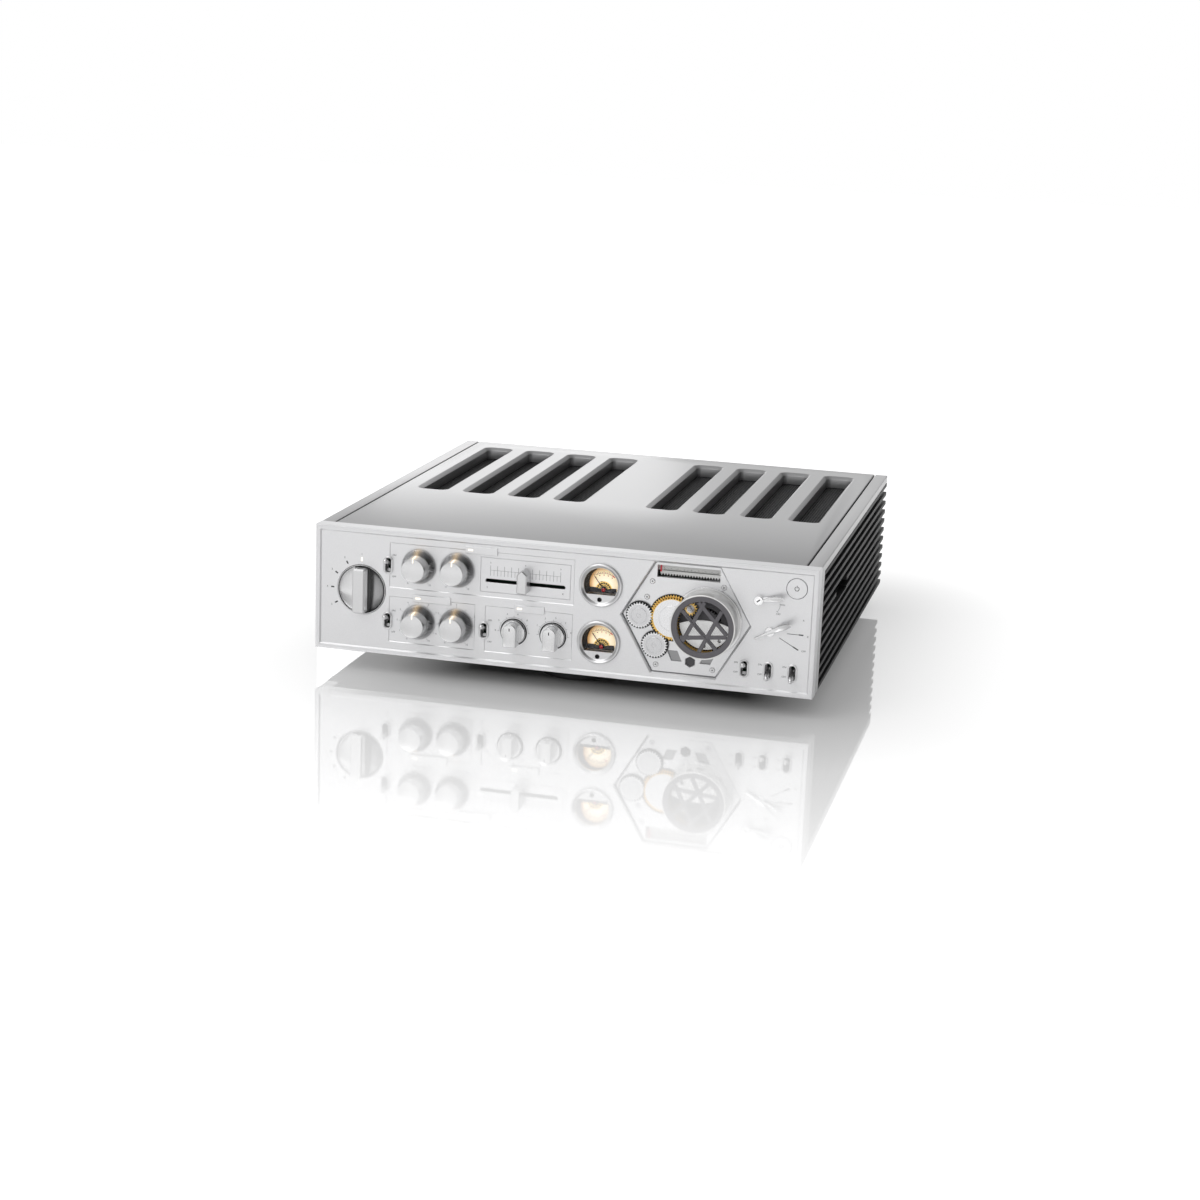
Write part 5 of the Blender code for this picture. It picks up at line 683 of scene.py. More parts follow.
def makeEqualizerKnob(name):
    centre = pivots[name]
    bm = bmesh.new()
    discFront = seat - equalizer["discHeight"]
    profile = [(0, discFront), (equalizer["disc"] - 0.4, discFront), (equalizer["disc"], discFront + 0.4),
               (equalizer["disc"], seat), (equalizer["shaft"], seat), (equalizer["shaft"], shaftEnd),
               (0, shaftEnd)]
    lathe(bm, profile, centre, steps=96)
    addPiece(name + "Disc", bm, "turnedSilver", name, [name])
    # A half-round top on a straight bar: half of a turned shape and a drawn-down lower edge
    bm = bmesh.new()
    front = field - equalizer["height"]
    half = equalizer["barWidth"] / 2
    bmesh.ops.create_circle(bm, cap_ends=True, segments=64, radius=half * mm,
                            matrix=Matrix.Rotation(math.pi / 2, 4, "X"))
    for vert in bm.verts:
        if vert.co.z < -1e-6:
            vert.co.z = -1e-6
    bmesh.ops.dissolve_limit(bm, angle_limit=0.01, verts=bm.verts, edges=bm.edges)
    top = equalizer["barLength"] / 2 - half
    for vert in bm.verts:
        vert.co.z += top * mm if vert.co.z > -5e-7 else -equalizer["barLength"] / 2 * mm
    bmesh.ops.translate(bm, vec=(centre.x, panelLow.y + front * mm, centre.z), verts=bm.verts)
    drawnOut(bm, (0, (discFront + 0.3 - front) * mm, 0))
    bm.normal_update()
    face = panelLow.y + front * mm
    bevelled(bm, [edge for edge in bm.edges if all(abs(vert.co.y - face) < 1e-6 for vert in edge.verts)],
             equalizer["bevel"], 3)
    addPiece(name + "Bar", bm, "turnedSilver", name, [name])
    bm = bmesh.new()
    mark(bm, shifted(centre, 0, front, equalizer["barLength"] / 2 - 4.6), 0.8, 2.6)
    addPiece(name + "Line", bm, "blackInk", name, ())


for knobName in equalizerNames:
    makeEqualizerKnob(knobName)


def makeToggle(name, tilt):
    pivot = pivots[name]
    on = atDepth(pivot, 0)
    half = toggle["slotWidth"] / 2
    outer, rise = half + toggle["rimWidth"], field - toggle["rimRise"]
    reach = (0, toggle["slotLength"] / 2 - half)
    profile = [(half, field + 0.6), (half, rise + 0.35), (half + 0.35, rise), (outer - 0.5, rise),
               (outer - 0.12, rise + 0.22), (outer, field + 0.6)]
    bm = turned(profile, on, steps=64, turn=2.8125, stretch=reach, closed=True)
    addPiece(name + "Rim", bm, "bezelSilver")
    inner, depth, floor = half - 0.05, toggle["wellDepth"], toggle["wellFloor"]
    profile = [(inner - 0.3, field + 0.3), (inner - 0.3, depth), (1.75, depth), (1.75, floor), (inner, floor),
               (inner, field + 0.3)]
    bm = turned(profile, on, steps=48, turn=3.75, stretch=reach, closed=True)
    addPiece(name + "Well", bm, "wellGrey")
    bm = bmesh.new()
    block(bm, shifted(on, 0, toggle["tongueDepth"], -toggle["tongueDrop"]), toggle["tongue"],
          tilted(toggle["tongueLean"], "X"))
    softened(bm, 0.1, 1)
    addPiece(name + "Tongue", bm, "wellGrey")
    length, tip, ball, neck = toggle["length"], toggle["tip"], toggle["ball"], toggle["neck"]
    profile = [(0, ball)]
    for turn in range(15, 150, 15):
        angle = math.radians(turn)
        profile.append((ball * math.sin(angle), ball * math.cos(angle)))
    profile += [(neck, -ball * 0.95), (neck + 0.1, -ball - 2), (tip - 0.1, -length + tip + 1.5),
                (tip, -length + tip * 0.9)]
    for turn in (25, 50, 75):
        angle = math.radians(turn)
        profile.append((tip * math.cos(angle), -length + tip * 0.9 * (1 - math.sin(angle))))
    profile.append((0, -length))
    bm = turned(profile, Vector((pivot.x, 0, pivot.z)), steps=32)
    bmesh.ops.translate(bm, vec=(0, pivot.y - panelLow.y, 0), verts=bm.verts)
    bmesh.ops.rotate(bm, cent=pivot, matrix=Matrix.Rotation(math.radians(-tilt), 3, "X"), verts=bm.verts)
    addPiece(name + "Lever", bm, "bezelSilver", name, [name])


for toggleName in toggleNames:
    down = toggleName in ("subsonic_toggle", "attenuator_toggle")
    makeToggle(toggleName, -toggle["tilt"] if down else toggle["tilt"])


slider = dict(width=8.7, height=20.4, point=4.0, rise=3.8, reach=11.5, bevel=0.9, stemWidth=5, stemHeight=2.2,
              channelInner=1.3, channelOuter=1.45, channelRear=7.0)


def makeSlider():
    centre = balanceCentre
    front, rear = field - slider["reach"], sectionFloor - 0.1
    bm = bmesh.new()
    middle = shifted(centre, 0, (front + rear) / 2, slider["rise"])
    block(bm, middle, (slider["width"], rear - front, slider["height"]))
    top = [edge for edge in bm.edges if all(vert.co.z > middle.z for vert in edge.verts)
           and abs(edge.verts[0].co.y - edge.verts[1].co.y) < 1e-6]
    bmesh.ops.subdivide_edges(bm, edges=top, cuts=1, use_grid_fill=True)
    for vert in bm.verts:
        if vert.co.z > middle.z and abs(vert.co.x - middle.x) > 1e-6:
            vert.co.z -= slider["point"] * mm
    softened(bm, slider["bevel"], 1, limit=20)
    addPiece("balanceHandle", bm, "bezelSilver", "balance_slider", ["balance_slider"])
    bm = bmesh.new()
    block(bm, shifted(centre, 0, (rear - 1 + shaftEnd) / 2),
          (slider["stemWidth"], shaftEnd - rear + 1, slider["stemHeight"]))
    softened(bm, 0.2, 1)
    addPiece("balanceStem", bm, "blackPlastic", "balance_slider", ())
    # Black channel in the slot
    inner, outer, floor = slider["channelInner"], slider["channelOuter"], slider["channelRear"]
    profile = [(outer, sectionFloor + 0.5), (outer, floor), (inner, floor), (inner, sectionFloor + 0.5)]
    bm = turned(profile, centre, steps=32, turn=5.625, stretch=(panel["slotReach"], 0), closed=True)
    addPiece("balanceChannel", bm, "blackPlastic")


button = dict(radius=8.35, thickness=5.5, stem=4.0, stemEnd=14.2, ring=(1.75, 0.5), line=(0.5, 2.1),
              lineUp=1.6)


def makePowerButton():
    radius, stem, rear = button["radius"], button["stem"], seat + button["thickness"]
    profile = [(0, seat), (radius - 0.4, seat), (radius - 0.1, seat + 0.12), (radius, seat + 0.4),
               (radius, rear), (stem, rear), (stem, button["stemEnd"]), (0, button["stemEnd"])]
    bm = turned(profile, buttonCentre, steps=96)
    addPiece("powerDisc", bm, "panelSilver", "power_button", ["power_button"])
    bm = bmesh.new()
    ringMark(bm, buttonCentre, *button["ring"], seat, start=120, arc=300, steps=40)
    mark(bm, shifted(buttonCentre, 0, seat, button["lineUp"]), *button["line"])
    addPiece("powerSymbol", bm, "blackInk", "power_button", ())


makeSlider()
makePowerButton()


levers = {
    "direct_lever": dict(tail=0, widths=(3.4, 3.2, 3.6, 4.4, 4.9, 4.4, 2.6), length=21.5, rise=6.0, rest=10,
                         hub=5.4),
    "speaker_lever": dict(tail=14, widths=(0.9, 1.7, 2.6, 3.4, 4.2, 5.0, 4.6, 2.4), length=21.5, rise=8.5,
                          rest=28, hub=0.8),
}
leverHub = dict(radius=4.0, shaft=1.8, thickness=1.6, power=1.6, cuts=24)


def makeLever(name, lever):
    centre, shaft, thickness = pivots[name], leverHub["shaft"], leverHub["thickness"]
    hubFront = seat - lever["hub"]
    profile = [(0, hubFront), (2.3, hubFront), (2.5, hubFront + 0.3), (2.9, hubFront + 0.3), (3.1, hubFront),
               (3.6, hubFront), (3.95, hubFront + 0.35), (leverHub["radius"], seat), (shaft, seat),
               (shaft, shaftEnd), (0, shaftEnd)]
    addPiece(name + "Hub", turned(profile, centre, steps=48), "chrome", name, [name])
    bm = bmesh.new()
    tail, length, widths = lever["tail"], lever["length"], lever["widths"]
    block(bm, Vector(((length - tail) / 2 * mm, 0, 0)), (tail + length, 1, 1))
    long = [edge for edge in bm.edges if abs(edge.verts[0].co.x - edge.verts[1].co.x) > 0.5 * mm]
    bmesh.ops.subdivide_edges(bm, edges=long, cuts=leverHub["cuts"])
    softened(bm, 0.24, 2, limit=60)
    flat = seat - thickness / 2
    for vert in bm.verts:
        along = vert.co.x / mm
        share = max(0, (along - leverHub["radius"]) / (length - leverHub["radius"]))
        step = (along + tail) / (tail + length) * (len(widths) - 1)
        whole = max(0, min(int(step), len(widths) - 2))
        vert.co.z *= widths[whole] + (widths[whole + 1] - widths[whole]) * (step - whole)
        depth = flat + vert.co.y / mm * thickness - thickness / 2
        vert.co.y = (depth - lever["rise"] * share ** leverHub["power"]) * mm
    place = Matrix.Translation(atDepth(centre, 0)) @ tilted(-lever["rest"])
    bmesh.ops.transform(bm, matrix=place, verts=bm.verts)
    addPiece(name + "Blade", bm, "turnedSilver", name, [name], crease=40)
    if lever["hub"] > thickness:
        # A black mark on the hub: painted shade of its screw slot
        bm = bmesh.new()
        mark(bm, shifted(centre, 0, hubFront), 3.4, 1.0, 40)
        addPiece(name + "Slot", bm, "blackInk", name, ())


for leverName, leverSizes in levers.items():
    makeLever(leverName, leverSizes)
print("controls made")


# The bezel's profile starts at the window, and the dial's places are from the meter's centre
meter = dict(window=14.65, flat=8.0, floor=7.5, bodyRadius=16.8, bodyDepth=25, glassFront=1.2, glassRear=2.2,
             bezel=((0, 0.6), (14.9, 0.6), (15.3, 0.35), (15.9, -0.35), (16.5, -0.9), (17.1, -1.18),
                    (17.6, -1.15), (18.05, -0.85), (18.35, -0.4), (18.5, 0.1)),
             hole=(-0.6, -12.3), holeRadius=2.0, dial=7.15, pivot=(1.4, -4.7), needle=13.5, rest=37,
             arcRadius=13.6, arcWidth=0.22, arc=(58, 62), ticks=13, tickStart=127, tickStep=5.8,
             redArc=(50, 11), guardDepth=6.9, guardRings=((6.6, 0.7), (4.4, 0.4)), guardArc=(12, 156),
             jewel=((0, 3.9), (0.8, 4.0), (1.45, 4.35), (1.75, 4.85), (0, 4.86)))


def dialFinish():
    # Warm paper lit from its middle, with painted shade that darkens it towards the rim and more on the left
    material, tree, shader = newMaterial("dialPaper")
    shader.inputs["Roughness"].default_value = 0.6
    warm = addNode(tree, "Attribute", attribute_name="warm").outputs["Fac"]
    place = addNode(tree, "TexCoord").outputs["Object"]
    noise = addNode(tree, "TexNoise", {"Vector": place, "Scale": 900})
    mixed = addNode(tree, "Math", {0: noise.outputs["Fac"], 1: 0.06, 2: warm}, operation="MULTIPLY_ADD")
    paper = ramped(tree, mixed.outputs["Value"], ((0.05, (0.98, 0.88, 0.69)), (1.0, (0.50, 0.25, 0.07)),
                                                  (0.55, (0.93, 0.72, 0.44))))
    tree.links.new(paper, shader.inputs["Base Color"])
    tree.links.new(paper, shader.inputs["Emission Color"])
    shader.inputs["Emission Strength"].default_value = 0.28
    return material


looks["dialPaper"] = dialFinish()


def windowShape(centre, inset, front, rear, steps=96):
    # A disc cut off by a level line below its centre
    bm = turned(rod(meter["window"] - inset, front, rear), centre, steps=steps)
    cleaned(bm)
    bmesh.ops.bisect_plane(bm, geom=list(bm.verts) + list(bm.edges) + list(bm.faces), plane_no=(0, 0, 1),
                           plane_co=shifted(centre, 0, 0, inset - meter["flat"]), clear_inner=True, dist=1e-7)
    closedUp(bm)
    return bm


def makeMeter(name, centre):
    profile = [*meter["bezel"], (18.5, seat), (meter["bodyRadius"], seat),
               (meter["bodyRadius"], meter["bodyDepth"]), (0, meter["bodyDepth"])]
    bm = turned(profile, centre, steps=128)
    bm = carved(bm, windowShape(centre, 0, -2, meter["floor"]))
    hole, radius = shifted(centre, meter["hole"][0], 0, meter["hole"][1]), meter["holeRadius"]
    bm = carved(bm, turned(rod(radius, -2, 3.6), hole, steps=32))
    addPiece(name + "Bezel", bm, "bezelSilver", stands=[name + "_case"])

    outer, inner = radius - 0.05, radius - 0.1
    profile = [(0, 3.5), (outer, 3.5), (outer, 1.0), (inner, 1.0), (inner, 3.4), (0, 3.4)]
    addPiece(name + "Hole", turned(profile, hole, steps=32), "blackPlastic")

    # Dark lining that closes in towards the dial, more on the left
    bm = windowShape(centre, 0.05, 2.4, 7.1)
    ends = [face for face in bm.faces if len(face.verts) > 8 or abs(face.normal.y) > 0.9]
    bmesh.ops.delete(bm, geom=ends, context="FACES_ONLY")
    for vert in bm.verts:
        if vert.co.y > panelLow.y + 5 * mm:
            off = vert.co - centre
            vert.co.x = centre.x + off.x * 0.86 + 1.5 * mm
            vert.co.z = centre.z + off.z * 0.94 + 0.1 * mm
    bmesh.ops.solidify(bm, geom=list(bm.faces), thickness=0.04 * mm)
    addPiece(name + "Lining", bm, "blackPlastic")

    dial = meter["dial"]
    bm = windowShape(centre, 0.1, dial, dial + 0.3, steps=64)
    bmesh.ops.poke(bm, faces=[face for face in bm.faces if abs(face.normal.y) > 0.9])
    bmesh.ops.subdivide_edges(bm, edges=list(bm.edges), cuts=3, use_grid_fill=True)
    warm = bm.verts.layers.float.new("warm")
    # Painted shade: the dial darkens towards the rim and more on the left
    for vert in bm.verts:
        off = (vert.co - centre) / mm
        away = math.hypot(off.x - 2.5, off.z + 0.5) / 15
        vert[warm] = min(1, away ** 2.2 + max(0, -off.x - 5) * 0.05)
    addPiece(name + "Dial", bm, "dialPaper")

    # Scale and base strip on the dial
    pivot = shifted(centre, meter["pivot"][0], 0, meter["pivot"][1])
    ink, radius = bmesh.new(), meter["arcRadius"]
    start, arc = meter["arc"]
    ringMark(ink, pivot, radius, meter["arcWidth"], dial, start=start, arc=arc, steps=40)
    for index in range(meter["ticks"]):
        degrees = meter["tickStart"] - index * meter["tickStep"]
        long = index % 3 == 0
        out, length = (0.9, 1.8) if long else (0.6, 1.1)
        mark(ink, polar(pivot, radius + out, degrees, dial), length, 0.32, degrees)
        if long:
            mark(ink, polar(pivot, radius - 1.5, degrees, dial), 0.7, 0.9, degrees)
    mark(ink, shifted(centre, 0.4, dial, 1.6), 4.4, 0.9)
    mark(ink, shifted(centre, 0.9, dial, -5.6), 22.4, 4.4, proud=0.5)
    addPiece(name + "Scale", ink, "blackInk")
    red = bmesh.new()
    start, arc = meter["redArc"]
    ringMark(red, pivot, radius + 0.2, 0.7, dial, start=start, arc=arc, steps=10, proud=0.07)
    addPiece(name + "RedZone", red, "redPaint")

    # Gilt half-round guard over the pivot
    gilt = bmesh.new()
    guard, (start, arc) = shifted(pivot, 0, 0, -0.2), meter["guardArc"]
    for ring in meter["guardRings"]:
        ringMark(gilt, guard, *ring, meter["guardDepth"], start=start, arc=arc, steps=48, proud=0.3)
    for degrees in range(20, 161, 20):
        mark(gilt, polar(guard, 4.6, degrees, meter["guardDepth"]), 3.6, 0.4, degrees, proud=0.25)
    dark = turned(rod(6.5, 6.95, 7.1), guard, steps=48, turn=10, arc=160)
    closedUp(dark)
    addPiece(name + "Guard", gilt, "gold")
    addPiece(name + "GuardBack", dark, "blackInk")

    # Needle on its jewel
    bm = turned(rod(1.6, 4.85, 7.05), pivot, steps=32)
    lean = polar(pivot, meter["needle"] / 2 + 0.4, 90 + meter["rest"])
    block(bm, atDepth(lean, 5.95), (0.55, 0.4, meter["needle"] - 1), tilted(-meter["rest"]))
    addPiece(name + "Pointer", bm, "blackInk", name + "_needle", [name + "_needle"])
    addPiece(name + "Jewel", turned(meter["jewel"], pivot, steps=32), "redJewel", name + "_needle", ())

    bm = windowShape(centre, 0.3, meter["glassFront"], meter["glassRear"])
    softened(bm, 0.1, 1, limit=60)
    addPiece(name + "Glass", bm, "clearGlass", stands=[name + "_glass"])


for meterName, meterCentre in meterCentres.items():
    makeMeter(meterName, meterCentre)
print("meters made")


# The window and screws are placed from the panel's corner, pockets and socket from the hexagon's centre
plate = dict(radius=53.39, front=4.6, flangeFront=7.5, flangeRadius=55.5, rear=8.68, collarInner=25.3,
             collarRadius=29.0, collarFace=0.9, roomRadius=21.02, bevel=0.3, wheelHole=2.8, gearHole=2.3,
             window=(295.65, 348.3, 8.38, 18.6), pockets=(-8.5, 19.5), pocketDown=31.8, pocketSize=9,
             pocketLean=2, socket=(5.0, 35.8), socketRadius=4.6,
             screws=((292.0, 22.7), (288.0, 36.3), (297.7, 93.0), (351.8, 22.5), (345.5, 93.1)))
wheelCentre = pivots["volume_wheel"]
gearCentre = pivots["centre_gear"]


def pocketBlocks(bm, depth, thickness, gap=0):
    # Slanted pockets on both sides of the socket
    size = plate["pocketSize"] - gap
    for right in plate["pockets"]:
        pocket = shifted(hexagonCentre, right, 0, -plate["pocketDown"])
        lean = math.copysign(plate["pocketLean"] * mm, right - plate["socket"][0])
        for vert in block(bm, shifted(pocket, 0, depth), (size, thickness, size)):
            vert.co.x += math.copysign(lean, (vert.co.z - pocket.z) * lean)


def makeGearPlate():
    front, rear, bevel, radius = plate["front"], plate["rear"], plate["bevel"], plate["radius"]
    profile = [(0, front), (radius - bevel, front), (radius, front + bevel), (radius, plate["flangeFront"]),
               (plate["flangeRadius"], plate["flangeFront"]), (plate["flangeRadius"], rear), (0, rear)]
    bm = turned(profile, hexagonCentre, steps=6)
    cuts = bmesh.new()
    left, right, top, bottom = plate["window"]
    blockBetween(cuts, spot(left, bottom, front - 1), spot(right, top, rear + 1))
    opening(cuts, wheelCentre, plate["wheelHole"], rear + 1, front, steps=24)
    for name in ("centre_gear", "upper_idler", "lower_idler"):
        opening(cuts, pivots[name], plate["gearHole"], rear + 1, front, steps=24)
    socket = shifted(hexagonCentre, plate["socket"][0], 0, -plate["socket"][1])
    opening(cuts, socket, plate["socketRadius"], front + 2, front, steps=6, turn=30)
    pocketBlocks(cuts, front + 0.5, 3)
    addPiece("gearPlate", carved(bm, cuts), "plateSilver", stands=["gear_plate"])

    inner, radius, face = plate["collarInner"], plate["collarRadius"], plate["collarFace"]
    profile = [(inner, face + 0.2), (inner + 0.2, face), (radius - 0.3, face), (radius, face + 0.3),
               (radius, front + 0.1), (inner, front + 0.1)]
    bm = turned(profile, wheelCentre, steps=128, closed=True)
    bm = carved(bm, turned(rod(plate["roomRadius"], 0, 5.5), gearCentre, steps=96))
    addPiece("wheelCollar", bm, "turnedSilver")

    bm, sockets = bmesh.new(), bmesh.new()
    for place in plate["screws"]:
        centre = spot(*place)
        profile = [(0, front - 0.5), (1.7, front - 0.5), (1.95, front - 0.25), (1.95, front + 0.1)]
        lathe(bm, profile, centre, steps=24)
        # Grey hex sockets and rings round the heads: painted shade of the sockets and of the gaps round the
        # screws
        lathe(sockets, rod(0.95, front - 0.56, front - 0.45), centre, steps=6)
        ringMark(sockets, centre, 2.25, 0.3, front, steps=24)
    addPiece("plateScrews", bm, "turnedSilver")
    addPiece("screwShadeMarks", sockets, "greyInk")
    bm = turned(rod(plate["socketRadius"] - 0.1, front + 1.7, front + 1.95), socket, steps=6, turn=30)
    addPiece("socketFloor", bm, "darkSteel")
    bm = bmesh.new()
    pocketBlocks(bm, front + 1.85, 0.2, 0.1)
    addPiece("pocketFloors", bm, "wellGrey")


makeGearPlate()


gearing = dict(module=0.75, addendum=0.675, dedendum=0.8625, toothShare=0.37, pressure=20, bevel=0.1)
teeth = dict(ring=60, inner_idler=14, sun=32, centre_gear=46, upper_idler=28, lower_idler=28, pinion=15,
             rack_idler=40)
# Front and rear of the gears in the window, inside the wheel and behind the plate
layers = dict(window=(1.0, 3.3), wheel=(-5.2, -3.6), hidden=(8.95, 10.85))


def meshed(phase, count, angle, other):
    # The phase of a wheel that meshes with one of a known phase, at an angle from it
    share = ((angle - phase) * count / tau) % 1
    return angle + math.pi + (share - 0.5) * tau / other


innerAngle, lowerAngle = math.radians(139), math.radians(239.7)
rackStep = pivots["rack_idler"] - wheelCentre
phases = {"sun": 0.0, "pinion": 0.0}
phases["inner_idler"] = meshed(0, teeth["sun"], innerAngle, teeth["inner_idler"])
ringShare = (phases["inner_idler"] - innerAngle) * teeth["inner_idler"] / tau
phases["ring"] = innerAngle - (0.5 - ringShare) * tau / teeth["ring"]
phases["centre_gear"] = meshed(0, teeth["sun"], math.pi, teeth["centre_gear"])
for gearName, gearAngle in (("upper_idler", math.pi), ("lower_idler", lowerAngle)):
    phases[gearName] = meshed(phases["centre_gear"], teeth["centre_gear"], gearAngle, teeth[gearName])
phases["rack_idler"] = meshed(0, teeth["pinion"], math.atan2(rackStep.z, rackStep.x), teeth["rack_idler"])


def toothedRing(centre, count, phase, rim, front, rear, inward=False, module=gearing["module"]):
    pitchRadius = module * count / 2
    side = -1 if inward else 1
    slope = math.tan(math.radians(gearing["pressure"]))
    half = gearing["toothShare"] * math.pi * module / 2
    tip, root = pitchRadius + side * gearing["addendum"], pitchRadius - side * gearing["dedendum"]
    halfTip = (half - gearing["addendum"] * slope) / tip
    halfRoot = (half + gearing["dedendum"] * slope) / root
    step = tau / count
    corners = [(rim, -step / 2), (rim, step / 2), (root, step / 2), (root, halfRoot), (tip, halfTip),
               (tip, -halfTip), (root, -halfRoot), (root, -step / 2)]
    bm = bmesh.new()
    verts = [bm.verts.new(atDepth(polar(centre, radius, math.degrees(phase + turn)), front))
             for radius, turn in corners]
    face = bm.faces.new(verts)
    bmesh.ops.spin(bm, geom=verts + list(face.edges) + [face], cent=centre, axis=(0, -1, 0),
                   angle=step * (count - 1), steps=count - 1, use_duplicate=True)
    bmesh.ops.remove_doubles(bm, verts=bm.verts, dist=1e-6)
    drawnOut(bm, (0, (rear - front) * mm, 0))
    ends = [vert for vert in bm.verts if abs(vert.co.y - panelLow.y - front * mm) < 1e-6]
    softened(bm, gearing["bevel"], 1, limit=60, verts=ends)
    return bm


# A shadow disc has a radius, a front and a rear: a black disc behind the teeth that paints shade into their
# gaps
gears = {
    "centre_gear": dict(layer="window", arborEnd=8.6, toothLook="brass", faceLook="centre_gear",
                        shadowDisc=(20.0, 3.75, 4.28)),
    "upper_idler": dict(layer="window", arborEnd=8.6, toothLook="gearSilver", faceLook="upper_idler",
                        shadowDisc=(11.7, 3.2, 3.38)),
    "lower_idler": dict(layer="window", arborEnd=8.6, toothLook="gearSilver", faceLook="lower_idler",
                        shadowDisc=(11.7, 3.2, 3.38)),
    "inner_idler": dict(layer="wheel", arborEnd=0.5, toothLook="brass", faceLook="inner_idler"),
    "rack_idler": dict(layer="hidden", arborEnd=13.4, toothLook="darkSteel", faceLook="darkSteel"),
}


def makeGear(name, layer, arborEnd, toothLook, faceLook, shadowDisc=None):
    centre, (front, rear) = pivots[name], layers[layer]
    pitchRadius = gearing["module"] * teeth[name] / 2
    root, boss = pitchRadius - gearing["dedendum"], 0.62 * pitchRadius
    bm = toothedRing(centre, teeth[name], phases[name], root - 1.2, front, rear)
    addPiece(name + "Teeth", bm, toothLook, name, [name])
    arbor = min(2.0, boss / 2)
    profile = [(0, front - 0.19), (arbor * 0.5, front - 0.19), (arbor * 0.55, front + 0.1),
               (arbor, front + 0.1), (arbor + 0.1, front - 0.19), (boss - 0.15, front - 0.19),
               (boss, front - 0.05), (boss, front + 0.12), (boss + 0.5, front + 0.12),
               (boss + 0.55, front - 0.02), (root - 0.45, front - 0.02), (root - 0.3, front + 0.1),
               (root - 0.3, rear - 0.05), (arbor, rear - 0.05), (arbor, arborEnd), (0, arborEnd)]
    addPiece(name + "Disc", turned(profile, centre, steps=96), faceLook, name, [name])
    # A black disc behind the teeth paints shade into the gaps between them
    if shadowDisc:
        addPiece(name + "ShadowDisc", turned(rod(*shadowDisc), centre, steps=96), "blackMetal", name, ())


# The faces of the gears in sight carry fine turning marks
for name in ("centre_gear", "upper_idler", "lower_idler", "inner_idler"):
    colour = (0.74, 0.74, 0.75) if name == "centre_gear" else (0.60, 0.60, 0.61)
    looks[name] = finish(name + "Silver", colour, 0.24, 1.0, grain=2000, bump=0.35, relief=0.00002,
                         centre=pivots[name], rings=900)
for name, values in gears.items():
    makeGear(name, **values)

gearRim = dict(count=52, module=0.727, rim=17.2, front=3.42, rear=4.2)
sun = dict(rim=8, core=10.6, coreFront=-5.0, coreRear=3.25, shaft=2.5, pinionRim=2.3)
wheelTeeth = dict(rim=24.68, rear=-3.62)


def makeInnerTeeth():
    # A second, wider toothed ring shows behind the centre gear
    bm = toothedRing(gearCentre, gearRim["count"], 0, gearRim["rim"], gearRim["front"], gearRim["rear"],
                     module=gearRim["module"])
    addPiece("centreGearRim", bm, "brass", "centre_gear", ())
    front = layers["wheel"][0]
    bm = toothedRing(wheelCentre, teeth["sun"], phases["sun"], sun["rim"], front, layers["window"][1])
    addPiece("sunTeeth", bm, "darkSteel", "sun_shaft", ["sun_shaft"])
    core, shaft, low, high = sun["core"], sun["shaft"], sun["coreFront"], sun["coreRear"]
    profile = [(0, low), (core, low), (core, high), (shaft, high), (shaft, shaftEnd), (0, shaftEnd)]
    addPiece("sunShaft", turned(profile, wheelCentre, steps=64), "darkSteel", "sun_shaft", ())
    bm = toothedRing(wheelCentre, teeth["pinion"], phases["pinion"], sun["pinionRim"], *layers["hidden"])
    addPiece("rackPinion", bm, "darkSteel", "sun_shaft", ())
    bm = toothedRing(wheelCentre, teeth["ring"], phases["ring"], wheelTeeth["rim"], front, wheelTeeth["rear"],
                     inward=True)
    addPiece("ringGear", bm, "brass", "volume_wheel", ["wheel_ring_gear"])


makeInnerTeeth()


# Each bar of the grille has an angle, its distance from the middle as a share, and how far it is sunk
wheel = dict(radius=27.0, bore=25.0, seat=26.0, front=-18.0, rear=0.7, step=-15.3, bearing=24.6,
             bearingBore=12.975, bearingFront=-3.3, bearingRear=4.3, idlerHole=1.95, grille=25.9,
             grilleInner=21.4, grilleFront=-17.68, grilleRear=-15.6, barWidth=3.4,
             bars=((64, -0.34, 0), (64, 0.40, 0), (-46, -0.18, 0.08), (-46, 0.52, 0.08), (6, -0.40, 0.16)),
             beadBar=(-46, -0.18), beadStarts=(-15.5, -4.6, 6.2), beads=6, beadPitch=1.75, beadRadius=0.8,
             bridgeRadius=21.2, bridgeFront=-7.0, bridgeRear=-5.5, bridgeTop=3, bridgeArc=56,
             bridgePosts=(225, 270, 315))


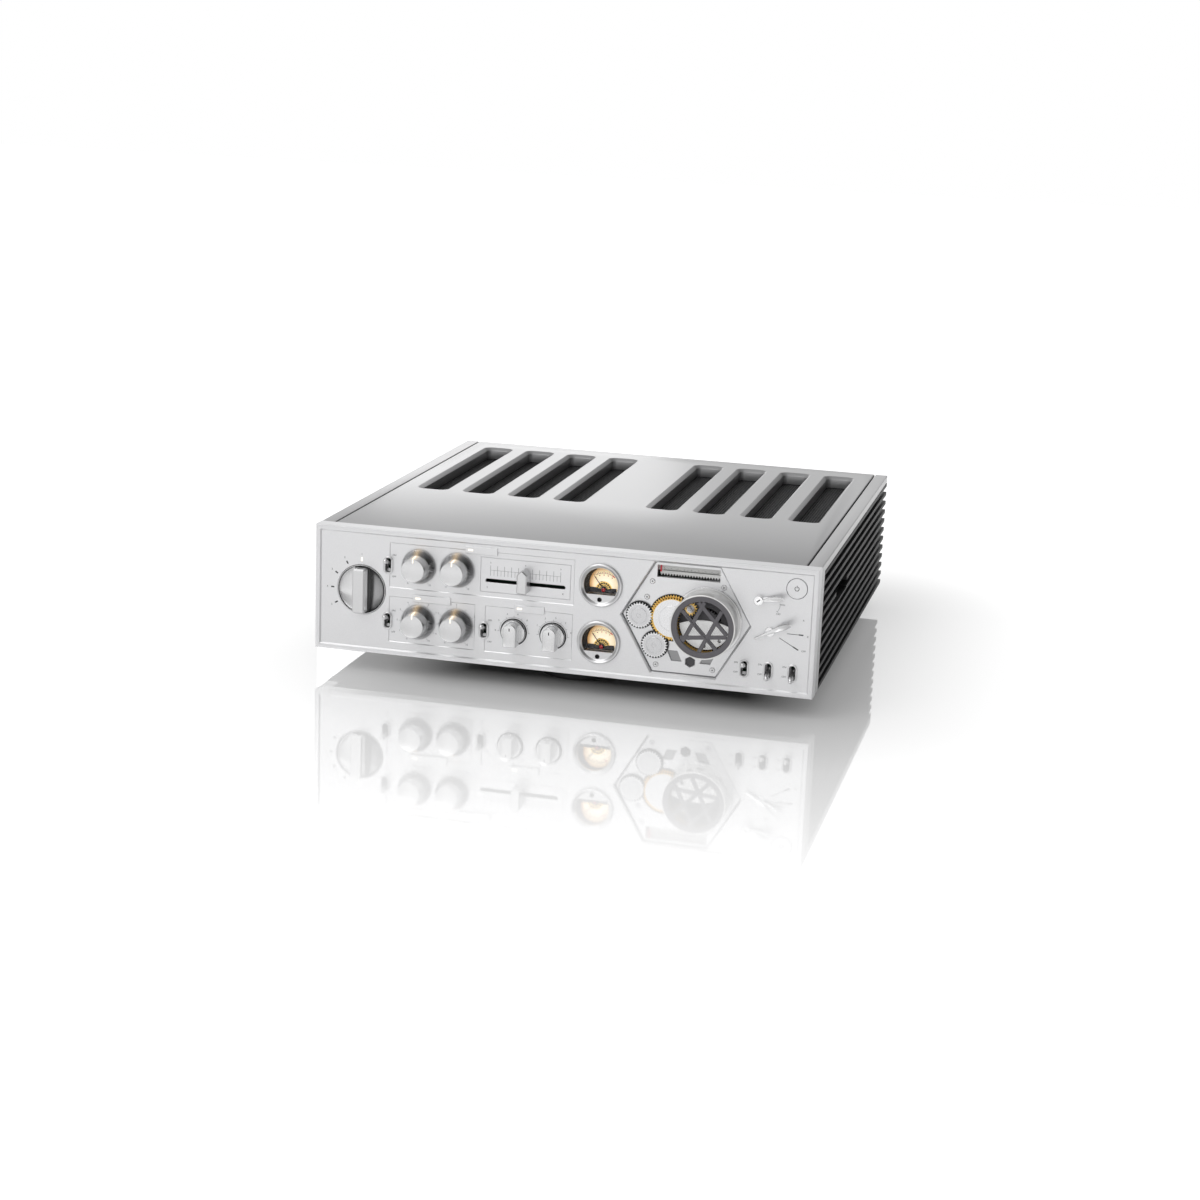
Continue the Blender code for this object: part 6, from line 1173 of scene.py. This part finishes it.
def makeWheel():
    front, rear, bore, radius = wheel["front"], wheel["rear"], wheel["bore"], wheel["radius"]
    lip, step = wheel["seat"], wheel["step"]
    profile = [(bore, step), (lip - 0.05, step), (lip - 0.05, front + 0.1), (lip + 0.05, front),
               (radius - 0.22, front), (radius - 0.06, front + 0.1), (radius, front + 0.3),
               (radius, rear - 0.3), (radius - 0.3, rear), (bore, rear)]
    bm = turned(profile, wheelCentre, steps=160, closed=True)
    addPiece("volumeWheel", bm, "wheelSilver", "volume_wheel", ["volume_wheel"])

    front, rear = wheel["grilleFront"], wheel["grilleRear"]
    inner, outer = wheel["grilleInner"], wheel["grille"]
    profile = [(inner, front + 0.5), (inner + 0.15, front + 0.15), (inner + 0.5, front), (outer - 0.1, front),
               (outer, front + 0.1), (outer, rear), (inner, rear)]
    bm = turned(profile, wheelCentre, steps=128, closed=True)
    addPiece("grilleRing", bm, "grilleGrey", "volume_wheel", ["wheel_grille"])
    bm, beads = bmesh.new(), bmesh.new()
    depth = rear - front - 0.4
    for degrees, share, sunk in wheel["bars"]:
        offset = share * inner
        half = math.sqrt((inner + 0.6) ** 2 - (abs(offset) + wheel["barWidth"] / 2) ** 2)
        single = bmesh.new()
        block(single, Vector((0, (front + 0.15 + sunk / 2 + depth / 2) * mm, offset * mm)),
              (2 * half, depth - sunk, wheel["barWidth"]))
        softened(single, 0.5, 3)
        turn = Matrix.Translation(atDepth(wheelCentre, 0)) @ tilted(-degrees)
        joined(bm, single, turn)
        if (degrees, share) != wheel["beadBar"]:
            continue
        for start in wheel["beadStarts"]:
            for index in range(wheel["beads"]):
                along = start + index * wheel["beadPitch"]
                place = turn @ Vector((along * mm, (front + 0.62) * mm, offset * mm))
                bmesh.ops.create_uvsphere(beads, u_segments=12, v_segments=8, radius=wheel["beadRadius"] * mm,
                                          matrix=Matrix.Translation(place))
    addPiece("grilleBars", bm, "grilleGrey", "volume_wheel", ())
    addPiece("grilleBeads", beads, "darkSteel", "volume_wheel", ())

    face = wheel["bearingFront"]
    profile = tube(wheel["bearingBore"], wheel["bearing"], face, wheel["bearingRear"])
    bm = turned(profile, wheelCentre, steps=96, closed=True)
    bm = carved(bm, turned(rod(plate["roomRadius"], 0.7, 5.5), gearCentre, steps=96))
    cuts = bmesh.new()
    opening(cuts, pivots["inner_idler"], wheel["idlerHole"], 0.9, face, steps=24)
    addPiece("wheelBearing", carved(bm, cuts), "darkSteel", stands=["wheel_bearing"])

    # The bridge is a disc whose top is cut to a wide arc
    radius, arc = wheel["bridgeRadius"], wheel["bridgeArc"]
    front, rear = wheel["bridgeFront"], wheel["bridgeRear"]
    profile = [(0, front), (radius - 0.2, front), (radius, front + 0.2), (radius, rear), (0, rear)]
    bm = turned(profile, wheelCentre, steps=96)
    arcCentre = shifted(wheelCentre, 0, 0, wheel["bridgeTop"] - arc)
    bm = carved(bm, turned(rod(arc, front - 1, rear + 1), arcCentre, steps=128), "INTERSECT")
    softened(bm, 0.15, 1, limit=60)
    addPiece("innerBridge", bm, "bridgeWhite", stands=["inner_bridge"])
    bm = bmesh.new()
    post = (radius - gearing["module"] * teeth["sun"] / 2 - gearing["addendum"]) / 3
    profile = [(0, front - 0.02), (post * 0.6, front - 0.02), (post * 0.6, rear - 0.1), (post, rear - 0.1),
               (post, face - 0.3), (0, face - 0.3)]
    for degrees in wheel["bridgePosts"]:
        lathe(bm, profile, polar(wheelCentre, radius - post - 0.3, degrees), steps=24)
    addPiece("bridgePosts", bm, "turnedSilver")


makeWheel()


scale = dict(ticks=41, start=300.2, pitch=1.14, long=1.7, short=1.0, tickWidth=0.22, line=(323.0, 46.4),
             rackTeeth=25, rackBack=2.4, rackFront=9.12, rackThickness=1.75, pointer=(1.2, 0.5, 6.6))


def makeScale():
    low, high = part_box("scale_plate")
    bm = bmesh.new()
    blockBetween(bm, low, high)
    softened(bm, 0.15, 1)
    addPiece("scalePlate", bm, "whiteEnamel", stands=["scale_plate"])
    ink = bmesh.new()
    depth, bottom = (low.y - panelLow.y) / mm, (panelHigh.z - low.z) / mm
    for index in range(scale["ticks"]):
        tall = scale["short"] if index % 5 else scale["long"]
        across = scale["start"] + index * scale["pitch"]
        mark(ink, spot(across, bottom - 0.35 - tall / 2, depth), scale["tickWidth"], tall)
    across, length = scale["line"]
    mark(ink, spot(across, bottom - 0.25, depth), length, 0.2)
    addPiece("scaleTicks", ink, "blackInk")

    low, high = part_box("scale_rack")
    pitch = math.pi * gearing["module"]
    slope = math.tan(math.radians(gearing["pressure"]))
    half = gearing["toothShare"] * pitch / 2
    halfTip, halfRoot = half - gearing["addendum"] * slope, half + gearing["dedendum"] * slope
    line, start, end = low.z / mm + gearing["addendum"], low.x / mm, low.x / mm + scale["rackTeeth"] * pitch
    tip, base = line - gearing["addendum"], line + gearing["dedendum"]
    outline = [(start, base + scale["rackBack"]), (start, base)]
    for tooth in range(scale["rackTeeth"]):
        middle = start + (tooth + 0.5) * pitch
        outline += [(middle - halfRoot, base), (middle - halfTip, tip), (middle + halfTip, tip),
                    (middle + halfRoot, base)]
    outline += [(end, base), (end, base + scale["rackBack"])]
    bm = bmesh.new()
    face = panelLow.y + scale["rackFront"] * mm
    bm.faces.new([bm.verts.new((x * mm, face, z * mm)) for x, z in outline])
    drawnOut(bm, (0, scale["rackThickness"] * mm, 0))
    softened(bm, 0.1, 1, limit=60)
    addPiece("scaleRack", bm, "whiteEnamel", "scale_rack", ["scale_rack"])
    bm = bmesh.new()
    width, thickness, height = scale["pointer"]
    corner = Vector((low.x, low.y, high.z))
    blockBetween(bm, shifted(corner, 0, 0, -height), shifted(corner, width, thickness))
    softened(bm, 0.08, 1)
    addPiece("scalePointer", bm, "redPaint", "scale_rack", ())


makeScale()
print("gear module made")


coverLow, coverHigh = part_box("top_cover")
top = panelHigh.z
cover = dict(thickness=3.0, skirtWall=2.0, ventWidth=23.5, ventLength=217, corner=5, mouth=2.8, wall=2,
             rearMargin=30, ventPitch=43.0, meshPitch=2.4, meshBorder=0.5, meshThickness=0.6, edge=0.6)
ventY = coverHigh.y - (cover["rearMargin"] + cover["ventLength"] / 2) * mm
ventXs = [side * cover["ventPitch"] * (index + 1) * mm for side in (-1, 1) for index in range(4)]


def makeCover():
    bm = bmesh.new()
    blockBetween(bm, coverLow, coverHigh)
    softened(bm, cover["edge"], 3)
    cuts = bmesh.new()
    wall = cover["skirtWall"]
    blockBetween(cuts, shifted(coverLow, wall, wall, -1),
                 shifted(coverHigh, -wall, -wall, -cover["thickness"]))
    bm = carved(bm, cuts)
    walls = bmesh.new()
    wide, deep = cover["ventWidth"] / 2 + cover["wall"], cover["ventLength"] / 2 + cover["wall"]
    for x in ventXs:
        blockBetween(walls, shifted(Vector((x, ventY, coverLow.z)), -wide, -deep),
                     shifted(Vector((x, ventY, top)), wide, deep, -1.5))
    bm = carved(bm, walls, "UNION")
    cuts = bmesh.new()
    corner, mouth = cover["corner"], cover["mouth"]
    high, low = top / mm, coverLow.z / mm
    profile = [(0, low - 1), (corner, low - 1), (corner, high - mouth - 0.4), (corner + 0.12, high - mouth),
               (corner + mouth - 0.3, high - 0.42), (corner + mouth + 0.5, high),
               (corner + mouth + 1, high + 1), (0, high + 1)]
    for x in ventXs:
        lathe(cuts, profile, Vector((x, ventY, 0)), steps=32, turn=5.625, up=True,
              stretch=(cover["ventWidth"] / 2 - corner, cover["ventLength"] / 2 - corner))
    addPiece("topCover", carved(bm, cuts), "coverSilver", stands=["top_cover"])

    half = cover["meshPitch"] * mm / 2
    across, along = [round((cover[key] + 2) / cover["meshPitch"]) for key in ("ventWidth", "ventLength")]
    for side, word in ((-1, "left"), (1, "right")):
        bm = bmesh.new()
        low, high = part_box("vent_mesh_" + word)
        for x in [item for item in ventXs if item * side > 0]:
            place = Matrix.Translation((x, ventY, (low.z + high.z) / 2))
            bmesh.ops.create_grid(bm, x_segments=across, y_segments=along, size=1,
                                  matrix=place @ Matrix.Diagonal((across * half, along * half, 1, 1)))
        faces = list(bm.faces)
        bmesh.ops.inset_individual(bm, faces=faces, thickness=cover["meshBorder"] * mm)
        bmesh.ops.delete(bm, geom=faces, context="FACES")
        obj = addPiece("ventMesh" + word.title(), bm, "meshBlack", stands=["vent_mesh_" + word],
                       merge=False)
        solid = obj.modifiers.new("thickness", "SOLIDIFY")
        solid.thickness = cover["meshThickness"] * mm
        solid.offset = 0


makeCover()

frameSizes = dict(post=16.0, rail=7.0, edge=0.8)
sink = dict(web=3.4, overlap=0.3, count=12, share=0.42, pocketStart=108, pocketLength=62, pocketRise=0.55,
            pocketHeight=14, pocketDepth=6, edge=0.35)


def makeSides():
    for side, word in ((-1, "left"), (1, "right")):
        # The frame's outline is drawn out sideways
        low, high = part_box("side_frame_" + word)
        post, rail = low.y + frameSizes["post"] * mm, high.z - frameSizes["rail"] * mm
        outline = ((low.y, low.z), (post, low.z), (post, rail), (high.y, rail), (high.y, high.z),
                   (low.y, high.z))
        bm = bmesh.new()
        bm.faces.new([bm.verts.new((low.x, y, z)) for y, z in outline])
        drawnOut(bm, (high.x - low.x, 0, 0))
        softened(bm, frameSizes["edge"], 3)
        addPiece("sideFrame" + word.title(), bm, "frameSilver", stands=["side_frame_" + word])

        low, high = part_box("heat_sink_" + word)
        inner, outer = (low.x, high.x) if side > 0 else (high.x, low.x)
        web = inner + side * sink["web"] * mm
        bm = bmesh.new()
        blockBetween(bm, (min(inner, web), low.y, low.z), (max(inner, web), high.y, high.z))
        softened(bm, 0.2, 1)
        addPiece("sinkWeb" + word.title(), bm, "blackMetal", stands=["heat_sink_" + word])
        bm = bmesh.new()
        pitch = (high.z - low.z) / (sink["count"] - 1 + sink["share"])
        left, right = sorted((web - side * sink["overlap"] * mm, outer))
        for index in range(sink["count"]):
            z = low.z + index * pitch
            blockBetween(bm, (left, low.y, z), (right, high.y, z + pitch * sink["share"]))
        softened(bm, sink["edge"], 2)
        cuts = bmesh.new()
        start, bottom = panelLow.y + sink["pocketStart"] * mm, low.z + sink["pocketRise"] * (high.z - low.z)
        left, right = sorted((outer - side * sink["pocketDepth"] * mm, outer + side * mm))
        blockBetween(cuts, (left, start, bottom),
                     (right, start + sink["pocketLength"] * mm, bottom + sink["pocketHeight"] * mm))
        addPiece("sinkFins" + word.title(), carved(bm, cuts), "blackMetal")


makeSides()

jointShade = dict(half=0.4, drop=2, sunkLeft=0.3, sunkRight=0.6)


def makeGaskets():
    # Black strips in the joints between the cover and the frame rails, painted shade of the gaps, sunk deeper
    # on the right
    bm = bmesh.new()
    half, drop = jointShade["half"] * mm, jointShade["drop"] * mm
    for x, sunk in ((coverLow.x, jointShade["sunkLeft"]), (coverHigh.x, jointShade["sunkRight"])):
        blockBetween(bm, (x - half, coverLow.y, top - drop), (x + half, coverHigh.y, top - sunk * mm))
    addPiece("coverJoints", bm, "blackPlastic")


makeGaskets()

# Radius and height of a foot's outline
footProfile = ((0, 0), (26.4, 0), (27.0, 0.3), (27.0, 1.4), (30.2, 1.4), (31.6, 2.0), (32.0, 3.2),
               (32.0, 9.4), (31.3, 9.9), (31.3, 10.7), (31.8, 11.2), (31.2, 17.8), (30.6, 18.65), (0, 18.65))


def makeFeet():
    for name in ("foot_front", "foot_rear_left", "foot_rear_right"):
        low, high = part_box(name)
        bm = turned(footProfile, (low + high) / 2, steps=96, up=True)
        addPiece(name.replace("_", ""), bm, "blackPlastic", stands=[name])


makeFeet()
print("case made")


# Nodes that show as they are, with a finish of their own
kept = {"base_tray": "blackMetal", "rear_panel": "blackMetal", "rear_bridge": "blackMetal",
        "mains_transformer": "copperWinding", "power_board": "boardGreen", "amplifier_board": "boardGreen",
        "control_board": "boardGreen", "mains_inlet": "blackPlastic", "mains_rocker": "blackPlastic",
        "speaker_terminals_left": "blackPlastic", "speaker_terminals_right": "blackPlastic",
        "input_block": "blackPlastic"}
for nodeName, lookName in kept.items():
    for materialSlot in frame["nodes"][nodeName].material_slots:
        materialSlot.material = looks[lookName]


# Places across and up are in millimetres from the middle and the floor, depths behind the panel's front
rearParts = dict(sockets=67.0, speakers=(-50, 150), inputs=50, inlet=-155, case=429.7, plate=432.5,
                 inputPlate=432.0, postPitch=25, jackPitch=17, screw=1.9,
                 caseScrews=(-196, -100, 0, 100, 196), caseHeights=(24.5, 110.5), nut=(4.9, 7.0),
                 band=(7.9, 8.25, 438.2, 439.6), cap=(4.6, 449.5, 449.95),
                 grip=(7.7, 8.3, 440.2, 448.6), signUp=11.2, characters=432.02,
                 jack=((3.0, 439.4), (4.4, 439.4), (4.4, 432.1), (4.15, 432.1), (4.15, 439.6), (4.3, 439.7),
                       (3.2, 439.7)),
                 jackRing=((4.3, 431.9), (6.1, 431.9), (6.1, 433.0), (5.8, 433.3), (4.3, 433.3)),
                 earth=((5.9, 435.0), (6.35, 435.0), (6.35, 442.6), (5.9, 443.2), (0, 443.2), (0, 442.9),
                        (5.7, 442.9), (5.7, 435.0)),
                 pins=((-7, -2.2), (7, -2.2), (0, 2.6)), pinDepth=423, pin=(2, 13.5, 5))
rocker = dict(tilt=8, face=4, half=6.5, peak=1.2, markUp=3.9, line=(0.7, 0.16, 3.2), ring=(1.0, 1.6))


def rearSpot(x, z, depth=0):
    return Vector((x * mm, panelLow.y + depth * mm, z * mm))


def rearScrews(bm, slots, places, depth):
    radius = rearParts["screw"]
    profile = [(radius, depth - 0.3), (radius, depth + 0.5), (radius - 0.45, depth + 0.85), (0, depth + 0.9)]
    for x, z in places:
        lathe(bm, profile, rearSpot(x, z), steps=24)
        # Black crosses on the heads: painted shade of the slots
        for degrees in (45, -45):
            block(slots, rearSpot(x, z, depth + 0.9), (radius * 1.2, 0.1, 0.45), tilted(degrees))


def ribbed(verts, centre, least, depth, steps=48):
    # Every other column of a turned shape's outer points moves in
    for vert in verts:
        off = (vert.co - centre).xz
        if off.length > least * mm and round(math.atan2(off.y, off.x) / tau * steps) % 2:
            cut = off.normalized() * (depth * mm)
            vert.co.x -= cut.x
            vert.co.z -= cut.y


def makeRear():
    screws, slots, gold, red, white, black = [bmesh.new() for each in range(6)]
    level, base, inlet, inputs = [rearParts[key] for key in ("sockets", "plate", "inlet", "inputs")]
    places = [(x, z) for x in rearParts["caseScrews"] for z in rearParts["caseHeights"]]
    rearScrews(screws, slots, places, rearParts["case"])
    rearScrews(screws, slots, [(inlet + x, level) for x in (-20, 20)], base)
    for right in rearParts["speakers"]:
        rearScrews(screws, slots, [(right + x, level + z) for x in (-25, 25) for z in (-23, 23)], base)
        for x, z in ((-0.5, -0.5), (-0.5, 0.5), (0.5, -0.5), (0.5, 0.5)):
            post = rearSpot(right + x * rearParts["postPitch"], level + z * rearParts["postPitch"])
            tint, sign = (red, "+") if x > 0 else (black, "-")
            lathe(gold, tube(*rearParts["nut"], base - 0.1, base + 1.6), post, steps=6, closed=True)
            lathe(tint, tube(*rearParts["band"]), post, steps=48, closed=True)
            lathe(tint, rod(*rearParts["cap"]), post, steps=32)
            ribbed(lathe(black, tube(*rearParts["grip"]), post, steps=48, closed=True), post, 8, 0.35)
            rise = math.copysign(rearParts["signUp"], z)
            letters(white, sign, shifted(post, 0, base + 0.02, rise), 2.6, back=True)
    pitch, characters = rearParts["jackPitch"], rearParts["characters"]
    for column in range(3):
        across = inputs + (column - 1.5) * pitch
        for row in (-0.5, 0.5):
            jack = rearSpot(across, level + row * pitch)
            lathe(gold, rearParts["jack"], jack, steps=48, closed=True)
            lathe(red if row < 0 else white, rearParts["jackRing"], jack, steps=48, closed=True)
            for degrees in (0, 90, 180, 270):
                block(gold, polar(jack, 2.35, degrees, 436), (0.7, 7, 0.7))
        letters(white, str(column + 1), rearSpot(across, level + 17.5, characters), 2.4, back=True)
    for words, row in (("L", 0.5), ("R", -0.5)):
        letters(white, words, rearSpot(inputs - 38, level + row * pitch, characters), 2.4, back=True)
    rearScrews(screws, slots, [(inputs + x, level + z) for x in (-51, 51) for z in (-18, 18)],
               rearParts["inputPlate"])
    ground = rearSpot(inputs + 1.5 * pitch, level)
    ribbed(lathe(gold, rearParts["earth"], ground, steps=48, closed=True), ground, 6.2, 0.3)
    pins = bmesh.new()
    for x, z in rearParts["pins"]:
        block(pins, rearSpot(inlet + x, level + z, rearParts["pinDepth"]), rearParts["pin"])
    softened(pins, 0.3, 2)

    # The rocker's two faces lean out from its middle, and the marks turn with them
    rest = Matrix.Translation(pivots["mains_rocker"]) @ tilted(rocker["tilt"], "X")
    rest = rest @ Matrix.Translation((0, rocker["face"] * mm, 0))
    lean = math.degrees(math.atan2(rocker["peak"], rocker["half"]))
    up = Matrix.Translation((0, 0, rocker["markUp"] * mm))
    upper, lower = rest @ tilted(-lean, "X") @ up, rest @ tilted(lean, "X") @ up.inverted()
    states = bmesh.new()
    block(states, upper.translation, rocker["line"], upper.to_3x3().to_4x4())
    ring = turned(tube(*rocker["ring"], -0.08, 0.08), Vector(), steps=32, closed=True)
    joined(states, ring, lower @ Matrix.Translation((0, -panelLow.y, 0)))
    addPiece("rockerMarks", states, "whiteEnamel", "mains_rocker")
    bmesh.ops.recalc_face_normals(gold, faces=gold.faces)
    addPiece("rearScrews", screws, "zincSteel")
    addPiece("rearScrewSlots", slots, "blackInk")
    addPiece("rearGold", gold, "gold")
    addPiece("rearRed", red, "insulatorRed")
    addPiece("rearWhite", white, "whiteEnamel", merge=False)
    addPiece("rearGrips", black, "blackPlastic")
    addPiece("inletPins", pins, "zincSteel")


makeRear()
print("rear made")

view = dict(place=(0.4655, -2.0022, 0.5508), lens=68.94, yaw=-0.23685, pitch=-0.24819, roll=0.039522)


def makeCamera():
    yaw, pitch, roll = view["yaw"], view["pitch"], view["roll"]
    forward = Vector((math.sin(yaw) * math.cos(pitch), math.cos(yaw) * math.cos(pitch), math.sin(pitch)))
    level = Vector((math.cos(yaw), -math.sin(yaw), 0))
    upright = level.cross(forward)
    right = math.cos(roll) * level + math.sin(roll) * upright
    up = -math.sin(roll) * level + math.cos(roll) * upright
    camera = linked("camera", bpy.data.cameras.new("camera"))
    turn = Matrix((right, up, -forward)).transposed().to_4x4()
    camera.matrix_world = Matrix.Translation(view["place"]) @ turn
    camera.data.lens = view["lens"]
    camera.data.sensor_width = 36
    bpy.context.scene.camera = camera


lights = {"key": dict(kind="SUN", energy=0.86, angle=40, place=(-1.0, -1.5, 2.0)),
          "fill": dict(kind="SUN", energy=0.5, angle=70, place=(0.35, -1.5, 0.3)),
          "rear": dict(kind="AREA", energy=1.0, size=0.6, place=(-0.58, 1.6, 0.37))}


def makeLights():
    for name, values in lights.items():
        lamp = bpy.data.lights.new(name, values["kind"])
        lamp.energy = values["energy"]
        if values["kind"] == "SUN":
            lamp.angle = math.radians(values["angle"])
        else:
            lamp.size = values["size"]
        obj = linked(name, lamp)
        obj.location = values["place"]
        obj.rotation_mode = "QUATERNION"
        obj.rotation_quaternion = Vector(values["place"]).to_track_quat("Z", "Y")
        obj.visible_camera = False


def either(tree, first, second):
    # The greater of two values
    return addNode(tree, "Math", {0: first, 1: second}, operation="MAXIMUM").outputs["Value"]


def smoothed(tree, value, low, high, start=0.0, end=1.0):
    shade = addNode(tree, "MapRange", {"Value": value, "From Min": low, "From Max": high, "To Min": start,
                                       "To Max": end}, interpolation_type="SMOOTHSTEP")
    return shade.outputs["Result"]


def blended(tree, output, share, first, second):
    # Two shaders mixed by a share, as the tree's surface
    mixed = addNode(tree, "MixShader", {"Fac": share, 1: first, 2: second})
    addNode(tree, output, {"Surface": mixed.outputs["Shader"]})


# Directions that grow brighter, and where they start and end
studio = dict(slant=(-0.75, 0.15, 0.35), slantRange=(-0.5, 0.5, 0.04, 0.6), backdrop=(-0.25, 0.95, 0.19),
              backdropRange=(0.83, 0.99))


def makeWorld():
    # White behind the object and to its left, dimmer to its right
    world = bpy.data.worlds.new("studio")
    world.use_nodes = True
    bpy.context.scene.world = world
    tree = world.node_tree
    tree.nodes.clear()
    path = addNode(tree, "LightPath").outputs
    toward = addNode(tree, "TexCoord").outputs["Generated"]
    slant = addNode(tree, "VectorMath", {0: toward, 1: studio["slant"]}, operation="DOT_PRODUCT")
    shade = smoothed(tree, slant.outputs["Value"], *studio["slantRange"])
    behind = addNode(tree, "VectorMath", {0: toward, 1: studio["backdrop"]}, operation="DOT_PRODUCT")
    backdrop = smoothed(tree, behind.outputs["Value"], *studio["backdropRange"])
    around = addNode(tree, "Background", {"Color": (1, 1, 1, 1), "Strength": either(tree, shade, backdrop)})
    white = addNode(tree, "Background", {"Color": (1, 1, 1, 1), "Strength": 1.0})
    shown = either(tree, path["Is Camera Ray"], path["Is Transmission Ray"])
    blended(tree, "OutputWorld", shown, around.outputs["Background"], white.outputs["Background"])


# The lift gives the floor's white at distances from the object's footprint, fading to painted shade near and
# under it
floorSizes = dict(half=6, tint=0.6, mirror=0.40, mirrorRange=(0.25, 1.0), mirrorReach=(1.0, 0.8),
                  mirrorCentre=(0.0, -0.1), shadowShift=(-0.03, 0, 0), footprint=(0.12, 0.165, 0),
                  lift=((0.0, 0.0), (1.0, 0.80), (0.07, 0.38), (0.2, 0.64), (0.4, 0.74)))


def makeFloor():
    # White, with a mirror sheen near the object that fades out around it
    bm = bmesh.new()
    bmesh.ops.create_grid(bm, x_segments=1, y_segments=1, size=floorSizes["half"])
    floor = linked("floor", meshOf(bm, "floor"))
    material, tree = newMaterial("floorWhite")[:2]
    tree.nodes.clear()
    path = addNode(tree, "LightPath").outputs
    place = addNode(tree, "TexCoord").outputs["Object"]
    tint = floorSizes["tint"]
    matt = addNode(tree, "BsdfDiffuse", {"Color": (tint, tint, tint, 1)})
    # The floor's own white, for the camera and for what metal and glass show, dies away under the object into
    # painted shade
    seen = either(tree, path["Is Camera Ray"], path["Is Glossy Ray"])
    shown = either(tree, seen, path["Is Transmission Ray"])
    off = addNode(tree, "Mapping", {"Vector": place, "Location": floorSizes["shadowShift"]}).outputs["Vector"]
    off = addNode(tree, "VectorMath", {0: off}, operation="ABSOLUTE").outputs["Vector"]
    for operation, value in (("SUBTRACT", floorSizes["footprint"]), ("MAXIMUM", (0, 0, 0))):
        off = addNode(tree, "VectorMath", {0: off, 1: value}, operation=operation).outputs["Vector"]
    distance = addNode(tree, "VectorMath", {0: off}, operation="LENGTH").outputs["Value"]
    shadowedLift = ramped(tree, distance, [(at, (level, level, level)) for at, level in floorSizes["lift"]])
    masked = addNode(tree, "Math", {0: shown, 1: shadowedLift}, operation="MULTIPLY").outputs["Value"]
    lift = addNode(tree, "Emission", {"Strength": masked})
    lit = addNode(tree, "AddShader", {0: matt.outputs["BSDF"], 1: lift.outputs["Emission"]})
    mirror = addNode(tree, "BsdfGlossy", {"Color": (1, 1, 1, 1), "Roughness": 0.03})
    (wide, deep), (x, y) = floorSizes["mirrorReach"], floorSizes["mirrorCentre"]
    near = addNode(tree, "Mapping", {"Vector": place, "Scale": (1 / wide, 1 / deep, 1),
                                     "Location": (-x / wide, -y / deep, 0)}).outputs["Vector"]
    away = addNode(tree, "VectorMath", {0: near}, operation="LENGTH").outputs["Value"]
    share = smoothed(tree, away, *floorSizes["mirrorRange"], floorSizes["mirror"], 0.0)
    blended(tree, "OutputMaterial", share, lit.outputs["Shader"], mirror.outputs["BSDF"])
    floor.data.materials.append(material)


makeCamera()
makeLights()
makeWorld()
makeFloor()
bpy.context.scene.view_settings.view_transform = "Standard"
print("camera and light set")
